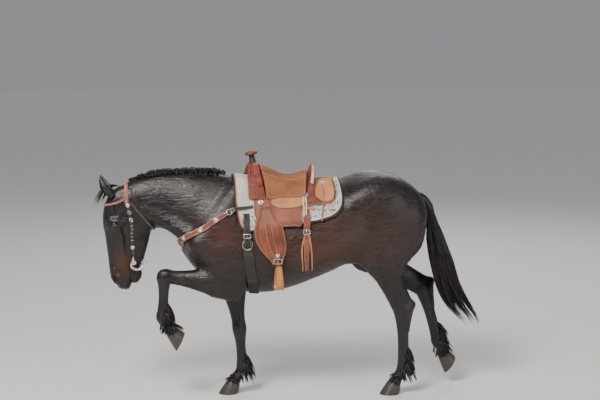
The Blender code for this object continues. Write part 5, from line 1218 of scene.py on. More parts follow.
eye_surface, tree, shader = new_material("wet_eye", 0.08, Coat_Weight=1.0, Coat_Roughness=0.02,
                                         Specular_IOR_Level=0.6)
gaze = node(tree, "Attribute", attribute_name="flat").outputs["Vector"]
pupil = node(tree, "VectorMath", operation="MULTIPLY", i0=gaze, i1=(1 / 0.50, 1 / 0.24, 0)).outputs[0]
pupil = node(tree, "VectorMath", operation="LENGTH", i0=pupil).outputs["Value"]
around = node(tree, "VectorMath", operation="MULTIPLY", i0=gaze, i1=(1, 1, 0)).outputs[0]
around = node(tree, "VectorMath", operation="LENGTH", i0=around).outputs["Value"]
threads = noise(tree, gaze, Scale=14.0, Detail=4.0)
iris = ramp(tree, threads, (0.3, (0.014, 0.005, 0.003)), (0.7, (0.045, 0.018, 0.008)))
iris = node(tree, "Mix", data_type="RGBA", Factor=ramp(tree, pupil, (0.86, 1.0), (1.04, 0.0)), i6=iris,
            i7=(0.002, 0.002, 0.004, 1)).outputs[2]
white = node(tree, "Mix", data_type="RGBA", Factor=ramp(tree, around, (0.74, 0.0), (0.86, 1.0)), i6=iris,
             i7=(0.030, 0.018, 0.013, 1)).outputs[2]
tree.links.new(white, shader.inputs["Base Color"])


def eye(label, side):
    """One eye: a ball with a raised cornea, and lashes that stand out from the upper lid."""
    out = Vector(mirrored(eye_out, side))
    centre = mirrored(EYE, side)
    level = Vector((1, 0, 0)) - out * out.x
    level.normalize()
    angles = np.linspace(0.02, math.pi - 0.02, 26)
    profile = [(EYE_RADIUS * math.cos(a) * (1 + 0.07 * max(math.cos(a) - 0.62, 0)),
                EYE_RADIUS * math.sin(a)) for a in angles]
    points, faces, _ = turned(centre, out, profile, 48)
    local = (points - centre) / EYE_RADIUS
    rise = out.cross(level)
    flats = np.stack([local @ np.array(level), local @ np.array(rise), local @ np.array(out)], axis=1)
    piece("eye_" + label, [(points, faces, flats)], eye_surface, "eye", "eye_" + label, sharp=180)
    rng = np.random.default_rng(31)
    places = np.linspace(0, 1, 34)
    lid = smooth_through((0, 0.33, 0.66, 1), ((0.231, 0.084, 0.1060), (0.2215, 0.070, 0.1125),
                                              (0.2220, 0.053, 0.1125), (0.231, 0.040, 0.1060)), places)
    roots = np.array([mirrored(face_point(u, v, y), side) for u, v, y in lid])
    heading = np.array([(-0.55 + 0.5 * t, side * 0.75, -0.25 + rng.uniform(-0.15, 0.1)) for t in places])
    lengths = rng.uniform(0.016, 0.024, len(places))[:, None, None]
    shares = np.linspace(0, 1, 6)[None, :, None]
    heading /= np.linalg.norm(heading, axis=1, keepdims=True)
    paths = roots[:, None] + heading[:, None] * shares * lengths + np.array((0, 0, 0.004)) * shares**2
    outs = np.broadcast_to(np.array((0.0, 0.0, 1.0)), paths.shape)
    strand_mesh("lashes_" + label, paths, outs, np.full((len(places), 6), 0.0007) * (1, 1, 0.9, 0.7, 0.5, 0),
                0.0006, long_hair)


# Ears
# Small pricked ears: a curled leaf of short coat with its hollow turned forward, and soft hair inside.
EAR_BASE = (-1.234, 0.056, 1.452)
EAR_TIP = (-1.303, 0.060, 1.578)


def ear(label, side):
    """One ear, whose foot is sunk in the skin, and the hair that lines it."""
    base, tip = Vector(mirrored(EAR_BASE, side)), Vector(mirrored(EAR_TIP, side))
    up = (tip - base).normalized()
    back = Vector((0.85, -side * 0.25, 0.30))
    back = (back - up * back.dot(up)).normalized()
    across = up.cross(back)
    inner, outer = [], []
    for share in np.linspace(-0.12, 0.995, 26):
        height = max(share, 0.0)
        middle = base.lerp(tip, share) - back * 0.012 * math.sin(math.pi * height)
        radius = 0.031 * (1 - height**2.6) ** 0.75 * (0.86 + 0.35 * math.sin(math.pi * min(height * 1.1,
                                                                                           1))) + 0.0012
        turns = np.radians(np.linspace(-1, 1, 25) * (180 - (105 + 35 * height) * 0.42))
        ways = np.outer(np.cos(turns), back) + np.outer(np.sin(turns), across)
        thin = 0.0042 * (1 - 0.5 * height) * (0.35 + 0.65 * np.cos(np.linspace(-1, 1, 25) * 1.35))
        inner.append(np.array(middle) + ways * np.maximum(radius - thin, 0.0006)[:, None])
        outer.append(np.array(middle) + ways * radius)
    obj = piece("ear_" + label, [sheet_between(inner, outer)], coat, "coat", "ear_" + label, rounded=0.0008,
                sharp=75)
    point_value(obj, "upright", np.ones(len(obj.data.vertices)))
    rng = np.random.default_rng(61)
    roots, headings = [], []
    for _ in range(150):
        share = rng.uniform(0.02, 0.80)
        row = int((share + 0.12) / 1.115 * 25)
        column = rng.choice((0, 1, 2, 3, 21, 22, 23, 24))
        roots.append(inner[row][column])
        centre = base.lerp(tip, share)
        towards = np.array(centre) - roots[-1]
        towards = towards / np.linalg.norm(towards) * 0.7
        headings.append(towards + np.array(up) * 0.7 - np.array(back) * rng.uniform(0.0, 0.5))
    headings = np.array(headings) / np.linalg.norm(headings, axis=1, keepdims=True)
    lengths = rng.uniform(0.012, 0.026, len(roots))[:, None, None]
    shares = np.linspace(0, 1, 6)[None, :, None]
    paths = np.array(roots)[:, None] + headings[:, None] * lengths * (shares - 0.08)
    paths = paths + np.array(up) * 0.006 * shares**2
    outs = np.broadcast_to(-np.array(back), paths.shape)
    strand_mesh("ear_hair_" + label, paths, outs, taper(len(roots), 6, 0.0022, 62), 0.0010, long_hair)


# Hooves
# Dark horn that grows down in fine rings from the coronet, with a hollow sole and a frog beneath.
horn, tree, shader = new_material("hoof_horn", 0.42, Specular_IOR_Level=0.5)
mark = node(tree, "Attribute", attribute_name="flat").outputs["Vector"]
fine = node(tree, "VectorMath", operation="MULTIPLY", i0=mark, i1=(260, 6, 0)).outputs[0]
fine = noise(tree, fine, Scale=1.0, Detail=4.0)
rings = node(tree, "VectorMath", operation="MULTIPLY", i0=mark, i1=(1.5, 130, 0)).outputs[0]
rings = noise(tree, rings, Scale=1.0, Detail=2.0)
both = calc(tree, "ADD", fine, rings)
tree.links.new(ramp(tree, calc(tree, "MULTIPLY", both, 0.5), (0.3, (0.016, 0.013, 0.011)),
                    (0.7, (0.085, 0.068, 0.052))), shader.inputs["Base Color"])
bumped(tree, shader, both, 0.35, 0.002)


HOOF_SIDES = 48


def hoof(label, joints):
    """One hoof: wall, bars of the sole, and the frog that points to the toe."""
    sole, toe, up = hoof_axes(joints)
    coffin = Vector(joints["coffin"])
    tilt = math.radians(24)
    normal = (up * math.cos(tilt) - toe * math.sin(tilt)).normalized()
    turns = np.linspace(0, 2 * math.pi, HOOF_SIDES, endpoint=False)
    reach = np.where(np.cos(turns) > 0, 0.078, 0.062)
    toe, up, sole, normal = (np.array(v) for v in (toe, up, sole, normal))
    side = np.array((0.0, 1.0, 0.0))
    ground = sole + np.outer(reach * np.cos(turns), toe) + np.outer(0.066 * np.sin(turns), side)
    top = np.array(coffin) + np.outer(0.052 * np.cos(turns) - 0.002, toe) + np.outer(0.049 * np.sin(turns),
                                                                                     side)
    top -= np.outer((top - np.array(coffin)) @ normal, normal)
    rows = []
    for f in (0.02, 0.25, 0.5, 0.7, 0.84, 0.88, 0.93, 1.0):
        row = sole + (ground - sole) * f
        local = (ground - sole) * f
        ahead, wide = local @ toe, np.abs(local @ side)
        cup = 0.009 * ramped(-np.full(HOOF_SIDES, f), -0.90, -0.55)
        frog = 0.008 * ramped(0.024 - wide - 0.30 * (ahead + 0.05), 0.0, 0.006) * (ahead < 0.035) * (f < 0.86)
        rows.append(row + np.outer(np.maximum(cup - frog, 0.0005 * (f < 0.99)), up))
    for share in np.linspace(0.03, 1.0, 30):
        middle = sole + (np.array(coffin) - sole) * share
        row = ground + (top - ground) * share
        out = (row - middle) / np.linalg.norm(row - middle, axis=1, keepdims=True)
        swell = 0.0006 * math.sin(share * 62) + 0.0012 * math.sin(math.pi * share)
        rows.append(row + out * swell)
    points = np.array(rows).reshape(-1, 3)
    last = len(points) - HOOF_SIDES
    faces = [tuple(range(HOOF_SIDES)), tuple(range(last, len(points)))[::-1]]
    for start_row in range(0, last, HOOF_SIDES):
        for i in range(HOOF_SIDES):
            a, b = start_row + i, start_row + (i + 1) % HOOF_SIDES
            faces.append((a + HOOF_SIDES, b + HOOF_SIDES, b, a))
    flats = np.stack([np.tile(turns * 0.066, len(rows)), (points - sole) @ up, 0 * points[:, 0] + 0.02], axis=1)
    piece(label + "_hoof_wall", [(points, faces, flats)], horn, "horn", label + "_hoof", sharp=50)


for label, side in (("left", -1), ("right", 1)):
    eye(label, side)
    ear(label, side)
for label, joints in LEGS.items():
    hoof(label, joints)

# Leather, thread and silver
# Western tack: oiled skirting leather, cut and tooled while damp, its edges burnished, sewn with pale
# waxed thread and set with engraved silver.
leather_marks, start, end = effect(
    "leather_marks", [("Border", "Float", 0.0), ("Tooling", "Float", 0.0), ("Petal", "Float", 85.0)],
    [("Height", "Float"), ("Deep", "Float"), ("Worn", "Float"), ("Grain", "Float")])
mark = node(leather_marks, "Attribute", attribute_name="flat").outputs["Vector"]
spot = node(leather_marks, "TexCoord").outputs["Object"]
edge = node(leather_marks, "SeparateXYZ", Vector=mark).outputs["Z"]
plane = node(leather_marks, "VectorMath", operation="MULTIPLY", i0=mark, i1=(1, 1, 0)).outputs[0]
pores = node(leather_marks, "TexVoronoi", Vector=spot, Scale=620.0).outputs["Distance"]
creases = noise(leather_marks, spot, Scale=60.0, Detail=6.0, Roughness=0.6, Distortion=0.6)
broad = noise(leather_marks, spot, Scale=9.0, Detail=3.0)
bent = node(leather_marks, "TexNoise", Vector=plane, Scale=26.0, Detail=1.5).outputs["Color"]
bent = node(leather_marks, "VectorMath", operation="MULTIPLY_ADD", i0=bent, i1=(0.030, 0.030, 0),
            i2=plane).outputs[0]
petals = node(leather_marks, "TexVoronoi", Vector=bent, Scale=start["Petal"],
              feature="DISTANCE_TO_EDGE").outputs["Distance"]
veins = node(leather_marks, "TexVoronoi", Vector=bent, Scale=start["Petal"]).outputs["Distance"]
veins = calc(leather_marks, "SINE", calc(leather_marks, "MULTIPLY", veins, 26.0))
raised = mapped(leather_marks, petals, i1=0.01, i2=0.11, interpolation_type="SMOOTHSTEP")
inside = mapped(leather_marks, edge, i1=0.0085, i2=0.0105)
outside = mapped(leather_marks, edge, i1=0.032, i2=0.030)
band = calc(leather_marks, "MULTIPLY", inside, outside)
band = calc(leather_marks, "MULTIPLY", band, start["Border"])
tooled = calc(leather_marks, "MAXIMUM", band, start["Tooling"])
sunk = calc(leather_marks, "SUBTRACT", 1.0, raised)
deep = calc(leather_marks, "MULTIPLY", sunk, tooled)
veined = calc(leather_marks, "MULTIPLY", veins, tooled)
groove = calc(leather_marks, "ABSOLUTE", calc(leather_marks, "SUBTRACT", edge, 0.0045))
groove = mapped(leather_marks, groove, i1=0.0005, i2=0.0013, i3=1.0, i4=0.0)
height = calc(leather_marks, "MULTIPLY_ADD", pores, 0.10, creases)
height = calc(leather_marks, "MULTIPLY", height, 0.35)
height = calc(leather_marks, "MULTIPLY_ADD", deep, -1.6, height)
height = calc(leather_marks, "MULTIPLY_ADD", veined, 0.22, height)
height = calc(leather_marks, "MULTIPLY_ADD", groove, -0.7, height)
rim = mapped(leather_marks, edge, i1=0.0002, i2=0.0025, i3=1.0, i4=0.0)
worn = calc(leather_marks, "MULTIPLY", rim, broad)
dark = calc(leather_marks, "MAXIMUM", deep, groove)
for label, socket in (("Height", height), ("Deep", dark), ("Worn", worn), ("Grain", broad)):
    leather_marks.links.new(socket, end.inputs[label])


def leather(name, light, dark, worn, border=0.0, tooling=0.0, petal=85.0, rough=(0.38, 0.62), bump=0.5):
    """Leather of two mottled tones, its grooves dark and its edges worn."""
    material, tree, shader = new_material(name, 0.5, Specular_IOR_Level=0.45)
    marks = use(tree, leather_marks, Border=border, Tooling=tooling, Petal=petal)
    shade = ramp(tree, marks["Grain"], (0.30, dark), (0.68, light))
    sunk = tuple(0.42 * value for value in dark)
    shade = node(tree, "Mix", data_type="RGBA", Factor=marks["Deep"], i6=shade, i7=(*sunk, 1)).outputs[2]
    shade = node(tree, "Mix", data_type="RGBA", Factor=marks["Worn"], i6=shade, i7=(*worn, 1)).outputs[2]
    tree.links.new(shade, shader.inputs["Base Color"])
    tree.links.new(mapped(tree, marks["Grain"], i3=rough[0], i4=rough[1]), shader.inputs["Roughness"])
    bumped(tree, shader, marks["Height"], bump, 0.0015)
    return material


saddle_brown = leather("saddle_brown", (0.27, 0.070, 0.028), (0.14, 0.034, 0.016), (0.38, 0.14, 0.06),
                       border=1.0)
tooled_brown = leather("tooled_brown", (0.32, 0.065, 0.035), (0.18, 0.034, 0.020), (0.46, 0.17, 0.10),
                       tooling=1.0, petal=72.0)
roughout = leather("tan_roughout", (0.56, 0.25, 0.10), (0.40, 0.15, 0.06), (0.66, 0.38, 0.20),
                   rough=(0.78, 0.92), bump=0.8)
seat_suede = leather("seat_suede", (0.30, 0.11, 0.045), (0.18, 0.06, 0.028), (0.42, 0.20, 0.10),
                     rough=(0.85, 0.95), bump=0.7)
collar_brown = leather("collar_brown", (0.36, 0.10, 0.045), (0.20, 0.05, 0.025), (0.50, 0.20, 0.10),
                       tooling=0.9, petal=120.0)
black_leather = leather("black_leather", (0.030, 0.026, 0.024), (0.012, 0.010, 0.010), (0.12, 0.09, 0.07),
                        rough=(0.30, 0.5))
pink_leather = leather("red_bridle_leather", (0.50, 0.11, 0.11), (0.30, 0.05, 0.06), (0.62, 0.28, 0.24),
                       tooling=0.5, petal=170.0)
stirrup_leather = leather("stirrup_wrap", (0.56, 0.22, 0.07), (0.36, 0.12, 0.04), (0.66, 0.34, 0.16),
                          rough=(0.5, 0.7))
rawhide = leather("rawhide_binding", (0.80, 0.70, 0.55), (0.62, 0.48, 0.34), (0.88, 0.80, 0.68),
                  rough=(0.4, 0.6), bump=0.3)
thread, tree, shader = new_material("waxed_thread", 0.55, Specular_IOR_Level=0.4)
spot = node(tree, "TexCoord").outputs["Object"]
twist = noise(tree, spot, Scale=900.0)
tree.links.new(ramp(tree, twist, (0.3, (0.48, 0.38, 0.27)), (0.7, (0.78, 0.70, 0.58))),
               shader.inputs["Base Color"])
silver, tree, shader = new_material("engraved_silver", 0.24, 1.0)
cut = node(tree, "TexVoronoi", Vector=node(tree, "TexCoord").outputs["Object"], Scale=240.0,
           feature="DISTANCE_TO_EDGE").outputs["Distance"]
cut = mapped(tree, cut, i1=0.02, i2=0.14)
tree.links.new(ramp(tree, cut, (0.0, (0.20, 0.18, 0.16)), (0.8, (0.84, 0.83, 0.80))),
               shader.inputs["Base Color"])
tree.links.new(mapped(tree, cut, i3=0.5, i4=0.2), shader.inputs["Roughness"])
bumped(tree, shader, cut, 0.35, 0.0008)


def fuzzy(name, rough, dark, light, bump, depth, stretch=None, **grain):
    """Felt, fleece or twisted cord: two tones of fibres that stand up."""
    material, tree, shader = new_material(name, rough, Specular_IOR_Level=0.2)
    spot = node(tree, "TexCoord").outputs["Object"]
    if stretch:
        spot = node(tree, "Attribute", attribute_name="flat").outputs["Vector"]
        spot = node(tree, "VectorMath", operation="MULTIPLY", i0=spot, i1=stretch).outputs[0]
    fibres = noise(tree, spot, **grain)
    tree.links.new(ramp(tree, fibres, dark, light), shader.inputs["Base Color"])
    raised = node(tree, "Bump", Strength=bump, Distance=depth, Height=fibres)
    tree.links.new(raised.outputs["Normal"], shader.inputs["Normal"])
    return material


def resampled(path, step):
    """Points and tangents at even steps along a path, half a step in from its ends."""
    path = np.asarray(path, float)
    run = np.concatenate([[0], np.cumsum(np.linalg.norm(np.diff(path, axis=0), axis=1))])
    places = (np.arange(max(int(run[-1] / step), 1)) + 0.5) * step
    points = np.stack([np.interp(places, run, path[:, k]) for k in range(3)], axis=1)
    ahead = np.stack([np.interp(places + 0.001, run, path[:, k]) for k in range(3)], axis=1)
    back = np.stack([np.interp(places - 0.001, run, path[:, k]) for k in range(3)], axis=1)
    along = ahead - back
    return points, along / np.maximum(np.linalg.norm(along, axis=1, keepdims=True), 1e-9)


def outs_at(points):
    """The way straight out from the horse's skin at each point."""
    slope = skin_slope(points)
    return slope / np.maximum(np.linalg.norm(slope, axis=1, keepdims=True), 1e-6)


def stitches(path, pitch=0.0060, length=0.0044, radius=0.0008, outs=None, lean=0.25):
    """A row of short stitches along a path on the face of a piece."""
    points, along = resampled(path, pitch)
    out = outs_at(points) if outs is None else np.broadcast_to(np.asarray(outs, float), points.shape)
    side = np.cross(along, out)
    along = along + lean * side
    ring = ((-0.5, 0, -0.7), (-0.3, 1, 0), (-0.3, 0, 1), (-0.3, -1, 0), (-0.3, 0, -1), (0.3, 1, 0), (0.3, 0, 1),
            (0.3, -1, 0), (0.3, 0, -1), (0.5, 0, -0.7))
    spots = np.stack([points + along * length * t + side * radius * s + out * radius * h for t, s, h in ring],
                     axis=1)
    one = [(0, 2, 1), (0, 3, 2), (0, 4, 3), (0, 1, 4), (9, 5, 6), (9, 6, 7), (9, 7, 8), (9, 8, 5)]
    one += [(1 + i, 1 + (i + 1) % 4, 5 + (i + 1) % 4, 5 + i) for i in range(4)]
    return [(spot, one, np.zeros((10, 3))) for spot in spots]


def borders(grid, inset, sides="tblr"):
    """Lines that run inside the four sides of a grid of points, at a distance from them."""
    grid = np.asarray(grid, float)
    lines = []
    for key, rows in (("t", grid), ("b", grid[::-1]), ("l", grid.transpose(1, 0, 2)),
                      ("r", grid.transpose(1, 0, 2)[::-1])):
        if key not in sides:
            continue
        run = np.cumsum(np.linalg.norm(np.diff(rows, axis=0, prepend=rows[:1]), axis=2), axis=0)
        line = np.array([[np.interp(inset, run[:, j],
                                    rows[:, j, k]) for k in range(3)] for j in range(rows.shape[1])])
        length = np.concatenate([[0], np.cumsum(np.linalg.norm(np.diff(line, axis=0), axis=1))])
        keep = (length > inset) & (length < length[-1] - inset)
        lines.append(line[keep])
    return [line for line in lines if len(line) > 1]


def rim_of(grid):
    """The closed line round a grid of points."""
    grid = np.asarray(grid, float)
    return np.concatenate([grid[0, :-1], grid[:-1, -1], grid[-1, :0:-1], grid[:0:-1, 0]])


def evened(path, step, closed=False):
    """A path with its points spaced evenly."""
    path = np.asarray(path, float)
    if closed:
        path = np.concatenate([path, path[:1]])
    run = np.concatenate([[0], np.cumsum(np.linalg.norm(np.diff(path, axis=0), axis=1))])
    places = np.linspace(0, run[-1], max(int(run[-1] / step), 4) + 1)
    points = np.stack([np.interp(places, run, path[:, k]) for k in range(3)], axis=1)
    return points[:-1] if closed else points


def sewn(lines, *how, **more):
    """Stitches along every one of the lines."""
    return sum((stitches(line, *how, **more) for line in lines), [])


def concho(place, out, radius=0.019, lobes=16):
    """A domed silver disc with a scalloped rim and a raised centre."""
    k = radius / 0.019
    profile = ((-0.001, 0.0185), (0.0005, 0.019), (0.0018, 0.0180), (0.0022, 0.0150), (0.0016, 0.0140),
               (0.0030, 0.0120),
               (0.0042, 0.0085), (0.0046, 0.0062), (0.0038, 0.0056), (0.0056, 0.0040), (0.0064, 0.0015))
    return turned(place, out, [(h * k, r * k) for h, r in profile], 48, lobes, 0.030)


def buckle(place, along, out, width=0.030, length=0.034, wire=0.0028):
    """A rounded frame with its tongue."""
    along, out = (np.array(Vector(v).normalized()) for v in (along, out))
    side = np.cross(out, along)
    turns = np.linspace(0, 2 * math.pi, 36, endpoint=False)
    square = [np.sign(np.cos(a)) * abs(np.cos(a)) ** 0.45 * length / 2 * along
              + np.sign(np.sin(a)) * abs(np.sin(a)) ** 0.45 * width / 2 * side for a in turns]
    frame_ring = rod(np.array(place) + np.array(square), wire, 10, closed=True, side=out)
    tongue = rod([np.array(place) + along * t * length + out * h for t,
                  h in ((-0.5, 0.001), (-0.1, 0.004), (0.5, 0.003))], wire * 0.6, 8)
    return [frame_ring, tongue]


def ring(place, out, radius, wire=0.0032):
    """A round wire ring."""
    out = np.array(Vector(out).normalized())
    first = np.cross(out, (0.0, 1.0, 0.0) if abs(out[1]) < 0.9 else (1.0, 0.0, 0.0))
    first /= np.linalg.norm(first)
    turns = np.linspace(0, 2 * math.pi, 40, endpoint=False)
    path = np.array(place) + radius * (np.outer(np.cos(turns), first) + np.outer(np.sin(turns),
                                                                                 np.cross(out, first)))
    return rod(path, wire, 10, closed=True, side=out)


# Saddle pad
# A thick dark felt with a woven blanket face, bound with a rolled edge; the weave's generic blossoms
# lie on turquoise and white behind the saddle, and the front is plain cream above a worked corner.


TRUNK_RADIUS = 0.33


def trunk_grid(edges, sides, rows, columns, shrink=0.0):
    """Places (x, angle) of a sheet over the trunk: edges gives its lowest angle at each x."""
    edges = np.array(edges, float)
    places = np.linspace(0, 1, rows)
    knots = np.linspace(0, 1, len(edges))
    xs, reach = smooth_through(knots, edges, places).T
    middle = (edges[0, 0] + edges[-1, 0]) / 2
    xs = xs - np.sign(xs - middle) * np.minimum(shrink, np.abs(xs - middle))
    reach = reach - np.degrees(shrink / TRUNK_RADIUS)
    shares = np.linspace(sides[0], sides[1], columns)
    return np.repeat(xs[:, None], columns, axis=1), reach[:, None] * shares[None, :]


def crowned(low, high, columns):
    """Heights over the skin across a strap, a little lower at its sides."""
    shares = np.linspace(-1, 1, columns)
    return low + (high - low) * (1 - 0.25 * shares**4)


PAD_EDGES = ((-0.400, 40), (-0.385, 58), (-0.360, 71), (-0.300, 76), (-0.100, 71), (0.130, 67),
             (0.220, 64), (0.290, 59), (0.330, 51), (0.345, 42))
felt = fuzzy("dark_felt", 0.95, (0.35, (0.022, 0.020, 0.018)), (0.70, (0.075, 0.065, 0.055)), 0.8, 0.002,
             Scale=240.0, Detail=6.0, Roughness=0.7)
blanket, tree, shader = new_material("pad_weave", 0.88, Specular_IOR_Level=0.25, Sheen_Weight=0.25)
mark = node(tree, "Attribute", attribute_name="flat").outputs["Vector"]
plane = node(tree, "VectorMath", operation="MULTIPLY", i0=mark, i1=(1, 1, 0)).outputs[0]
shaken = node(tree, "TexNoise", Vector=plane, Scale=220.0, Detail=1.0).outputs["Color"]
shaken = node(tree, "VectorMath", operation="MULTIPLY_ADD", i0=shaken, i1=(0.006, 0.006, 0),
              i2=plane).outputs[0]
flower = node(tree, "TexVoronoi", Vector=shaken, Scale=15.0, Randomness=0.75)
petal = node(tree, "TexVoronoi", Vector=shaken, Scale=62.0, Randomness=1.0)
leaf = node(tree, "TexVoronoi", Vector=shaken, Scale=85.0, Randomness=1.0)
pick = node(tree, "SeparateXYZ", Vector=petal.outputs["Color"]).outputs["X"]
pick_leaf = node(tree, "SeparateXYZ", Vector=leaf.outputs["Color"]).outputs["Y"]
ground = ramp(tree, pick_leaf, (0.0, (0.70, 0.72, 0.66)), (0.30, (0.12, 0.40, 0.35)),
              (0.52, (0.30, 0.58, 0.50)), (0.68, (0.70, 0.72, 0.66)),
              (0.80, (0.05, 0.10, 0.09)), (0.86, (0.72, 0.73, 0.68)))
ground.node.color_ramp.interpolation = "CONSTANT"
blossom = ramp(tree, pick, (0.0, (0.75, 0.16, 0.26)), (0.35, (0.80, 0.38, 0.40)), (0.62, (0.74, 0.22, 0.06)),
               (0.85, (0.82, 0.66, 0.60)))
blossom.node.color_ramp.interpolation = "CONSTANT"
heart = ramp(tree, flower.outputs["Distance"], (0.30, 1.0), (0.34, 0.0))
bright = node(tree, "Mix", data_type="RGBA", Factor=heart, i6=ground, i7=blossom).outputs[2]
shade_of_wool = noise(tree, plane, Scale=40.0, Detail=5.0)
cream = ramp(tree, shade_of_wool, (0.3, (0.62, 0.58, 0.51)), (0.7, (0.82, 0.79, 0.72)))
stem = ramp(tree, pick_leaf, (0.0, (0.72, 0.68, 0.60)), (0.30, (0.22, 0.17, 0.12)), (0.44, (0.50, 0.42, 0.32)),
            (0.66, (0.72, 0.68, 0.60)))
stem.node.color_ramp.interpolation = "CONSTANT"
printed = node(tree, "Attribute", attribute_name="printed").outputs["Fac"]
corner = node(tree, "Attribute", attribute_name="corner").outputs["Fac"]
woven = node(tree, "Mix", data_type="RGBA", Factor=ramp(tree, printed, (0.48, 0.0), (0.52, 1.0)), i6=cream,
             i7=bright).outputs[2]
woven = node(tree, "Mix", data_type="RGBA", Factor=ramp(tree, corner, (0.48, 0.0), (0.52, 1.0)), i6=woven,
             i7=stem).outputs[2]
ribs = node(tree, "TexWave", Vector=plane, Scale=330.0, bands_direction="X", Distortion=0.4).outputs["Fac"]
weft = node(tree, "TexWave", Vector=plane, Scale=330.0, bands_direction="Y", Distortion=0.4).outputs["Fac"]
yarn = calc(tree, "MULTIPLY", ribs, weft)
# Darker between the yarns: painted shade of the weave, laid over its print.
shaded = node(tree, "Mix", data_type="RGBA", blend_type="MULTIPLY", Factor=0.55, i6=woven,
              i7=ramp(tree, yarn, (0.0, 0.45), (0.45, 1.0))).outputs[2]
tree.links.new(shaded, shader.inputs["Base Color"])
bumped(tree, shader, yarn, 0.6, 0.0012)


def saddle_pad():
    """The felt, the blanket on it, and the rolled binding round the blanket."""
    xs, angles = trunk_grid(PAD_EDGES, (-1, 1), 60, 81)
    soft = 0.0008 * np.sin(xs * 41 + 2) * np.sin(np.radians(angles) * 13)
    soft += 0.0006 * np.sin(xs * 97) * np.cos(angles * 0.31)
    low, high = over_trunk(xs, angles, 0.0035), over_trunk(xs, angles, 0.0145 + soft)
    under = piece("pad_felt", [sheet_between(low, high)], felt, "pad_weave", "saddle_pad", rounded=0.0035)
    xs, angles = trunk_grid(PAD_EDGES, (-1, 1), 60, 81, shrink=0.015)
    low, high = over_trunk(xs, angles, 0.0150), over_trunk(xs, angles, 0.0212 + soft)
    points, faces, flats = sheet_between(low, high)
    over = piece("pad_blanket", [(points, faces, flats)], blanket, "pad_weave", rounded=0.0015)
    spots = mesh_points(over)
    tilt = np.degrees(np.arctan2(np.abs(spots[:, 1]), spots[:, 2] - TRUNK_AXIS))
    point_value(over, "printed", ramped(spots[:, 0], -0.02, 0.02))
    point_value(over, "corner", ramped(tilt, 53, 55) * ramped(-spots[:, 0], 0.10, 0.14))
    edge = evened(rim_of((low + high) / 2), 0.008, True)
    pale = edge[:, 0] > -0.02
    side = outs_at(edge)
    binding = []
    for keep, material, label in ((pale, rawhide, "pale"), (~pale, roughout, "tan")):
        marks = np.flatnonzero(keep)
        split = np.split(marks, np.flatnonzero(np.diff(marks) > 1) + 1)
        if keep[0] and keep[-1] and len(split) > 1:
            split = [np.concatenate([split[-1], split[0]])] + split[1:-1]
        shapes = [rod(edge[run] + side[run] * 0.0005, 0.0052, 10, 0.75, side=side[run]) for run in split]
        binding.append(piece("pad_binding_" + label, shapes, material, "pad_weave"))
    lines = borders(high, 0.013)
    piece("pad_stitching", sewn(lines, 0.0075, 0.0052), thread, "pad_weave")


saddle_pad()

# Saddle
# Skirts and jockeys of skirting leather lie on the pad, and the seat, cantle, swell and horn stand on
# them; each is cut from a sheet, tooled along its border, and sewn, laced or held with conchos.
SKIRT_EDGES = ((-0.270, 52), (-0.240, 66), (-0.160, 71), (-0.020, 71), (0.045, 70), (0.062, 50),
               (0.200, 46), (0.275, 43), (0.300, 32))
REAR_JOCKEY_EDGES = ((0.156, 36), (0.200, 43), (0.262, 42), (0.285, 34))
SIDE_JOCKEY_EDGES = ((-0.150, 43), (-0.100, 48), (-0.020, 49), (0.040, 48), (0.086, 42))


def leather_sheet(name, edges, low, high, sides, rows, columns, material, slot, *replaced, inset=0.006):
    """A sheet of leather over the trunk, with its line of stitches."""
    xs, angles = trunk_grid(edges, sides, rows, columns)
    top = over_trunk(xs, angles, high)
    made = piece(name, [sheet_between(over_trunk(xs, angles, low), top)], material, slot, *replaced,
                 rounded=0.0011)
    seams = sewn(borders(top, inset, "tbr" if sides[0] >= 0 else "tbl"))
    piece(name + "_stitching", seams, thread, "leather_tan")
    return made


def saddle_sheets(label, side):
    """Skirt with its fleece, rear jockey and side jockey of one side."""
    reach = sorted((side * 0.06, side))
    xs, angles = trunk_grid(SKIRT_EDGES, reach, 44, 26, shrink=0.004)
    fleece = [sheet_between(over_trunk(xs, angles, 0.0222), over_trunk(xs, angles, 0.0262))]
    piece("skirt_fleece_" + label, fleece, fleece_wool, "pad_weave", rounded=0.0015)
    leather_sheet("skirt_" + label, SKIRT_EDGES, 0.0264, 0.0308, reach, 44, 26, saddle_brown, "leather_brown",
                  "saddle_skirt_" + label)
    leather_sheet("back_jockey_" + label, REAR_JOCKEY_EDGES, 0.0335, 0.0376, sorted((side * 0.08, side)), 24,
                  22, roughout,
                  "leather_tan", "rear_jockey_" + label)
    leather_sheet("side_jockey_" + label, SIDE_JOCKEY_EDGES, 0.0342, 0.0384, sorted((side * 0.55, side)), 28,
                  16, roughout,
                  "leather_tan", "saddle_seat")


fleece_wool = fuzzy("skirt_fleece", 0.95, (0.3, (0.42, 0.36, 0.28)), (0.7, (0.72, 0.66, 0.56)), 0.9, 0.003,
                    Scale=180.0, Detail=5.0)


def lofted(rows_of_points, rows):
    """A finer grid through a few rows of points, smooth along the rows' order."""
    stack = np.asarray(rows_of_points, float)
    knots = np.linspace(0, 1, len(stack))
    flat = smooth_through(knots, stack.reshape(len(stack), -1), np.linspace(0, 1, rows))
    return flat.reshape(rows, *stack.shape[1:])


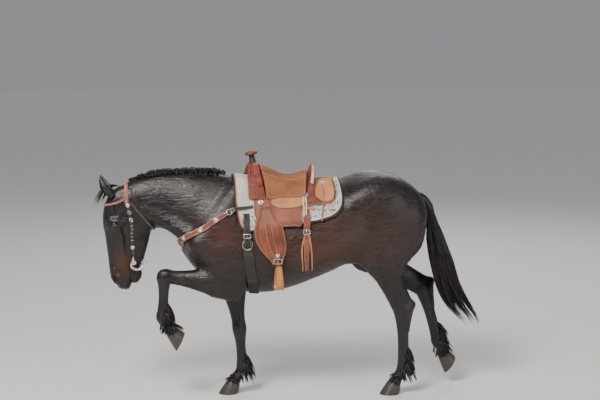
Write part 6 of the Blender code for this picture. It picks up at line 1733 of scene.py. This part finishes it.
def saddle_seat():
    """The padded seat, dished between the swell and the cantle."""
    xs = np.linspace(-0.184, 0.088, 34)
    reach = np.interp(xs, (-0.184, -0.150, -0.08, 0.05, 0.088), (36, 38, 36, 37, 36))
    rise = curve((0, 0.25, 0.5, 0.75, 1), (0.085, 0.055, 0.035, 0.036, 0.062), np.linspace(0, 1, 34))
    shares = np.linspace(-1, 1, 41)
    angles = reach[:, None] * shares[None, :]
    hump = np.clip(np.cos(np.radians(angles * 2.3)), 0, 1)
    dish = 0.0022 * np.cos(9 * np.pi * shares)[None, :] * np.exp(-((xs + 0.02) / 0.07) ** 2)[:, None]
    top = 0.0395 + rise[:, None] * hump + dish * 0.5
    grid = np.repeat(xs[:, None], len(shares), axis=1)
    high = over_trunk(grid, angles, top)
    lean = 0.030 * np.exp((xs - 0.088) / 0.02) - 0.030 * np.exp(-(xs + 0.184) / 0.03)
    high[:, :, 0] += lean[:, None] * hump**2
    seat = piece("seat", [sheet_between(over_trunk(grid, angles, 0.0345), high)], seat_suede, "leather_tan",
                 rounded=0.004)
    lines = borders(high, 0.012, "tblr") + [high[:, 12], high[:, 28]]
    piece("seat_stitching", sewn(lines), thread, "leather_tan")


def unwrapped_sheet(rows):
    """A thick sheet that stands across the horse, its pattern carried round its sides."""
    points, faces, flats = sheet_between(*rows)
    flats[:, 0] = points[:, 2]
    flats[:, 1] = points[:, 1] + np.sign(points[:, 1]) * points[:, 0]
    flats[:, 2] = 0.02
    return points, faces, flats


def cantle():
    """The cantle: a curved back rest with a tooled back and a laced pale roll along its top."""
    shares = np.linspace(-1, 1, 41)
    front, back = over_trunk(0.0885, 33 * shares, 0.0340), over_trunk(0.150, 33 * shares, 0.0340)
    rows = ([], [])
    for k in np.linspace(0, 1, 16):
        top = np.stack([0.166 - 0.028 * shares**2, 0.160 * shares, 1.634 - 0.115 * shares**2], axis=1)
        bow = 0.006 * math.sin(math.pi * k)
        rows[0].append(front * (1 - k) + (top - np.array((0.012, 0, 0.004))) * k + np.array((bow, 0, 0)))
        rows[1].append(back * (1 - k) + (top + np.array((0.012, 0, 0))) * k + np.array((bow * 0.5, 0, 0)))
    piece("cantle", [unwrapped_sheet(rows)], tooled_brown, "leather_brown", "saddle_cantle", rounded=0.004)
    top = np.stack([0.165 - 0.028 * shares**2, 0.158 * shares, 1.630 - 0.114 * shares**2], axis=1)
    roll = evened(top, 0.006)
    piece("cantle_roll", [rod(roll, 0.0125, 14, side=(1, 0, 0))], rawhide, "leather_tan", sharp=60)
    laces = []
    points, along = resampled(roll, 0.011)
    for point, way in zip(points, along):
        side = np.cross(way, (1.0, 0.0, 0.0))
        turns = np.linspace(0, 2 * math.pi, 14, endpoint=False)
        path = [point + 0.0130 * (np.array((1.0, 0, 0)) * math.cos(a) + side * math.sin(a))
                + way * 0.003 * math.cos(a) for a in turns]
        laces.append(rod(path, 0.0012, 6, closed=True, side=way))
    piece("cantle_lacing", laces, tooled_brown, "leather_brown")


def swell():
    """The swell over the withers, with its gullet, and the wrapped horn on it."""
    shares = np.linspace(-1, 1, 45)
    front, back = over_trunk(-0.305, 36 * shares, 0.0340), over_trunk(-0.1845, 36 * shares, 0.0340)
    knots = (0, 0.35, 0.70, 0.90, 1)
    rows = ([], [])
    for k in np.linspace(0, 1, 20):
        wide = np.array((1, curve(knots, (1.0, 1.04, 1.02, 0.94, 0.80), [k])[0], 1))
        top = np.stack([0 * shares - 0.245, 0.150 * shares, 1.655 - 0.075 * np.abs(shares) ** 3], axis=1)
        gullet = 0.060 * ramped(0.40 - np.abs(shares), 0, 0.10) * float(ramped(np.array(0.52 - k - 0.10), 0,
                                                                               0.12))
        inward = np.stack([gullet, 0 * gullet, 0 * gullet], axis=1)
        puff = 0.008 * math.sin(math.pi * k)
        rows[0].append((front * (1 - k) + (top - np.array((0.036 + puff, 0, 0))) * k) * wide + inward)
        rows[1].append((back * (1 - k) + (top + np.array((0.020 + puff * 0.3, 0, 0))) * k) * wide)
    piece("swell", [unwrapped_sheet(rows)], tooled_brown, "leather_brown", "saddle_fork", rounded=0.009,
          sharp=70)
    seam = [0.5 * (rows[0][-1] + rows[1][-1]) + np.array((0, 0, 0.0004))]
    piece("swell_stitching", stitches(seam[0], outs=(0, 0, 1)), thread, "leather_tan")
    neck = [(0.002 + 0.046 * t, 0.0190 + 0.006 * (1 - t) ** 3 + 0.0011 * abs(math.sin(t * 7 * math.pi)))
            for t in np.linspace(0, 1, 50)]
    cap = [(0.0500, 0.0200), (0.0545, 0.0340), (0.0570, 0.0400), (0.0600, 0.0430), (0.0650, 0.0440),
           (0.0700, 0.0430), (0.0735, 0.0400),
           (0.0750, 0.0360), (0.0765, 0.0330), (0.0790, 0.0200), (0.0798, 0.0040)]
    origin, axis = (-0.254, 0, 1.6556), (-0.18, 0, 1)
    piece("horn_neck", [turned(origin, axis, neck, 32)], black_leather, "leather_black", "saddle_horn")
    piece("horn_cap", [turned(origin, axis, cap, 40)], saddle_brown, "leather_brown", sharp=60)
    up = Vector(axis).normalized()
    middle = np.array(origin) + np.array(up) * 0.0745
    circle = ring(middle, up, 0.037, 0.0010)[0].reshape(40, 10, 3).mean(axis=1)
    piece("horn_stitching", stitches(evened(circle, 0.004, True), 0.0062, outs=np.array(up)), thread,
          "leather_tan")


FENDER_TOP = ((44, -0.190, 0.100), (54, -0.188, 0.120), (64, -0.184, 0.160), (73, -0.178, 0.195))
FENDER_LOW = ((1.150, -0.165, 0.205, 0.006), (1.080, -0.145, 0.170, 0.018), (1.020, -0.128, 0.095, 0.034),
              (0.985, -0.120, 0.060, 0.044))
STIRRUP = ((0.000, 0.158, 0.034), (0.034, 0.156, 0.034), (0.050, 0.140, 0.036), (0.060, 0.090, 0.044),
           (0.066, 0.030, 0.052),
           (0.064, 0.008, 0.054), (0.054, 0.000, 0.054), (0.000, 0.000, 0.054))


def fender(label, side):
    """The fender with its stirrup leather, keeper and buckle, and the wrapped stirrup that it carries."""
    shares = np.linspace(-0.5, 0.5, 17)
    rows = ([], [])
    for angle, x, width in FENDER_TOP:
        for grid, lift in zip(rows, (0.0318, 0.0362)):
            grid.append(over_trunk(x + shares * width, side * angle, lift))
    lowest = rows[0][-1][:, 1].mean()
    bow = 0.010 * (4 * shares**2)
    for z, x, width, out in FENDER_LOW:
        xs = x + shares * width
        y = lowest + side * (out - bow * (1.15 - z) / 0.2)
        rows[0].append(np.stack([xs, y, 0 * xs + z], 1))
        rows[1].append(np.stack([xs, y + side * 0.0048, 0 * xs + z], 1))
    low, high = (lofted(grid, 46) for grid in rows)
    piece("fender_panel_" + label, [sheet_between(low, high)], saddle_brown, "leather_brown", "fender_" + label,
          rounded=0.0011)
    out = (0, side, 0)
    seams = sewn(borders(high[6:], 0.006, "lr"), outs=out)
    strap = high[14:, 6:11] + np.array((0, side * 0.0006, 0))
    keepers = [sheet_between(strap, strap + np.array((0, side * 0.0042, 0)))]
    piece("stirrup_strap_" + label, keepers, saddle_brown, "leather_brown", rounded=0.0011)
    for line in borders(strap + np.array((0, side * 0.0044, 0)), 0.005, "lr"):
        seams += stitches(line, outs=out)
    piece("fender_stitching_" + label, seams, thread, "leather_tan")
    y = lowest + side * 0.047
    metal = buckle((-0.122, y + side * 0.006, 1.012), (0, 0, 1), out, 0.056, 0.034, 0.0032)
    metal += [concho((-0.122, y + side * 0.004, 1.052), out, 0.014)]
    piece("stirrup_buckle_" + label, metal, silver, "silver")
    whole = list(STIRRUP) + [(-a, h, w) for a, h, w in STIRRUP[-2:0:-1]]
    closed = np.array(whole[-2:] + whole + whole[:3])
    knots = np.arange(len(closed)) - 2.0
    fine = smooth_through(knots / len(whole), closed, np.linspace(0, 1, 84, endpoint=False))
    inner, outer = [], []
    for across, height, deep in fine:
        shrink = Vector((across, height - 0.085)).normalized() * 0.0085
        for grid, cut in ((outer, 0), (inner, 1)):
            a, h = across - cut * shrink.x, height - cut * shrink.y
            grid.append([(-0.115 + d * deep / 2, y + a, 0.822 + h) for d in np.linspace(-1, 1, 5)])
    piece("stirrup_" + label, [sheet_between(inner, outer, wrap=True)], stirrup_leather, "stirrup_leather",
          "stirrup_" + label, rounded=0.0022)
    laces = []
    for k in range(30, 55, 2):
        i = k % 84
        loop = [np.array(g[i][j]) for g, js in ((outer, (0, 2, 4)), (inner, (4, 2, 0))) for j in js]
        laces.append(rod(evened(loop, 0.008, True), 0.0011, 6, closed=True, side=(0.3, 0.3, 0.9)))
    piece("stirrup_lacing_" + label, laces, rawhide, "leather_tan")


for label, side in (("left", -1), ("right", 1)):
    saddle_sheets(label, side)
    fender(label, side)
saddle_seat()
cantle()
swell()

# Straps
# Cinch of soft cords between two rings, latigos, rear billets, breast collar, tie-down and strings.
# Each is a flat strap laid on what carries it, with stitches, silver conchos and buckles, and black discs for
# holes, painted shade.


def strap_grids(path, width, low, high, count=40, columns=7, side=1):
    """Lower and upper grids of a strap over the trunk through (x, angle, height over the skin)."""
    path = np.array(path, float) * (1, side, 1)
    shares = np.linspace(0, 1, count)
    x, angle, lift = smooth_through(np.linspace(0, 1, len(path)), path, shares).T
    widths = np.interp(shares, np.linspace(0, 1, len(np.atleast_1d(width))), np.atleast_1d(width))
    middle = over_trunk(x, angle, lift)
    radius = np.hypot(middle[:, 1], middle[:, 2] - TRUNK_AXIS)
    run = np.stack([np.gradient(x), np.gradient(np.radians(angle)) * radius], axis=1)
    run /= np.linalg.norm(run, axis=1, keepdims=True)
    sides = np.linspace(-0.5, 0.5, columns)[None, :] * widths[:, None]
    xs = x[:, None] - run[:, 1:] * sides
    angles = angle[:, None] + np.degrees(run[:, :1] * sides / radius[:, None])
    lifts = np.repeat(lift[:, None], columns, axis=1)
    return over_trunk(xs, angles, lifts + low), over_trunk(xs, angles,
                                                           lifts + crowned(low, high, columns)[None, :])


def strap(name, grids, material, slot, *replaced, inset=0.0035, seam=True, wrap=False):
    """A strap between two grids, with a row of stitches near each side."""
    low, high = grids
    piece(name, [sheet_between(low, high, wrap)], material, slot, *replaced, rounded=0.0009)
    if seam:
        seams = sewn(borders(high, inset, "lr"), 0.005, 0.0036, 0.0006)
        piece(name + "_stitching", seams, thread, "leather_tan")


def spot_on(grids, row, column=None):
    """A place on the face of a strap, the way out from it, and the way along it."""
    high = np.asarray(grids[1])
    column = high.shape[1] // 2 if column is None else column
    row = row % len(high)
    ahead, back = high[min(row + 1, len(high) - 1), column], high[max(row - 1, 0), column]
    across = high[row, -1] - high[row, 0]
    out = np.cross(ahead - back, across)
    out /= np.linalg.norm(out)
    out *= np.sign(outs_at(high[row, column][None])[0] @ out)
    return high[row, column], out, (ahead - back) / np.linalg.norm(ahead - back)


def buckle_on(grids, row, *sizes):
    """A buckle on the middle of a strap."""
    place, out, along = spot_on(grids, row)
    return buckle(place, along, out, *sizes)


def concho_on(grids, row, radius):
    """A concho on the middle of a strap."""
    place, out, _ = spot_on(grids, row)
    return concho(place, out, radius)


def concho_over(x, angle, lift, radius):
    """A concho at a height over the trunk."""
    place = over_trunk(x, angle, lift)
    return concho(place, outs_at(place[None])[0], radius)


CINCH = ((-0.318, -98, 0.004), (-0.302, -125, 0.004), (-0.272, -150, 0.004), (-0.252, -180, 0.004),
         (-0.252, -210, 0.004), (-0.272, -235, 0.004), (-0.318, -262, 0.004))
mohair = fuzzy("cinch_mohair", 0.92, (0.3, (0.020, 0.018, 0.017)), (0.7, (0.085, 0.075, 0.065)), 0.8, 0.0015,
               stretch=(420, 300, 0), Scale=1.0, Detail=4.0)


def cinch():
    """Thirteen cords side by side, held flat by woven bars, between two rings."""
    low, high = strap_grids(CINCH, 0.064, 0.0005, 0.0085, 60, 13)
    middle = (low + high) / 2
    cords = [rod(middle[:, j], 0.0030, 8, 1.15) for j in range(13)]
    bars = []
    for row in (4, 17, 30, 43, 56):
        bars.append(sheet_between(low[row - 1:row + 2], high[row - 1:row + 2]))
    piece("cinch_cords", cords, mohair, "cinch_webbing", "cinch", sharp=60)
    piece("cinch_bars", bars, mohair, "cinch_webbing", rounded=0.0015)
    metal = []
    for row, sign in ((0, 1), (-1, -1)):
        place, out, along = spot_on((low, high), row)
        metal.append(ring(place - along * sign * 0.014 - out * 0.003, out, 0.034, 0.0034))
    piece("cinch_rings", metal, silver, "silver")


def side_straps(label, side):
    """Latigo, rear billet, collar strap and the saddle strings of one side."""
    grids = strap_grids(((-0.322, 51, 0.0242), (-0.323, 62, 0.0242), (-0.322, 78, 0.0240), (-0.320, 86, 0.0135),
                         (-0.319, 97, 0.0135)), 0.044, 0.0004, 0.0050, side=side)
    strap("latigo_strap_" + label, grids, black_leather, "leather_black", "latigo_" + label)
    metal = buckle_on(grids, 24, 0.050, 0.030)
    billet = strap_grids(((0.080, 51.5, 0.0246), (0.081, 62, 0.0246), (0.080, 72, 0.0240), (0.078, 79, 0.008),
                          (0.078, 95, 0.004), (0.078, 112, 0.004), (0.084, 127, 0.004)),
                         (0.046, 0.044, 0.038, 0.034, 0.020), 0.0004, 0.0050, 60, side=side)
    strap("billet_" + label, billet, collar_brown, "leather_brown", "rear_billet_" + label)
    keeper = [grid[10:22] for grid in strap_grids(((0.080, 55, 0.0300), (0.081, 66, 0.0300),
                                                   (0.080, 76, 0.0285)), 0.050, 0.0002, 0.0042, 34, side=side)]
    strap("billet_keeper_" + label, keeper, tooled_brown, "leather_brown")
    # Black discs on the billet stand for its punched holes: the shade inside each hole is painted.
    hole_shade_discs = [turned(spot_on(billet, row)[0] - spot_on(billet, row)[1] * 0.0012, spot_on(billet, row)[1],
                    ((0, 0.0030), (0.0016, 0.0030)), 14)
             for row in range(34, 52, 4)]
    piece("billet_hole_shade_" + label, hole_shade_discs, black_leather, "leather_black")
    metal += buckle_on(billet, 29, 0.046, 0.032)
    ends = []
    for shift in (-0.030, 0.034):
        tail = strap_grids(((0.080 + shift * 0.3, 78, 0.010), (0.076 + shift, 100, 0.004),
                            (0.088 + shift, 127, 0.003)),
                           (0.011, 0.010, 0.007), 0.0002, 0.0026, 30, 3, side=side)
        ends.append(sheet_between(*tail))
    piece("billet_thongs_" + label, ends, roughout, "leather_tan", rounded=0.0006)
    grids = strap_grids(((-0.452, 49, 0.006), (-0.424, 48, 0.018), (-0.402, 47, 0.0246), (-0.340, 45, 0.0246),
                         (-0.274, 43, 0.0246)), 0.021, 0.0004, 0.0042, side=side)
    strap("collar_link_" + label, grids, black_leather, "leather_black", "collar_strap_" + label)
    metal += buckle_on(grids, 12, 0.026, 0.024, 0.0022)
    strings = []
    for x, angle, path in ((0.216, 16, ((0.216, 16, 0.0375), (0.210, 40, 0.0375), (0.202, 46, 0.0330),
                                        (0.190, 58, 0.0250), (0.184, 66, 0.0250))),
                           (0.067, 34, ((0.067, 34, 0.0395), (0.066, 44, 0.0385), (0.065, 50, 0.0320),
                                        (0.063, 60, 0.0312))),
                           (0.090, 34, ((0.082, 34, 0.0395), (0.086, 44, 0.0385), (0.082, 50, 0.0320),
                                        (0.078, 58, 0.0312)))):
        strings.append(sheet_between(*strap_grids(path, 0.0085, 0.0006, 0.0032, 24, 3, side=side)))
        metal.append(concho_over(x, side * angle, 0.0395, 0.017))
    piece("rear_string_" + label, strings[:1], pink_leather, "leather_pink", "string_rear_" + label,
          rounded=0.0006)
    piece("side_strings_" + label, strings[1:], rawhide, "leather_tan", "string_front_" + label, rounded=0.0006)
    metal.append(concho_over(-0.225, side * 40, 0.0390, 0.019))
    piece("saddle_silver_" + label, metal, silver, "silver")


def breast_collar():
    """The broad tooled collar round the chest, its silver, and the strap from it down to the cinch."""
    angles = np.linspace(-103, 103, 121)
    heights = np.interp(np.abs(angles), (0, 14, 27, 40, 51, 65, 79, 103),
                        (1.098, 1.108, 1.135, 1.174, 1.203, 1.238, 1.282, 1.335))
    radians = np.radians(angles)
    ways = np.stack([-np.cos(radians), np.sin(radians), 0 * angles], 1)
    low, high = [], []
    for share in np.linspace(-0.5, 0.5, 9):
        taper_in = 1 - 0.45 * ramped(np.abs(angles), 80, 103)
        starts = np.stack([0 * angles - 0.50, 0 * angles, heights + share * 0.047 * taper_in], 1)
        low.append(skin_hits(starts, ways, 0.0045))
        high.append(skin_hits(starts, ways, 0.0112 - 0.0015 * (2 * share) ** 4))
    grids = (np.array(low).transpose(1, 0, 2), np.array(high).transpose(1, 0, 2))
    strap("collar", grids, collar_brown, "leather_brown", "breast_collar", inset=0.0045)
    metal = []
    for row in (12, 26, 40, 80, 94, 108):
        metal.append(concho_on(grids, row, 0.015))
    metal.append(concho_on(grids, 60, 0.021))
    for row, way in ((0, -1), (120, 1)):
        place, out, along = spot_on(grids, row)
        metal.append(ring(place + along * way * 0.010, out, 0.019, 0.003))
    for edge_column in (1, 7):
        path = grids[1][:, edge_column]
        points, _ = resampled(path, 0.0125)
        metal += [turned(point, out, ((-0.0005, 0.0026), (0.0008, 0.0024), (0.0016, 0.0010)), 10) for point,
                  out in zip(points, outs_at(points))]
    piece("collar_silver", metal, silver, "silver")
    turns = np.radians(np.linspace(-8, 114, 60))
    low, high = [], []
    for share in np.linspace(-0.5, 0.5, 5):
        starts = np.stack([0 * turns - 0.45, 0 * turns + share * 0.024, 0 * turns + 1.02], 1)
        ways = np.stack([-np.cos(turns), 0 * turns, -np.sin(turns)], 1)
        low.append(skin_hits(starts, ways, 0.0035))
        high.append(skin_hits(starts, ways, 0.0078))
    strap("tie_down", (np.array(low).transpose(1, 0, 2), np.array(high).transpose(1, 0, 2)), collar_brown,
          "leather_brown", "tie_down_strap")


cinch()
for label, side in (("left", -1), ("right", 1)):
    side_straps(label, side)
breast_collar()

# Bridle and bit
# A red crownpiece and browband with silver dots, black cheekpieces with silver, a throatlatch, and a
# curb bit of engraved steel with its curb strap; the reins are left off.


def dots(path, step, radius=0.0027):
    """Small silver domes along a path."""
    points, _ = resampled(path, step)
    return [turned(point, out, ((-0.0006, radius), (0.0006, radius * 0.95), (0.0018, radius * 0.5),
                                (0.0021, radius * 0.1)), 12)
            for point, out in zip(points, outs_at(points))]


def bridle():
    """The straps of the head, from the poll down."""
    across = np.array(face_point(0, 1, 0) - face_point(0, 0, 0))
    up = -np.array(FACE_AXIS)
    silver_parts = []
    shares = np.linspace(-0.5, 0.5, 7)

    def banded(line, low, high):
        return [np.array([line(share, rise) for share, rise in zip(shares, lift)]).transpose(1, 0, 2)
                for lift in (0 * shares + low, crowned(low, high, 7))]

    def fan(upward, turns):
        return upward[None, :] * np.cos(turns)[:, None] + np.array((0, 1.0, 0))[None, :] * np.sin(turns)[:,
                                                                                                         None]

    def over_head(origin, ways, shift, width, low, high, reach=0.3):
        starts = np.array([face_point(*origin)] * len(ways))
        return banded(lambda share, rise: skin_hits(starts + shift * share * width, ways, rise, reach), low,
                      high)

    crown = over_head((0.090, -0.028, 0), fan(up, np.radians(np.linspace(-95, 95, 69))), across, 0.026, 0.0030,
                      0.0078)
    strap("crown_strap", crown, pink_leather, "leather_pink", "crownpiece")
    silver_parts += dots(crown[1][2:-2, 3], 0.011)
    angles = np.linspace(-86, 86, 57)
    downs = 0.112 - 0.030 * np.abs(angles / 70) ** 1.5
    brow = banded(lambda share, rise: round_head(downs + share * 0.017, angles, rise), 0.0032, 0.0080)
    strap("brow_strap", brow, pink_leather, "leather_pink", "browband")
    silver_parts += dots(brow[1][2:-2, 3], 0.009)
    for label, side in (("left", -1), ("right", 1)):
        downs = np.linspace(0.102, 0.470, 44)
        outs = curve((0, 0.27, 0.40, 0.62, 0.86, 1), (-0.032, -0.048, -0.054, -0.051, -0.051, -0.053),
                     np.linspace(0, 1, 44))
        cheek = banded(lambda share, rise: on_head(downs, outs + share * 0.017, side, rise), 0.0034, 0.0082)
        strap("cheek_strap_" + label, cheek, black_leather, "leather_black", "cheekpiece_" + label)
        for row, wide in ((7, 0.024), (13, 0.022)):
            silver_parts += buckle_on(cheek, row, wide, 0.020, 0.0018)
        for row in (18, 21, 24, 27, 30):
            place, out, along = spot_on(cheek, row)
            bar = [place + np.cross(out, along) * t + out * 0.001 for t in np.linspace(-0.0100, 0.0100, 7)]
            silver_parts.append(rod(bar, 0.0016, 8, side=out))
        silver_parts += [concho_on(cheek, 36, 0.014), concho_on(cheek, 1, 0.015)]
    piece("bridle_silver", silver_parts, silver, "silver")
    under, along = -0.80 * up - 0.60 * across, -0.60 * up + 0.80 * across
    ways = fan(under, np.radians(np.linspace(-93, 93, 71)))
    throat = over_head((0.097, -0.054, 0), ways, along, 0.013, 0.0034, 0.0075, 0.35)
    strap("throat_strap", throat, black_leather, "leather_black", "throatlatch")
    angles = np.linspace(104, 256, 41)
    curb = banded(lambda share, rise: round_head(0.500 + share * 0.011 + 0 * angles, angles, rise), 0.0034,
                  0.0068)
    strap("chin_strap", curb, black_leather, "leather_black", "curb_strap", seam=False)
    steel = [rod([face_point(0.534, -0.032, y) for y in np.linspace(-0.076, 0.076, 12)], 0.0058, 14)]
    for side in (-1, 1):
        shape = smooth_through(np.linspace(0, 1, 6), ((0.478, -0.052), (0.505, -0.044), (0.534, -0.034),
                                                      (0.556, -0.052), (0.562, -0.085), (0.548, -0.114)),
                               np.linspace(0, 1, 40))
        path = [face_point(u, v, side * 0.0755) for u, v in shape]
        widths = 0.0070 + 0.0016 * np.sin(np.linspace(0, 5 * math.pi, 40)) ** 2
        steel.append(rod(path, widths, 12, 0.5))
        outer = (0, side, 0)
        steel.append(concho(face_point(0.512, -0.052, side * 0.0795), outer, 0.017))
        steel.append(ring(face_point(0.545, -0.126, side * 0.0755), (0.2, 1, 0.1), 0.012, 0.0022))
        steel.append(ring(face_point(0.474, -0.053, side * 0.0755), (1, 0.1, 0.3), 0.009, 0.0020))
    piece("curb_bit", steel, silver, "silver", "bit")


bridle()

# Floor, light and camera
# A plain pale studio floor, broad soft lamps, and the camera at the photograph's angle.
FRAME_PIXEL = 0.007
DISTANCE = 9.0
floor_mesh = bpy.data.meshes.new("floor")
floor_mesh.from_pydata([(-60, -60, 0), (60, -60, 0), (60, 60, 0), (-60, 60, 0)], [], [(0, 1, 2, 3)])
floor = bpy.data.objects.new("floor", floor_mesh)
bpy.context.scene.collection.objects.link(floor)
pale = bpy.data.materials.new("pale_floor")
pale.use_nodes = True
pale.node_tree.nodes["Principled BSDF"].inputs["Base Color"].default_value = (0.75, 0.74, 0.72, 1)
pale.node_tree.nodes["Principled BSDF"].inputs["Roughness"].default_value = 0.7
floor_mesh.materials.append(pale)


def lamp(name, place, size, power, colour=(1, 1, 1)):
    """A broad soft lamp that shines on the horse."""
    data = bpy.data.lights.new(name, "AREA")
    data.size = size
    data.energy = power
    data.color = colour
    obj = bpy.data.objects.new(name, data)
    bpy.context.scene.collection.objects.link(obj)
    obj.location = place
    obj.rotation_euler = (Vector((0, 0, 0.9)) - Vector(place)).to_track_quat("-Z", "Y").to_euler()


lamp("key", (-3.5, -5.0, 6.5), 2.6, 760, (1.0, 0.97, 0.93))
lamp("fill", (5.0, -5.5, 3.0), 4.0, 150)
lamp("back", (2.5, 6.5, 6.5), 5.0, 260)
sun_data = bpy.data.lights.new("sky_sun", "SUN")
sun_data.energy = 0.45
sun_data.angle = math.radians(40)
sun = bpy.data.objects.new("sky_sun", sun_data)
sun.rotation_euler = (math.radians(35), 0, math.radians(-30))
bpy.context.scene.collection.objects.link(sun)
world = bpy.data.worlds.new("studio")
world.use_nodes = True
world.node_tree.nodes["Background"].inputs["Color"].default_value = (0.93, 0.95, 1.0, 1)
world.node_tree.nodes["Background"].inputs["Strength"].default_value = 0.30
bpy.context.scene.world = world

camera_data = bpy.data.cameras.new("camera")
camera_data.sensor_width = 36.0
camera_data.lens = 36.0 * DISTANCE / (600 * FRAME_PIXEL)
camera = bpy.data.objects.new("camera", camera_data)
bpy.context.scene.collection.objects.link(camera)
azimuth, elevation = math.radians(-8), math.radians(7)
target = Vector((0.077, 0, 1.386))
back_off = Vector((math.sin(azimuth) * math.cos(elevation), -math.cos(azimuth) * math.cos(elevation),
                   math.sin(elevation)))
camera.location = target + back_off * DISTANCE
camera.rotation_euler = (-back_off).to_track_quat("-Z", "Y").to_euler()
bpy.context.scene.camera = camera
